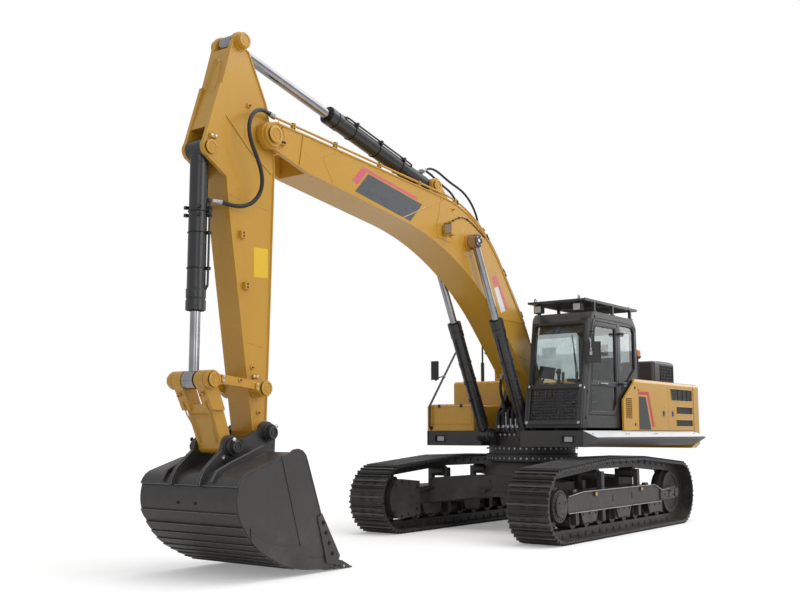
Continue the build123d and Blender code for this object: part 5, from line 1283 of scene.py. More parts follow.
# ---- bucket: wear strips, fins, side plates' wear pieces, cutter bolts and tooth tips
bucketSetup = {
    "nose": ((5.620, 0.054), (5.545, 0.100), (5.430, 0.108), (5.350, 0.090), (5.270, 0.052), (5.225, 0.030),
             (5.260, 0.012), (5.400, 0.010), (5.470, 0.040)),
    "outline": ((5.480, 0.014, 0.001), (6.160, 0.070, 1.3), (6.700, 0.330, 0.8), (6.955, 0.700, 0.38),
                (6.900, 1.000, 0.18),
                (6.178, 1.240, 0.06), (5.933, 1.161, 0.02)),
    "halfWidth": 0.700, "stripStarts": (0.635, 0.745, 0.855, 0.965, 1.075, 1.185, 1.295, 1.410, 1.558),
               "stripWidth": 0.104,
    "stripThick": 0.016, "ledge": (1.915, 2.520), "ledgeThick": 0.020,
    "teeth": 5, "toothWidth": 0.110,
    "fin": ((6.560, 1.325), (6.690, 1.255), (6.800, 1.165), (6.905, 1.075), (6.958, 0.985), (6.972, 0.915),
            (6.935, 0.915),
            (6.880, 1.000), (6.740, 1.052), (6.640, 1.085)),
    "rib": ((6.150, 1.235), (6.240, 1.300), (6.420, 1.235), (6.700, 1.135), (6.880, 1.060), (6.945, 0.960),
            (6.915, 0.950),
            (6.840, 1.020), (6.300, 1.200)),
    "sideStrip": ((6.330, 1.205), (6.020, 0.255), (5.985, 0.200), (5.800, 0.160), (5.560, 0.190),
                  (5.800, 0.560),
                  (5.905, 0.840), (5.985, 1.140), (6.080, 1.196), (6.178, 1.225)),
    "hump": ((6.180, 1.236), (6.140, 1.262), (6.070, 1.270), (6.005, 1.250), (5.955, 1.205), (5.930, 1.150),
             (5.935, 1.020),
             (5.900, 0.900), (6.000, 0.900)),
    "cutterBolts": ((5.700, 0.505), (5.655, 0.400), (5.605, 0.290), (5.550, 0.180)),
    "drainHoles": ((-0.12, 0.744), (0.13, 0.744)),
}


def walkOutline(points, wanted):
    gone = 0.0
    for here, ahead in zip(points, points[1:]):
        step = math.dist(here, ahead)
        if gone + step >= wanted:
            share = (wanted - gone) / step
            direction = ((ahead[0] - here[0]) / step, (ahead[1] - here[1]) / step)
            return (here[0] + (ahead[0] - here[0]) * share,
                    here[1] + (ahead[1] - here[1]) * share), direction
        gone += step
    return points[-1], direction


def dressBucket(setup):
    plates, welds, bolts, dark, shine, wornAndHighlit, keepers = (bmesh.new() for _ in range(7))
    outline = arcOutline(setup["outline"])
    start = min(range(len(outline)), key=lambda i: math.dist(outline[i], (5.48, 0.014)))
    outline = outline[start:] + outline[:start]
    half = setup["halfWidth"]
    # strips across the shell, each thicker along its rear edge
    for low in setup["stripStarts"]:
        rows = []
        for share in (0.0, 0.5, 1.0):
            (x, z), (dx, dz) = walkOutline(outline, low + setup["stripWidth"] * share)
            rows.append((x, z, dz, -dx, setup["stripThick"] * (0.55 + 0.55 * share)))
        base = [(x - nx * 0.004, z - nz * 0.004) for x, z, nx, nz, _ in rows]
        top = [(x + nx * t, z + nz * t) for x, z, nx, nz, t in rows]
        corners = [at(x, -half + 0.004, z) for x, z in base + top[::-1]]
        addPlate(plates, corners, 2 * half - 0.008, alongY)
        # lighter line along each strip's rear edge: partly worn steel, partly painted highlight
        addSweep(wornAndHighlit, [at(top[-1][0], y, top[-1][1]) for y in (-half + 0.003, half - 0.003)], 0.0025, 6)
    # folded edge of the upper plate, standing off the shell
    ledge = []
    ledgeFrom, ledgeTo = setup["ledge"]
    for share in range(13):
        (x, z), (dx, dz) = walkOutline(outline, ledgeFrom + (ledgeTo - ledgeFrom) * share / 12)
        ledge.append((x, z, dz, -dx))
    base = [(x - nx * 0.004, z - nz * 0.004) for x, z, nx, nz in ledge]
    top = [(x + nx * setup["ledgeThick"] * (1 - 0.06 * i), z + nz * setup["ledgeThick"] * (1 - 0.06 * i))
           for i, (x, z, nx, nz) in enumerate(ledge)]
    # lighter line along the ledge's edge: partly worn steel, partly painted highlight
    addSweep(wornAndHighlit, [at(top[0][0], y, top[0][1]) for y in (-half - 0.003, half + 0.003)], 0.0035, 6)
    addPlate(plates, [at(x, -half - 0.004, z) for x, z in base + top[::-1]], 2 * half + 0.008, alongY)
    for sign in (1, -1):
        out = Vector((0, sign, 0))
        addSidePlate(plates, setup["fin"], sign * 0.187, 0.040)
        addSidePlate(plates, setup["rib"], sign * 0.345, 0.026)
        addSidePlate(plates, setup["sideStrip"], sign * (half - 0.002), 0.009)
        addSidePlate(plates, setup["hump"], sign * (half - 0.027), 0.028)
        # wear plate along the floor of each side, with its bead
        edge = [walkOutline(outline, 0.30 + 0.074 * k)[0] for k in range(15)]
        inner = [(6.742, 0.520), (6.640, 0.440), (6.480, 0.372), (6.300, 0.325), (6.120, 0.298),
                 (6.000, 0.290)]
        addSidePlate(plates, edge + inner, sign * (half - 0.002), 0.011)
        addWeld(welds, inner, sign * (half + 0.008), 0.006)
        addWeld(welds, insetOutline(outline, 0.012)[6:-8], sign * (half + 0.000), 0.007)
        for x, z in setup["cutterBolts"]:
            addBolt(bolts, at(x, sign * (half + 0.020), z), out, 0.019)
        for place, radius in (((6.050, 1.430), 0.120), ((6.560, 1.290), 0.120)):
            addRing(welds, at(place[0], sign * 0.229, place[1]), out, radius * 0.80, 0.008)
        addPinCap(shine, at(6.560, sign * 0.306, 1.290), out, 0.062, 0.022)
        addPinCap(shine, at(6.050, sign * 0.306, 1.430), out, 0.066, 0.022)
        for spot, turnBy in ((at(6.050, sign * 0.312, 1.430), 128), (at(6.560, sign * 0.312, 1.290), 60)):
            a = math.radians(turnBy)
            addBolt(keepers, spot + Vector((math.cos(a), 0, math.sin(a))) * 0.083, out, 0.018)
        addBolt(keepers, at(6.655, sign * 0.231, 1.180), out, 0.022)
        # lighter lines on the top edges of the fins and ribs: partly worn steel, partly painted highlight
        for y in (sign * 0.189, sign * 0.225):
            addSweep(wornAndHighlit, [at(x, y, z) for x, z in setup["fin"][:6]], 0.0028, 6)
        for y in (sign * 0.346, sign * 0.370):
            addSweep(wornAndHighlit, [at(x, y, z) for x, z in setup["rib"][1:6]], 0.0028, 6)
        for x, z in ((6.440, 1.345), (6.640, 1.170)):
            addBox(plates, at(x, sign * 0.238, z), (0.060, 0.022, 0.060))
            addBolt(bolts, at(x, sign * 0.249, z), out, 0.016)
        for low in (0.105, 0.200):
            addWeld(welds, ((5.960, 1.165 + low), (5.952, 1.170 + low + 0.05)), sign * 0.229, 0.004)
    # long beads where the fins and ribs stand on the upper plate
    for y in (0.182, 0.232, 0.340, 0.376, -0.182, -0.232, -0.340, -0.376):
        addWeld(welds, ((6.22, 1.228), (6.55, 1.118), (6.84, 1.020)), y, 0.007)
    # near-black discs where the drain holes are: painted shade in place of the openings
    for y, z in setup["drainHoles"]:
        addLathe(dark, at(6.9365, y, z), alongX, [(0.016, 0), (0.016, 0.003), (0.010, 0.004), (0, 0.0035)],
                 20)
    finishPieces(
        "bucket",
        ("bucketWearPlates", plates, "bucketPaint", "bucket_paint", 0.002),
        ("bucketWelds", welds, "bucketPaint", "bucket_paint"),
        ("bucketBolts", bolts, "blackBolt", "dark_paint"),
        ("bucketWornEdges", wornAndHighlit, "wornEdge", "bucket_paint"),
        ("bucketKeeperBolts", keepers, "zincBolt", "rod_chrome"),
        ("bucketDrainHoles", dark, "meshBlack", "hose_rubber"),
        ("bucketPinCaps", shine, "bucketPaint", "bucket_paint"))
    # tips over the adapters, each held by a pin
    tips, pins, noses = bmesh.new(), bmesh.new(), bmesh.new()
    width = setup["toothWidth"]
    step = 2 * (half - 0.003 - width / 2) / (setup["teeth"] - 1)
    for n in range(setup["teeth"]):
        y = step * n - (half - 0.003 - width / 2)
        addPlate(noses, [at(x, y - width * 0.40, z) for x, z in setup["nose"]], width * 0.80, alongY)
        for side in (1, -1):
            addPlate(tips, [at(x, y + side * width / 2, z) for x, z in
                            ((5.405, 0.020), (5.400, 0.052), (5.330, 0.050), (5.240, 0.026),
                             (5.240, 0.012))],
                     0.009, Vector((0, side, 0)))
            addLathe(pins, at(5.352, y + side * (width / 2 + 0.008), 0.034), Vector((0, side, 0)),
                     [(0.013, 0), (0.013, 0.006), (0.008, 0.008), (0, 0.008)], 18)
        addPlate(tips, [at(5.400, y - 0.040, 0.060), at(5.400, y + 0.040, 0.060),
                        at(5.230, y + 0.030, 0.020),
                        at(5.230, y - 0.030, 0.020)], 0.010, Vector((-0.23, 0, 1)))
    finishPieces(
        "bucket",
        ("bucketToothTips", tips, "bucketPaint", "bucket_paint", 0.002),
        ("bucketToothNoses", noses, "bucketPaint", "bucket_paint", 0.006),
        ("bucketToothPins", pins, "zincBolt", "rod_chrome"))
    print("bucket dressed")


dressBucket(bucketSetup)


# ---- undercarriage: chain links, shoe bolts, covers, flanges, reflectors and ring bolts
trackSetup = {
    "centreY": 1.295, "shoes": 49, "wheelX": 2.0, "wheelZ": 0.49, "outer": 0.49,
              "carriers": (0.640, -0.570),
    "carrierZ": 0.845, "carrierOuter": 0.240, "shoeDepth": 0.048, "railOut": 0.110, "beamHalf": 0.190,
    "beamTop": ((1.735, 0.598), (1.300, 0.640), (-1.100, 0.640), (-1.372, 0.560)), "boltCircle": 0.180,
              "coverBolts": 0.095,
}


# closed path round the wheels and carriers, at a depth below the outer faces
def loopPath(setup, depth):
    circles = [(setup["wheelX"], setup["wheelZ"], setup["outer"] - depth),
               (-setup["wheelX"], setup["wheelZ"],
               setup["outer"] - depth)] + [(x, setup["carrierZ"], setup["carrierOuter"] - depth)
                                           for x in setup["carriers"]]
    cloud = sorted({(round(x + r * math.cos(2 * math.pi * k / 360), 6),
                     round(z + r * math.sin(2 * math.pi * k / 360), 6))
                    for x, z, r in circles for k in range(360)})
    hull = []
    for run in (cloud, cloud[::-1]):
        chain = []
        for p in run:
            while len(chain) > 1 and ((chain[-1][0] - chain[-2][0]) * (p[1] - chain[-2][1])
                                      - (chain[-1][1] - chain[-2][1]) * (p[0] - chain[-2][0])) <= 0:
                chain.pop()
            chain.append(p)
        hull += chain[:-1]
    hull.append(hull[0])
    return hull


def pathLength(points):
    return sum(math.dist(a, b) for a, b in zip(points, points[1:]))


# length of the line from a to b, the share of it where (x, z) comes nearest, and how far off that is
def dropOnto(x, z, a, b):
    length = math.dist(a, b)
    run, rise = b[0] - a[0], b[1] - a[1]
    along = max(0.0, min(1.0, ((x - a[0]) * run + (z - a[1]) * rise) / (length * length)))
    return length, along, math.dist((x, z), (a[0] + run * along, a[1] + rise * along))


# how far round the loop the first shoe's middle lies, read from the bars of the shoes
def shoePhase(setup, path):
    total = pathLength(path)
    edge = setup["centreY"] + 0.3
    tips = [v.co for v in node["left_track"].data.vertices if abs(v.co.y - edge) < 0.001]
    turn = Vector((0, 0))
    for spot in tips:
        x, z = spot.x - swingX, spot.z
        gone, best = 0.0, (9.0, 0.0)
        for a, b in zip(path, path[1:]):
            length, along, away = dropOnto(x, z, a, b)
            if away < best[0]:
                best = (away, gone + length * along)
            gone += length
        if best[0] > 0.040:
            angle = 2 * math.pi * best[1] / total * setup["shoes"]
            turn += Vector((math.cos(angle), math.sin(angle)))
    return math.atan2(-turn.y, -turn.x) / (2 * math.pi) / setup["shoes"] * total


def nearestDepth(x, z, path):
    return min(dropOnto(x, z, a, b)[2] for a, b in zip(path, path[1:]))


def dressTracks(setup):
    path = loopPath(setup, setup["shoeDepth"])
    total = pathLength(path)
    phase = shoePhase(setup, path)
    outer = loopPath(setup, 0.0)
    done = {"left": set(), "right": set()}
    for word, sign in (("left", 1), ("right", -1)):
        links, bolts, slots, edges = (bmesh.new() for _ in range(4))
        middle = sign * setup["centreY"]
        # lighter lines along the shoes' bar edges: partly worn steel, partly painted highlight
        spots = [v.co for v in node[word + "_track"].data.vertices if abs(abs(v.co.y) - 1.595) < 0.001]
        for spot in spots:
            x, z = spot.x - swingX, spot.z
            if nearestDepth(x, z, outer) < 0.004 and (round(x, 3), round(z, 3)) not in done[word]:
                done[word].add((round(x, 3), round(z, 3)))
                addSweep(edges, [at(x, middle - 0.298, z), at(x, middle + 0.298, z)], 0.0028, 6)
        for index in range(setup["shoes"]):
            (x, z), (dx, dz) = walkOutline(path, (phase + total * (index + 0.0) / setup["shoes"]) % total)
            outward = Vector((dz, 0, -dx))
            ahead = Vector((dx, 0, dz))
            plate = at(x, middle, z) + outward * 0.0225
            turn = Matrix((ahead, alongY, outward)).transposed().to_4x4()
            for y in (-0.105, -0.062, 0.062, 0.105):
                for step in (-0.034, 0.034):
                    addLathe(bolts, plate + ahead * step + Vector((0, y, 0)), outward,
                             [(0.014, -0.001), (0.014, 0.010), (0.010, 0.013), (0, 0.013)], 6)
            # near-black blocks where the shoes' slots are: painted shade in place of the openings
            for y in (-0.155, 0.155):
                addBox(slots, plate + ahead * 0.082 + Vector((0, y, 0)) - outward * 0.006,
                       (0.020, 0.085, 0.016), turn)
            for side in (1, -1):
                # link plate with a boss at its pin, one behind the other round the chain
                out = Vector((0, side, 0))
                root = at(x, middle + side * (setup["railOut"] - 0.001), z) - outward * 0.034
                half = total / setup["shoes"] / 2
                shape = [root + ahead * (half * 1.02) + outward * 0.026,
                         root + ahead * (half * 1.02) - outward * 0.020,
                         root + ahead * (half * 0.5) - outward * 0.030,
                         root - ahead * (half * 0.5) - outward * 0.030,
                         root - ahead * (half * 0.94) - outward * 0.020,
                         root - ahead * (half * 0.94) + outward * 0.026]
                addPlate(links, shape, 0.010, out)
                addLathe(links, root + ahead * half + out * 0.008, out,
                         [(0.026, 0), (0.026, 0.010), (0.018, 0.013), (0.016, 0.009), (0, 0.009)], 18)
        finishPieces(
            "undercarriage",
            (word + "ChainLinks", links, "trackSteel", "track_steel", 0.001, 1),
            (word + "ShoeBolts", bolts, "trackSteel", "track_steel"),
            (word + "ShoeEdges", edges, "wornEdge", "track_steel"),
            (word + "ShoeSlots", slots, "meshBlack", "track_steel"))
    print("tracks dressed")


dressTracks(trackSetup)


def dressUndercarriage(setup):
    plates, bolts, zinc, yellow, dark, hoses, edges = (bmesh.new() for _ in range(7))
    middleY, beam = setup["centreY"], setup["beamHalf"]
    driveX, wheelZ = setup["wheelX"], setup["wheelZ"]
    for sign in (1, -1):
        out = Vector((0, sign, 0))
        y = sign * (middleY + beam)
        # flanges along the beam, top and bottom
        addPlate(plates, [at(1.735, y, 0.392), at(1.735, y, 0.378), at(-1.372, y, 0.378),
                          at(-1.372, y, 0.392)], 0.016, out)
        top = setup["beamTop"]
        addPlate(plates, [at(x, y, z + 0.006) for x, z in top] + [at(x, y, z - 0.010) for x,
                                                                  z in top[::-1]], 0.016, out)
        for x in (0.92, -0.62):
            addBox(plates, at(x, y + sign * 0.014, 0.598), (0.085, 0.014, 0.060))
            addBox(yellow, at(x, y + sign * 0.023, 0.598), (0.058, 0.006, 0.040))
        # near-black block where the frame's slot is: painted shade in place of the opening
        addBox(dark, at(-0.30, y + sign * 0.001, 0.520), (0.030, 0.004, 0.095))
        addBox(plates, at(0.30, y + sign * 0.004, 0.510), (0.120, 0.008, 0.080))
        # cover of the track adjuster, and the yoke's guide blocks
        addSidePlate(plates, roundedOutline(((-1.330, 0.545), (-1.330, 0.400), (-1.640, 0.405),
                                             (-1.640, 0.560)), 0.02),
                     y, 0.020)
        addSidePlate(plates, roundedOutline(((-1.700, 0.540), (-1.700, 0.430), (-1.900, 0.432),
                                             (-1.900, 0.545)), 0.02),
                     y, 0.012)
        for x, z in ((-1.360, 0.520), (-1.360, 0.425), (-1.610, 0.530), (-1.610, 0.430), (-1.730, 0.520),
                     (-1.870, 0.455)):
            addBolt(bolts, at(x, y + sign * 0.018, z), out, 0.012)
        addLathe(dark, at(-1.485, y + sign * 0.020, 0.480), out, [(0.018, 0), (0.018, 0.002), (0, 0.002)],
                 20)
        addLathe(plates, at(-driveX, y, wheelZ), out,
                 [(0.075, 0), (0.075, 0.012), (0.060, 0.018), (0.030, 0.018), (0.026, 0.012), (0, 0.012)],
                 32)
        # roller guards' bolts and the brackets above the beam
        for x in (1.130, 0.020, -1.090):
            for step in (-0.19, 0.0, 0.19):
                addBolt(bolts, at(x + step, y + sign * 0.014, 0.350), out, 0.013)
        for x in (0.640, -0.570):
            for step in (-0.03, 0.03):
                addBolt(bolts, at(x + step, y - sign * 0.012, 0.690), out, 0.010)
        for x in (1.480, -0.90):
            addBox(plates, at(x, y - sign * 0.05, 0.660), (0.110, 0.060, 0.040))
            addBolt(zinc, at(x, y - sign * 0.02, 0.664), out, 0.010)
        # travel drive: bolt circle outside, cover with its bolts inside
        for count, shift, circle, proud, size in ((20, 0, setup["boltCircle"], 0.030, 0.010),
                                                  (3, 0.25, setup["coverBolts"], 0.066, 0.012)):
            for k in range(count):
                a = 2 * math.pi * (k + shift) / count
                spot = at(driveX + circle * math.cos(a), y + sign * proud, wheelZ + circle * math.sin(a))
                addBolt(bolts, spot, out, size)
        addLathe(plates, at(driveX, y + sign * 0.055, wheelZ), out,
                 [(0.148, 0), (0.140, 0.010), (0.060, 0.014), (0.052, 0.008), (0, 0.008)], 48)
        inner = sign * (middleY - beam - 0.095)
        inward = Vector((0, -sign, 0))
        for x, z in ((2.155, 0.690), (2.000, 0.735), (1.830, 0.712), (2.175, 0.310), (2.010, 0.245),
                     (1.840, 0.268),
                     (1.640, 0.640), (1.640, 0.330)):
            addBolt(bolts, at(x, inner, z), inward, 0.016)
        # pressed rib and weld beads on each leg of the centre frame
        for fore in (1, -1):
            for line in (((0.93, 0.420, 0.806), (1.060, 0.700, 0.784), (1.190, 1.080, 0.752)),
                         ((0.95, 0.430, 0.505), (1.090, 0.700, 0.462), (1.205, 1.080, 0.400))):
                addSweep(plates, [at(fore * x, sign * y, z) for x, y, z in line], 0.010, 8)
            # travel hoses' guard tube between centre and drive
        addSweep(hoses, splineLine([at(-0.40, sign * 0.44, 0.70), at(-0.20, sign * 0.62, 0.705),
                                    at(0.30, sign * 0.80, 0.70),
                                    at(0.90, sign * 0.98, 0.66), at(1.35, sign * 1.055, 0.60),
                                    at(1.52, sign * 1.06, 0.56)]),
                 0.020, 12)
    # inspection covers on the front and rear of the centre frame
    for fore in (1, -1):
        face = Vector((fore, 0, 0))
        centre = at(fore * 0.951, 0, 0.665)
        cover = roundedBox(-0.20, -0.09, 0.20, 0.09, 0.03)
        addPlate(plates, [centre + Vector((0, a, b)) for a, b in cover], 0.010, face)
        for a in (-0.17, 0.17):
            for b in (-0.06, 0.06):
                addBolt(bolts, centre + Vector((fore * 0.010, a, b)), face, 0.012)
    # two rows of bolts round the swing ring, and a pinched seal between its halves
    for k in range(48):
        a = 2 * math.pi * k / 48
        ring = Vector((math.cos(a), math.sin(a), 0))
        for z in (1.195, 1.050):
            addBolt(zinc, at(0, 0, z) + ring * 0.689, ring, 0.012)
    # painted highlights: bright metal lines along the beams' flanges and the yoke's cover, where their edges
    # catch the light
    for sign in (1, -1):
        y = sign * (middleY + beam)
        for line in (((1.730, 0.601), (1.300, 0.644), (-1.100, 0.644), (-1.370, 0.564)),
                     ((1.733, 0.380), (-1.370, 0.380))):
            addSweep(edges, [at(x, y + sign * 0.015, z) for x, z in line], 0.0055, 8)
        addSweep(edges, [at(-1.335, y + sign * 0.020, 0.548), at(-1.645, y + sign * 0.020, 0.563)], 0.004,
                 8)
    addRing(hoses, at(0, 0, 1.1125), alongZ, 0.690, 0.007, 96, 8)
    finishPieces(
        "undercarriage",
        ("undercarriagePlates", plates, "trackFramePaint", "undercarriage_paint", 0.002),
        ("undercarriageBolts", bolts, "blackBolt", "undercarriage_paint"),
        ("undercarriageRingBolts", zinc, "steelFitting", "undercarriage_paint"),
        ("undercarriageReflectors", yellow, "reflectorYellow", "console_plastic", 0.002),
        ("beamEdges", edges, "steelFitting", "undercarriage_paint"),
        ("undercarriageSlots", dark, "meshBlack", "hose_rubber"),
        ("travelHoseGuards", hoses, "sealRubber", "hose_rubber"))
    print("undercarriage dressed")


dressUndercarriage(trackSetup)


# ---- house: side steps' trim, markings, louvres, locks, grilles, counterweight, pipework and lamps
houseSetup = {
    "half": 1.490, "stepInner": 1.4695, "stepEdge": 1.558, "trimThick": 0.004,
    "blackPanel": ((-0.640, 1.975), (-0.907, 1.972), (-1.084, 1.472), (-0.631, 1.476)),
    "redStripe": ((-0.632, 1.998), (-0.950, 2.004), (-1.128, 1.520), (-1.222, 1.520), (-1.018, 2.056),
                  (-0.632, 2.048)),
    "vents": ((-1.885, -2.840, 1.945, 2.135, 0.055), (-2.135, -2.840, 1.730, 1.850, 0.008),
              (-2.115, -2.840, 1.530, 1.640, 0.008)),
}


def slopeZ(y):
    return 1.457 - (abs(y) - 1.468) / 0.092 * 0.095


def dressSteps(setup):
    trim, ribs, bolts = (bmesh.new() for _ in range(3))
    for sign, front in ((1, 1.206), (-1, 0.716)):
        outward = Vector((0, sign * 0.095, 0.092))
        inner, edge = setup["stepInner"], setup["stepEdge"]
        rows = ((front, inner), (front - 0.244, edge), (-3.200, edge), (-2.992, 1.4935), (-2.906, 1.4935),
                (-2.906, inner))
        corners = [at(x, sign * y, slopeZ(y) + 0.0005) for x, y in rows]
        addPlate(trim, corners, setup["trimThick"], outward)
        for x in (front - 0.20, front - 1.30, front - 1.39, front - 2.35, front - 2.44, -2.80):
            addBolt(bolts, at(x, sign * 1.515, slopeZ(1.515) + 0.004), outward, 0.011)
        # pressed ribs of the underside, between the lower edge and the deck
        count = int((front - 0.36 + 3.05) / 0.075)
        for k in range(count):
            x = front - 0.36 - 0.075 * k
            low, high = at(x, sign * 1.484, 1.246), at(x, sign * 1.552, 1.335)
            addRod(ribs, low, high, 0.007, 8)
        addSweep(ribs, [at(front - 0.28, sign * 1.557, 1.343), at(-3.10, sign * 1.557, 1.343)], 0.006, 8)
    finishPieces(
        "house",
        ("stepTrims", trim, "silverTrim", "rod_chrome", 0.0015),
        ("stepRibs", ribs, "charcoalPaint", "dark_paint"),
        ("stepBolts", bolts, "blackBolt", "dark_paint"))


def makeLock(steel, dark, x, z, y, out):
    addSidePlate(steel, roundedOutline(((x + 0.045, z + 0.055), (x + 0.045, z - 0.055),
                                        (x - 0.045, z - 0.055),
                                       (x - 0.045, z + 0.055)), 0.012), y, 0.004)
    addBox(dark, at(x, y + out.y * 0.005, z), (0.062, 0.006, 0.070))
    addLathe(steel, at(x + 0.010, y + out.y * 0.008, z - 0.012), out,
             [(0.013, 0), (0.013, 0.006), (0.009, 0.008), (0, 0.008)], 20)
    addBox(steel, at(x - 0.004, y + out.y * 0.011, z + 0.022), (0.044, 0.006, 0.014))


def dressDoors(setup):
    y, out = setup["half"], alongY
    black, red = bmesh.new(), bmesh.new()
    addSidePlate(black, roundedOutline(setup["blackPanel"], 0.012), y, 0.0012)
    addSidePlate(red, setup["redStripe"], y, 0.0014)
    finishPieces(
        "left_front_door",
        ("sideBlackPanel", black, "panelBlack", "hose_rubber"),
        ("sideRedStripe", red, "stripeRed", "body_paint"))
    for body, sign, lockX, vents in (("left_front_door", 1, -1.603, False),
                                     ("left_rear_door", 1, -1.974, True),
                                     ("right_rear_door", -1, -1.974, True)):
        steel, dark, rims, grille, hinges = (bmesh.new() for _ in range(5))
        out = Vector((0, sign, 0))
        face = sign * setup["half"]
        makeLock(steel, dark, lockX, 1.733, face, out)
        if vents:
            for front, rear, low, high, slant in setup["vents"]:
                edge = ((front, high), (front - slant, low), (rear, low), (rear, high))
                addSidePlate(grille, edge, face - sign * 0.016, 0.004)
                rim = [at(x, face + sign * 0.001, z) for x, z in edge + edge[:1]]
                addSweep(rims, rim, 0.005, 8, False)
                count = int((high - low) / 0.030)
                for k in range(1, count):
                    z = low + (high - low) * k / count
                    lean = front - slant * (high - z) / (high - low)
                    addBox(grille, at((lean + rear) / 2, face - sign * 0.009, z),
                           (lean - rear - 0.004, 0.010, 0.004))
            for k in range(1, 4):
                x = -2.05 - 0.2 * k
                addBox(grille, at(x, face - sign * 0.008, 2.040), (0.012, 0.012, 0.188))
        hingeX = -0.618 if body == "left_front_door" else -2.879
        for z in (1.540, 2.100):
            addRod(hinges, at(hingeX, face - sign * 0.015, z - 0.028),
                   at(hingeX, face - sign * 0.015, z + 0.028), 0.0152, 20)
        # folded edge along the foot of the door, and its rubber buffer
        low, high = (-1.775, -0.610) if body == "left_front_door" else (-2.885, -1.795)
        addSweep(dark, [at(low + 0.01, face - sign * 0.004, 1.474),
                        at(high - 0.01, face - sign * 0.004, 1.474)], 0.004, 8)
        finishPieces(
            body,
            (body + "Lock", steel, "steelFitting", "rod_chrome", 0.001),
            (body + "LockWell", dark, "meshBlack", "hose_rubber"),
            (body + "Hinges", hinges, "ochrePaint", "body_paint", 0.002))
        if vents:
            finishPieces(
                body,
                (body + "VentRims", rims, "ochrePaint", "body_paint"),
                (body + "Grilles", grille, "perforatedSheet", "hose_rubber"))
        else:
            rims.free()
            grille.free()


def dressQuarterPanel():
    blades, dark, plugs = (bmesh.new() for _ in range(3))
    # near-black sheet behind the louvre blades: painted shade of the opening behind them
    addSidePlate(dark, ((-0.177, 1.642), (-0.177, 1.938), (-0.379, 1.938), (-0.379, 1.642)), 1.4785, 0.001)
    tilt = Matrix.Rotation(math.radians(-38), 4, "X")
    for k in range(10):
        z = 1.662 + 0.0285 * k
        addBox(blades, at(-0.278, 1.4865, z), (0.198, 0.028, 0.004), tilt)
    for x in (-0.235, -0.322):
        addBox(blades, at(x, 1.4865, 1.790), (0.010, 0.012, 0.296))
    edge = ((-0.172, 1.637), (-0.172, 1.943), (-0.384, 1.943), (-0.384, 1.637))
    addSweep(blades, [at(x, 1.4905, z) for x, z in edge + edge[:1]], 0.005, 8, False)
    for x, z in ((-0.506, 2.098), (-0.496, 1.552)):
        addLathe(plugs, at(x, 1.490, z), alongY,
                 [(0.024, 0), (0.024, 0.003), (0.019, 0.006), (0.006, 0.006), (0, 0.004)], 28)
    finishPieces(
        "house",
        ("louvreWell", dark, "meshBlack", "hose_rubber"),
        ("louvreBlades", blades, "ochrePaint", "body_paint"),
        ("panelPlugs", plugs, "blackPlastic", "hose_rubber"))


# place on the counterweight's curved rear face, and the ways out of it and across it
def onTail(y, z, proud):
    turn = math.asin(y / tail["radius"])
    out = Vector((-math.cos(turn), math.sin(turn), 0))
    across = Vector((math.sin(turn), math.cos(turn), 0))
    return at(tail["x"] + tail["radius"] * (1 - math.cos(turn)), y, z) + out * proud, out, across


tail = {
    "x": -3.450,
    "radius": 4.841,
    "lampHalf": (0.130, 0.055),
    "panelHalf": 0.62,
    "panelHeights": (1.42, 1.70),
}


def dressCounterweight():
    body, dark, lens, steel = (bmesh.new() for _ in range(4))
    wide, high = tail["lampHalf"]
    for sign in (1, -1):
        base, out, across = onTail(sign * 0.93, 1.985, -0.004)
        outline = roundedBox(-wide, -high, wide, high, 0.02)
        addPlate(dark, [base + across * a + Vector((0, 0, b)) for a, b in outline], 0.010, out)
        for step in (-0.065, 0.065):
            spot = base + across * step + out * 0.0095
            addLathe(lens, spot, out, [(0.046, 0), (0.046, 0.004), (0, 0.004)], 32)
            addRing(body, spot + out * 0.002, out, 0.049, 0.0025, 40, 8)
        for z in (1.33, 1.82):
            spot, out, across = onTail(sign * 0.42, z, -0.0005)
            addLathe(steel, spot, out, [(0.050, 0), (0.046, 0.003), (0.030, 0.003), (0.026, 0.001),
                                        (0, 0.001)], 32)
        for x in (-3.02, -3.18):
            addLathe(steel, at(x, sign * 0.70, 2.2405), alongZ,
                     [(0.034, 0), (0.034, 0.004), (0.024, 0.005), (0.022, 0.001), (0, 0.001)], 32)
        addSweep(dark, [at(-2.906, sign * 1.4895, 1.20), at(-2.906, sign * 1.4895, 2.17)], 0.003, 8)
    # raised rim of a blank panel in the middle of the rear face
    low, top = tail["panelHeights"]
    half = tail["panelHalf"]
    steps = [half * (k / 10 - 1) for k in range(21)]
    rim = [onTail(y, low, -0.0025)[0] for y in steps] + [onTail(y, top, -0.0025)[0]
                                                         for y in reversed(steps)]
    addSweep(body, rim + rim[:1], 0.004, 8, False)
    finishPieces(
        "house",
        ("counterweightLines", body, "ochrePaint", "body_paint"),
        ("rearLampHousings", dark, "blackPlastic", "hose_rubber"),
        ("rearLampLenses", lens, "rearLens", "console_plastic"),
        ("counterweightPlugs", steel, "steelFitting", "undercarriage_paint"))


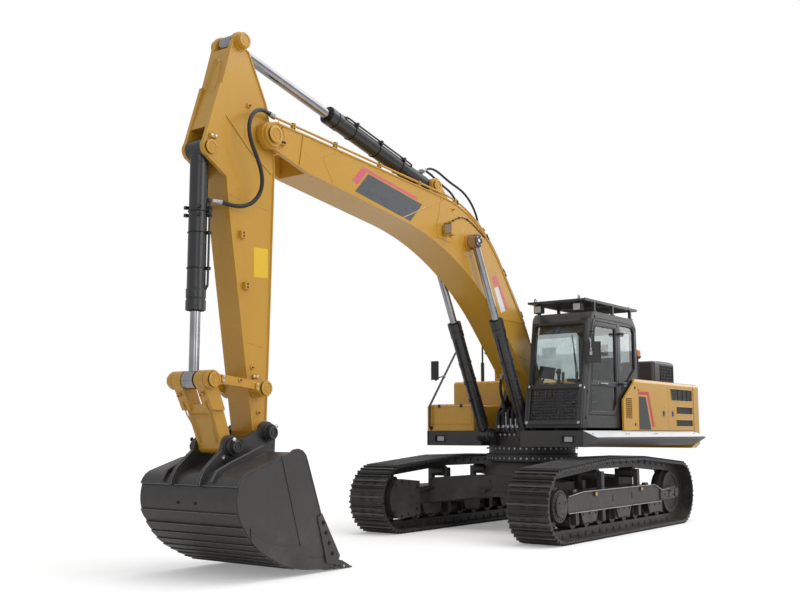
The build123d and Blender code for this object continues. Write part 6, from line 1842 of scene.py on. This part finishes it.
def dressRoof():
    grip, body, black, steel, amber = (bmesh.new() for _ in range(5))
    # walkway plates with raised studs, on the toolbox, the tank's rear and the house's top
    for low, high, left, right, z in ((0.02, 0.66, -1.44, -0.66, 1.8625),
                                      (-2.70, -1.84, -1.38, -0.96, 2.2405),
                                      (-1.70, -0.86, 0.52, 0.98, 2.2405)):
        centre = at((low + high) / 2, (left + right) / 2, z + 0.002)
        addBox(grip, centre, (high - low, right - left, 0.004))
        across, along = int((right - left) / 0.075), int((high - low) / 0.075)
        for i in range(along):
            for j in range(across):
                spot = at(low + (i + 0.5) * (high - low) / along,
                          left + (j + 0.5) * (right - left) / across, z + 0.004)
                addLathe(grip, spot, alongZ, [(0.016, 0), (0.012, 0.005), (0.006, 0.005), (0.004, 0.001),
                                              (0, 0.001)], 8)
    # box for the air intake: seam, grid on its rear part and cap
    for z in (2.33, 2.50):
        addSweep(black, [at(-1.9285, 0.68, z), at(-1.9285, 1.14, z)], 0.005, 8)
    gridX, gridY, gridLong = -2.472, 1.2135, 0.560
    for k in range(9):
        addBox(black, at(-2.20 - 0.068 * k, gridY, 2.410), (0.012, 0.014, 0.270))
    for k in range(6):
        addBox(black, at(gridX, gridY, 2.285 + 0.050 * k), (gridLong, 0.016, 0.011))
    for k in range(9):
        addBox(black, at(-2.20 - 0.068 * k, 0.907, 2.603), (0.012, 0.530, 0.012))
    for k in range(8):
        addBox(black, at(gridX, 0.660 + 0.071 * k, 2.604), (gridLong, 0.011, 0.012))
    # hood: catches, stop and swaged ribs
    for y in (-0.62, -0.165, 0.29):
        addSweep(body, [at(-2.62, y, 2.3465), at(-1.92, y, 2.3465)], 0.009, 10)
    for y in (-0.55, 0.22):
        addSidePlate(steel, ((-1.838, 2.262), (-1.800, 2.262), (-1.800, 2.300), (-1.838, 2.300)), y, 0.050)
    finishPieces(
        "hood",
        ("hoodRibs", body, "ochrePaint", "body_paint"),
        ("hoodCatches", steel, "blackPlastic", "hose_rubber", 0.003))
    # beacon on a stalk, and the tank's filler
    stalk, filler, cap = bmesh.new(), bmesh.new(), bmesh.new()
    beaconX, beaconY = -0.90, 1.380
    fillerX, fillerY = -0.62, -0.80
    addRod(stalk, at(beaconX, beaconY, 2.240), at(beaconX, beaconY, 2.585), 0.012, 16)
    addLathe(stalk, at(beaconX, beaconY, 2.2405), alongZ, [(0.040, 0), (0.040, 0.008), (0.014, 0.010)], 28)
    addLathe(stalk, at(beaconX, beaconY, 2.580), alongZ,
             [(0.020, -0.02), (0.052, 0), (0.052, 0.020), (0, 0.020)], 32)
    addLathe(amber, at(beaconX, beaconY, 2.600), alongZ,
             [(0.048, 0), (0.048, 0.060), (0.040, 0.088), (0.020, 0.098),
                                                                 (0, 0.099)], 32)
    addBox(filler, at(fillerX, fillerY, 2.350), (0.34, 0.26, 0.150))
    addBox(filler, at(fillerX, fillerY, 2.428), (0.36, 0.28, 0.012))
    addRod(filler, at(-0.448, -0.90, 2.405), at(-0.448, -0.70, 2.405), 0.008, 12)
    addBox(cap, at(-0.446, fillerY, 2.400), (0.010, 0.040, 0.030))
    for y in (-0.87, -0.73):
        addLathe(cap, at(-0.4495, y, 2.330), alongX, [(0.010, 0), (0.010, 0.004), (0, 0.004)], 16)
    # feet of the handrail
    for x, z, way in ((0.7005, 1.500, alongX), (-0.420, 2.272, alongZ)):
        addRing(stalk, at(x, -1.400, z), way, 0.026, 0.008, 28, 8)
    finishPieces(
        "house",
        ("walkwayPlates", grip, "gripPlate", "dark_paint"),
        ("intakeGrid", black, "blackPlastic", "console_plastic", 0.001, 1),
        ("beaconStalk", stalk, "blackPlastic", "hose_rubber"),
        ("beaconLens", amber, "amberLens", "console_plastic"),
        ("fillerBox", filler, "ochrePaint", "body_paint", 0.006),
        ("fillerCatch", cap, "blackPlastic", "hose_rubber", 0.002))


def dressFront():
    lens, frame, hoses, collars, blocks, lines = (bmesh.new() for _ in range(6))
    # lamps sunk in the front of the deck
    for x, y in ((1.165, 1.230), (0.675, -1.230)):
        addBox(frame, at(x + 0.004, y, 1.339), (0.006, 0.180, 0.084))
        addBox(lens, at(x + 0.012, y, 1.339), (0.014, 0.120, 0.070))
        for step in (-0.030, 0.0, 0.030):
            addBox(lens, at(x + 0.020, y + step, 1.339), (0.004, 0.006, 0.066))
        edge = roundedBox(y - 0.099, 1.291, y + 0.099, 1.387, 0.010)
        addSweep(frame, [at(x + 0.026, a, b) for a, b in edge + edge[:1]], 0.005, 8, False)
    # toolbox: groove line, hinges of the lid and two catches
    outline = roundedBox(-1.45, 1.560, -0.66, 1.835, 0.03)
    addSweep(lines, [at(0.7005, a, b) for a, b in outline + outline[:1]], 0.005, 8, False)
    for y in (-1.25, -0.84):
        addBox(blocks, at(0.704, y, 1.842), (0.010, 0.050, 0.050))
        addBox(blocks, at(0.711, y, 1.838), (0.008, 0.026, 0.030))
    # elbows of the boom's and swing's oil lines, on a plate in front of the boom foot
    addBox(blocks, at(0.470, 0.0, 1.4905), (0.150, 0.520, 0.065))
    for k in range(6):
        y = -0.205 + 0.082 * k
        reach = 0.06 + 0.025 * (k % 2)
        path = splineLine([at(0.470, y, 1.520), at(0.475, y, 1.640 + reach), at(0.530, y, 1.740 + reach),
                           at(0.640, y, 1.720 + reach), at(0.665, y + 0.01, 1.600),
                           at(0.655, y + 0.01, 1.475)])
        addSweep(hoses, path, 0.024, 14)
        for spot in (at(0.470, y, 1.540), at(0.657, y + 0.01, 1.500)):
            addLathe(collars, spot, alongZ, [(0, 0), (0.029, 0), (0.029, 0.018), (0.0255, 0.020),
                                             (0.0255, 0.044),
                                                        (0.0245, 0.046)], 20)
        addBox(blocks, at(0.620, y, 1.462), (0.085, 0.060, 0.030))
        addLathe(collars, at(0.600, y, 1.400), alongX,
                 [(0, 0), (0.020, 0.0), (0.020, 0.014), (0.012, 0.018), (0, 0.018)], 6)
    for y in (-0.245, 0.245):
        addPlate(blocks, [at(0.562, y, 1.26), at(0.562, y, 1.44), at(0.640, y, 1.44), at(0.640, y, 1.38)],
                 0.008, alongY)
    # beads round the boom foot's plates
    for sign in (1, -1):
        for y in (0.272, 0.338):
            addSweep(blocks, [at(-0.88, sign * y, 1.462), at(0.52, sign * y, 1.462)], 0.008, 6)
        addPinCap(blocks, at(0.100, sign * 0.3405, 2.020), Vector((0, sign, 0)), 0.085, 0.012)
    finishPieces(
        "house",
        ("deckLampLenses", lens, "lampLens", "console_plastic", 0.002),
        ("deckLampFrames", frame, "blackPlastic", "console_plastic", 0.001),
        ("frontElbows", hoses, "hoseRubber", "hose_rubber"),
        ("frontCollars", collars, "steelFitting", "undercarriage_paint"),
        ("frontBlocks", blocks, "charcoalPaint", "dark_paint", 0.002),
        ("toolboxLines", lines, "ochrePaint", "body_paint"))


# parts of the engine that show with the hood and doors open
def dressEngine():
    block, pipes = bmesh.new(), bmesh.new()
    addBox(block, at(-2.33, -0.08, 2.095), (0.56, 0.46, 0.030))
    for k in range(4):
        addBox(block, at(-2.52 + 0.128 * k, -0.08, 2.122), (0.090, 0.330, 0.034))
        addSweep(pipes, splineLine([at(-2.52 + 0.128 * k, 0.16, 2.10), at(-2.52 + 0.128 * k, 0.26, 2.135),
                                    at(-2.50 + 0.120 * k, 0.40, 2.120)]), 0.022, 12)
    addSweep(pipes, [at(-2.60, 0.41, 2.120), at(-2.05, 0.41, 2.120)], 0.036, 16)
    addLathe(pipes, at(-2.30, -0.36, 2.078), alongZ,
             [(0.075, 0), (0.075, 0.10), (0.055, 0.125), (0, 0.125)], 32)
    finishPieces(
        "house",
        ("engineTop", block, "charcoalPaint", "dark_paint", 0.008),
        ("enginePipes", pipes, "steelFitting", "undercarriage_paint"))


dressSteps(houseSetup)
dressDoors(houseSetup)
dressQuarterPanel()
dressCounterweight()
dressRoof()
dressFront()
dressEngine()
print("house dressed")


# ---- cab: seals, wiper, guard's fittings, handles, mirrors' glass and controls
cabSetup = {
    "frontX": 1.090, "kinkZ": 1.560, "lean": 0.1724, "middleY": 0.952, "outerY": 1.424, "paneWidth": 0.794,
    "frontPanes": ((0.265, 0.450), (0.985, 0.880)),
    "upperPane": ((0.775, 2.165), (0.662, 2.905), (0.610, 2.950), (0.005, 2.950), (0.005, 2.165)),
    "lowerPane": ((0.850, 1.745), (0.790, 2.095), (0.000, 2.095), (0.000, 1.830), (0.105, 1.745)),
    "doorEdge": ((0.924, 1.680), (0.841, 2.128), (0.700, 2.950), (0.640, 3.015), (-0.075, 3.015),
                 (-0.075, 1.795),
                 (0.072, 1.680)),
    "quarterPane": ((-0.175, 2.010), (-0.175, 3.020), (-0.620, 3.020), (-0.690, 2.950), (-0.690, 2.390)),
    "innerPane": ((0.880, 1.950), (0.700, 2.990), (-0.600, 3.020), (-0.690, 2.950), (-0.690, 1.950)),
}
frontUp = Vector((-cabSetup["lean"], 0, 1)).normalized()
frontOut = Vector((1, 0, cabSetup["lean"])).normalized()


# a point on the leaning front: across the cab, up from the kink, and out from the face
def onFront(y, up, out):
    return at(cabSetup["frontX"], y, cabSetup["kinkZ"]) + frontUp * up + frontOut * out


def closedSweep(shape, path, radius, sides=8):
    addSweep(shape, path + [path[0]], radius, sides, False)


def sideLoop(points, y, radius, steps=5):
    return [at(x, y, z) for x, z in roundedOutline(points, radius, steps)]


def dressCabShell(setup):
    seals, doorSeals, trim, bolts, plates, dark, zinc = (bmesh.new() for _ in range(7))
    middle, outer = setup["middleY"], setup["outerY"]
    for up, height in setup["frontPanes"]:
        half = setup["paneWidth"] / 2
        edge = roundedBox(middle - half, up - height / 2, middle + half, up + height / 2, 0.04)
        closedSweep(seals, [onFront(y, v, -0.020) for y, v in edge], 0.011)
        closedSweep(seals, [onFront(middle + (y - middle) * 1.012, up + (v - up) * 1.012, 0.002) for y,
                            v in edge], 0.007)
    closedSweep(seals, sideLoop(setup["quarterPane"], outer - 0.018, 0.02), 0.012)
    closedSweep(seals, sideLoop(setup["innerPane"], 0.500, 0.02), 0.012)
    rear = roundedBox(0.585, 2.325, 1.319, 2.955, 0.02)
    closedSweep(seals, [at(-0.752, y, z) for y, z in rear], 0.012)
    roof = roundedBox(-0.245, 0.677, 0.365, 1.227, 0.02)
    closedSweep(seals, [at(x, y, 3.116) for x, y in roof], 0.011)
    # rubber of the door's own panes and round its edge, and the raised frame about the upper pane
    for pane in (setup["upperPane"], setup["lowerPane"]):
        closedSweep(doorSeals, sideLoop(pane, outer - 0.014, 0.012), 0.009)
    closedSweep(doorSeals, sideLoop(insetOutline(setup["doorEdge"], 0.004), outer - 0.004, 0.03), 0.006)
    closedSweep(trim, sideLoop(insetOutline(setup["upperPane"], -0.026), outer + 0.001, 0.03), 0.005)
    closedSweep(trim, sideLoop(insetOutline(setup["lowerPane"], -0.022), outer + 0.001, 0.03), 0.005)
    addSidePlate(plates, roundedOutline(((0.560, 2.147), (0.560, 2.108), (0.330, 2.108), (0.330, 2.147)),
                                        0.010),
                 outer, 0.006)
    handle = ((0.535, 0.006), (0.520, 0.040), (0.470, 0.044), (0.400, 0.044), (0.365, 0.040),
              (0.352, 0.006))
    addSweep(zinc, splineLine([at(x, outer + off, 2.128) for x, off in handle]), 0.008, 12)
    addLathe(zinc, at(0.600, outer, 2.130), alongY,
             [(0.014, 0), (0.014, 0.006), (0.010, 0.009), (0, 0.009)], 24)
    finishPieces(
        "cab_door",
        ("doorSeals", doorSeals, "sealRubber", "hose_rubber"),
        ("doorFrameLines", trim, "charcoalPaint", "dark_paint"),
        ("doorHandlePlate", plates, "blackPlastic", "hose_rubber", 0.002),
        ("doorHandle", zinc, "steelFitting", "rod_chrome"))
    # covers, jacking points and bolts of the frame
    plates, zinc = bmesh.new(), bmesh.new()
    edge = ((0.985, 1.600), (0.985, 1.520), (0.880, 1.520), (0.880, 1.600))
    addSidePlate(plates, roundedOutline(edge, 0.012), outer, 0.004)
    closedSweep(plates, sideLoop(((0.990, 1.660), (0.990, 1.512), (-0.700, 1.512), (-0.700, 1.660)),
                                 outer + 0.0005, 0.02), 0.003)
    for x, z in ((1.020, 2.000), (1.030, 1.640), (0.660, 3.080), (-0.700, 3.000), (-0.730, 1.580)):
        addBolt(bolts, at(x - (0.1724 * (z - 1.56) if x > 1.0 else 0), outer, z), alongY, 0.014)
    for y in (0.546, 1.358):
        for v in (0.005, 0.525):
            addLathe(zinc, onFront(y, v, 0.032), frontOut,
                     [(0.022, 0), (0.022, 0.003), (0.016, 0.004), (0.016, 0.014),
                                                            (0.009, 0.017), (0, 0.017)], 24)
    addLathe(zinc, onFront(1.395, 0.50, -0.002), frontOut,
             [(0.020, 0), (0.020, 0.004), (0.013, 0.012), (0, 0.013)], 24)
    # gutter over the door, rear grab rail and the joint round the roof's crown
    gutter = ((0.880, -0.004, 2.30), (0.800, 0.002, 2.76), (0.735, 0.003, 3.02), (0.660, 0.003, 3.065),
              (0.30, 0.003, 3.068), (-0.30, 0.003, 3.068), (-0.66, 0.003, 3.060), (-0.735, -0.004, 2.96))
    addSweep(plates, splineLine([at(x, outer + off, z) for x, off, z in gutter]), 0.008, 10)
    rail = ((-0.770, 2.06), (-0.815, 2.07), (-0.822, 2.14), (-0.822, 2.60), (-0.815, 2.68), (-0.770, 2.69))
    addSweep(plates, splineLine([at(x, 1.330, z) for x, z in rail]), 0.012, 12)
    for y in (0.60, 1.30):
        addSweep(dark, [at(-0.60, y, 3.151), at(0.62, y, 3.151)], 0.007, 8)
    # wiper on its spindle, parked beside the pillar
    addLathe(dark, onFront(1.250, 0.528, -0.010), frontOut,
             [(0.030, 0), (0.030, 0.014), (0.016, 0.026), (0, 0.026)], 24)
    addSweep(dark, [onFront(1.250, 0.530, 0.014), onFront(1.285, 0.62, 0.016), onFront(1.215, 1.02, 0.006)],
             0.007, 8)
    addSweep(dark, [onFront(1.275, 0.74, -0.012), onFront(1.160, 1.26, -0.012)], 0.008, 8)
    for share in (0.2, 0.8):
        addSweep(dark, [onFront(1.275 - 0.115 * share, 0.74 + 0.52 * share, -0.012),
                        onFront(1.216, 1.01, 0.004)], 0.004, 8)
    finishPieces(
        "house",
        ("cabSeals", seals, "sealRubber", "hose_rubber"),
        ("cabBolts", bolts, "blackBolt", "dark_paint"),
        ("cabPlates", plates, "charcoalPaint", "dark_paint", 0.001, 1),
        ("guardBolts", zinc, "zincBolt", "rod_chrome"),
        ("wiper", dark, "blackPlastic", "hose_rubber"))


def dressGuardAndMirrors():
    lamps, lens, hooks, glass, stay = (bmesh.new() for _ in range(5))
    lampZ, glassHalf, glassDeep = 3.205, 0.139, 0.0145
    for y in (0.640, 1.270):
        addBox(lamps, at(0.870, y, lampZ), (0.090, 0.125, 0.110))
        addBox(lamps, at(0.806, y, lampZ), (0.040, 0.095, 0.080))
        addBox(lamps, at(0.850, y, 3.272), (0.030, 0.034, 0.026))
        addBox(lens, at(0.917, y, lampZ), (0.006, 0.105, 0.090))
        for step in (-0.028, 0.0, 0.028):
            addBox(lens, at(0.921, y + step, lampZ), (0.003, 0.005, 0.086))
    for x, y in ((0.900, 0.600), (0.900, 1.300), (-0.790, 0.600), (-0.790, 1.300)):
        addRing(hooks, at(x, y, 3.338), alongY, 0.024, 0.007, 28, 8)
        addBox(hooks, at(x, y, 3.317), (0.060, 0.030, 0.006))
    for y in (0.506, 1.414):
        addSweep(hooks, [at(0.948, y, 3.3155), at(-0.838, y, 3.3155)], 0.006, 8)
    for x in (0.640, 0.030, -0.600):
        for y in (0.520, 1.400):
            addBox(hooks, at(x, y, 3.1535), (0.090, 0.060, 0.008))
            addBolt(hooks, at(x + 0.032, y, 3.157), alongZ, 0.010)
    # glass on the mirrors' rear faces, the bent stay in front of the left one and its clamp
    face = Vector((math.cos(math.radians(45)), math.sin(math.radians(45)), 0))
    side = Vector((-face.y, face.x, 0))
    turn = Matrix((face, side, alongZ)).transposed().to_4x4()
    head = at(0.885, 1.492, 2.550)
    addBox(glass, head - face * 0.0150, (0.002, 0.196, 0.268), turn)
    rim = roundedBox(-0.104, -glassHalf, 0.104, glassHalf, 0.02)
    closedSweep(lamps, [head - face * glassDeep + side * a + Vector((0, 0, b)) for a, b in rim], 0.005)
    closedSweep(lamps, [head + face * 0.0140 + side * a * 0.9 + Vector((0, 0, b * 0.93)) for a, b in rim],
                0.004)
    addSweep(stay, splineLine([at(0.868, 1.430, 2.700), at(0.905, 1.455, 2.745),
                               head + face * 0.032 - side * 0.060 + Vector((0, 0, 0.19)),
                               head + face * 0.034 - side * 0.044 + Vector((0, 0, 0.160)),
                               head + face * 0.034 - side * 0.044 + Vector((0, 0, -0.030))]), 0.007, 12)
    addBox(stay, head + face * 0.024 - side * 0.044 + Vector((0, 0, -0.020)), (0.024, 0.040, 0.050), turn)
    addBox(stay, head + face * 0.024 - side * 0.044 + Vector((0, 0, 0.040)), (0.022, 0.026, 0.020), turn)
    right = at(0.470, -1.490, 2.420)
    addBox(glass, right - alongX * 0.0150, (0.002, 0.112, 0.268))
    rim = roundedBox(-0.062, -glassHalf, 0.062, glassHalf, 0.02)
    closedSweep(lamps, [right - alongX * glassDeep + Vector((0, a, b)) for a, b in rim], 0.005)
    addBox(stay, at(0.342, -1.405, 2.321), (0.044, 0.044, 0.030),
           Matrix.Rotation(math.radians(-40), 4, "Y"))
    finishPieces(
        "house",
        ("guardLamps", lamps, "blackPlastic", "console_plastic", 0.002),
        ("guardLampLenses", lens, "lampLens", "rod_chrome"),
        ("guardHooks", hooks, "charcoalPaint", "dark_paint"),
        ("mirrorFaces", glass, "mirrorGlass", "rod_chrome"),
        ("mirrorStays", stay, "steelFitting", "undercarriage_paint", 0.001))


# ---- controls: levers' boots and grips, switches, screen, pedals' treads, mat and lining
def dressControls(setup):
    black, grey, silver, screen = (bmesh.new() for _ in range(4))
    middle = setup["middleY"]
    for y in (0.630, 1.274):
        addLathe(black, at(0.280, y, 2.120), alongZ,
                 [(0.055, 0), (0.055, 0.012), (0.042, 0.020), (0.048, 0.032),
                                                                (0.036, 0.042), (0.042, 0.054),
                  (0.030, 0.066), (0.034, 0.076),
                                                                (0.020, 0.090), (0, 0.090)], 32)
        addLathe(black, at(0.280, y, 2.205), Vector((-0.1, 0, 1)),
                 [(0.016, 0), (0.022, 0.02), (0.026, 0.08), (0.030, 0.115),
                                                                    (0.034, 0.150), (0.026, 0.172),
                  (0, 0.178)], 24)
        for step in (-0.012, 0.012):
            addLathe(silver, at(0.262, y + step, 2.378), alongZ, [(0.006, 0), (0.006, 0.004), (0, 0.005)],
                     16)
        for k in range(5):
            addBox(grey, at(-0.160 + 0.055 * k, y, 2.150), (0.034, 0.060, 0.012))
            addBox(black, at(-0.160 + 0.055 * k, y, 2.159), (0.024, 0.028, 0.010))
        addBox(black, at(-0.210, y, 2.225), (0.300, 0.075, 0.045))
    for y in (middle - 0.110, middle + 0.110):
        addLathe(black, at(0.548, y, 2.200), Vector((-0.08, 0, 1)),
                 [(0.014, 0), (0.020, 0.01), (0.022, 0.09), (0.014, 0.11),
                                                                     (0, 0.112)], 20)
        for k in range(5):
            addBox(black, at(0.650 + 0.028 * k, y, 1.590 + 0.011 * k), (0.008, 0.098, 0.012))
    # screen on the inner front pillar, floor mat and the headlining's panel
    tilt = Matrix.Rotation(math.radians(-20), 4, "Y") @ Matrix.Rotation(math.radians(25), 4, "Z")
    addBox(black, at(0.640, 0.630, 2.300), (0.050, 0.230, 0.170), tilt)
    addBox(screen, at(0.613, 0.618, 2.302), (0.004, 0.190, 0.125), tilt)
    addSweep(black, [at(0.660, 0.600, 2.240), at(0.720, 0.570, 2.120)], 0.014, 12)
    addBox(grey, at(0.380, middle, 1.5630), (0.800, 0.560, 0.008))
    for k in range(12):
        addBox(grey, at(0.040 + 0.062 * k, middle, 1.569), (0.012, 0.520, 0.005))
    addPlate(grey, [onFront(0.600, 1.445, -0.075), onFront(1.304, 1.445, -0.075),
                    onFront(1.304, 1.315, -0.066),
                    onFront(0.600, 1.315, -0.066)], 0.004, -frontOut)
    finishPieces(
        "house",
        ("cabControls", black, "blackPlastic", "console_plastic", 0.003),
        ("cabSwitches", grey, "panelGrey", "console_plastic", 0.002),
        ("cabButtons", silver, "steelFitting", "rod_chrome"),
        ("cabScreen", screen, "panelBlack", "tinted_glass", 0.002))


dressCabShell(cabSetup)
dressGuardAndMirrors()
dressControls(cabSetup)
print("cab dressed")


# ---- seat: three stuffed pads in woven cloth, on a sprung base
seatY = cabSetup["middleY"]
padSetup = {
    "voxel": 0.009, "cap": 0.012, "frames": 20, "pressure": 4.0,
    # centre, half sizes along the pad's own axes, lean about the width, channels, stiffness of fill
    "pads": (("seatPad", (-0.105, seatY, 1.966), (0.282, 0.232, 0.050), 2.0, (-0.12, 0.02, 0.15), 0.75),
             ("backPad", (-0.432, seatY, 2.278), (0.286, 0.222, 0.058), 97.5, (-0.17, -0.04, 0.09), 0.7),
             ("headPad", (-0.484, seatY, 2.688), (0.090, 0.128, 0.036), 93.0, (), 0.75)),
}


# closed crowned form: sides drawn in between the corners, faces domed, edges rolled
def padMesh(half, cells=14):
    shape = bmesh.new()
    bmesh.ops.create_cube(shape, size=2)
    bmesh.ops.subdivide_edges(shape, edges=shape.edges, cuts=cells, use_grid_fill=True)
    for vert in shape.verts:
        u, v, w = vert.co
        roll = 1 - 0.075 * abs(w) ** 3
        x = half[0] * u * roll * (1 - 0.045 * (1 - v * v))
        y = half[1] * v * roll * (1 - 0.055 * (1 - u * u))
        edge = max(abs(u), abs(v))
        z = half[2] * w * (0.66 + 0.34 * math.sqrt(max(0.0,
                                                       1 - edge ** 5)) + 0.10 * (1 - u * u) * (1 - v * v))
        vert.co = (x, y, z)
    return shape


def inflatePad(piece, setup):
    start = [v.co.copy() for v in piece.data.vertices]
    cloth = piece.modifiers.new("stuffing", "CLOTH")
    cloth.settings.quality = 4
    cloth.settings.mass = 0.4
    cloth.settings.tension_stiffness = 25
    cloth.settings.compression_stiffness = 25
    cloth.settings.bending_stiffness = 2
    cloth.settings.use_pressure = True
    cloth.settings.uniform_pressure_force = setup["pressure"]
    cloth.settings.effector_weights.gravity = 0
    cloth.collision_settings.use_collision = False
    scene = bpy.context.scene
    scene.frame_start, scene.frame_end = 1, setup["frames"]
    cloth.point_cache.frame_start, cloth.point_cache.frame_end = 1, setup["frames"]
    for frameNumber in range(1, setup["frames"] + 1):
        scene.frame_set(frameNumber)
    settled = piece.evaluated_get(bpy.context.evaluated_depsgraph_get())
    grown = [v.co.copy() for v in settled.data.vertices]
    piece.modifiers.remove(cloth)
    scene.frame_set(1)
    for vert, before, after in zip(piece.data.vertices, start, grown):
        move = after - before
        if move.length > setup["cap"]:
            move = move.normalized() * setup["cap"]
        vert.co = before + move


def makePad(setup, name, centre, half, lean, channels, fill):
    shape = padMesh(half)
    mesh = bpy.data.meshes.new(name)
    shape.to_mesh(mesh)
    shape.free()
    mesh.materials.append(finish["seatCloth"])
    piece = bpy.data.objects.new(name, mesh)
    bpy.context.scene.collection.objects.link(piece)
    remesh = piece.modifiers.new("evenCells", "REMESH")
    remesh.mode, remesh.voxel_size = "VOXEL", setup["voxel"]
    flat = bpy.data.meshes.new_from_object(piece.evaluated_get(bpy.context.evaluated_depsgraph_get()))
    piece.modifiers.remove(remesh)
    piece.data = flat
    inflatePad(piece, setup)
    # sewn channels across the front face
    top = max(v.co.z for v in piece.data.vertices)
    for vert in piece.data.vertices:
        if vert.co.z > top * 0.35:
            for place in channels:
                dip = 0.009 * math.exp(-((vert.co.x - place) / 0.0085) ** 2)
                vert.co.z -= dip * min(1.0, vert.co.z / top)
    smooth = piece.modifiers.new("roundForm", "SUBSURF")
    smooth.levels = smooth.render_levels = 1
    piece.data.shade_smooth()
    tree = BVHTree.FromObject(piece, bpy.context.evaluated_depsgraph_get())
    place = Matrix.Translation(at(*centre)) @ Matrix.Rotation(math.radians(-lean), 4, "Y")
    seam, thread = bmesh.new(), bmesh.new()
    # piping round the edge, laid on the stuffed surface
    loop = []
    for k in range(120):
        a = 2 * math.pi * k / 120
        away = Vector((math.cos(a), math.sin(a), 0))
        hit = tree.ray_cast(Vector((0, 0, half[2] * 0.30)), away)
        loop.append(place @ (hit[0] + away * 0.0005))
    closedSweep(seam, loop, 0.0042)
    for x in channels:
        line = []
        for k in range(31):
            y = half[1] * 0.84 * (k / 15 - 1)
            hit = tree.ray_cast(Vector((x, y, 0.3)), Vector((0, 0, -1)))
            if hit[0]:
                line.append(place @ (hit[0] + Vector((0, 0, 0.0004))))
        addSweep(thread, line, 0.0012, 6)
    piece.matrix_world = place
    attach(piece, "house")
    finishPiece(name + "Piping", seam, "sealRubber", "house", "seat_fabric")
    if channels:
        finishPiece(name + "Stitches", thread, "panelGrey", "house", "seat_fabric")
    else:
        thread.free()
    return piece


def makeSeatBase():
    black, steel, bellows = bmesh.new(), bmesh.new(), bmesh.new()
    addBox(black, at(-0.105, seatY, 1.902), (0.500, 0.420, 0.022))
    backLean = Matrix.Rotation(math.radians(-7.5), 4, "Y")
    addBox(black, at(-0.502, seatY, 2.290), (0.022, 0.400, 0.560), backLean)
    addBox(black, at(-0.100, seatY, 1.572), (0.460, 0.340, 0.028))
    for k in range(9):
        wide = 0.0 if k % 2 else 0.024
        addBox(bellows, at(-0.100, seatY, 1.600 + 0.0315 * k), (0.400 + wide, 0.286 + wide, 0.0325))
    for y in (0.780, 1.124):
        addBox(steel, at(-0.105, y, 1.884), (0.480, 0.026, 0.016))
        addRod(steel, at(-0.360, y, 1.930), at(-0.440, y, 2.030), 0.016, 16)
        addLathe(black, at(-0.400, y + (0.02 if y > 1 else -0.02), 1.975),
                 Vector((0, 1 if y > 1 else -1, 0)),
                 [(0.040, -0.02), (0.040, 0.012), (0.030, 0.020), (0, 0.020)], 28)
    for step in (-0.050, 0.050):
        addRod(steel, at(-0.478, seatY + step, 2.540), at(-0.486, seatY + step, 2.640), 0.007, 16)
    addRod(steel, at(0.120, 0.860, 1.892), at(0.120, 1.044, 1.892), 0.006, 12)
    finishPieces(
        "house",
        ("seatShell", black, "blackPlastic", "console_plastic", 0.006),
        ("seatBellows", bellows, "sealRubber", "hose_rubber", 0.006),
        ("seatRails", steel, "steelFitting", "rod_chrome"))


seatPads = [makePad(padSetup, *row) for row in padSetup["pads"]]
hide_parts("seat")
makeSeatBase()
print("seat made")
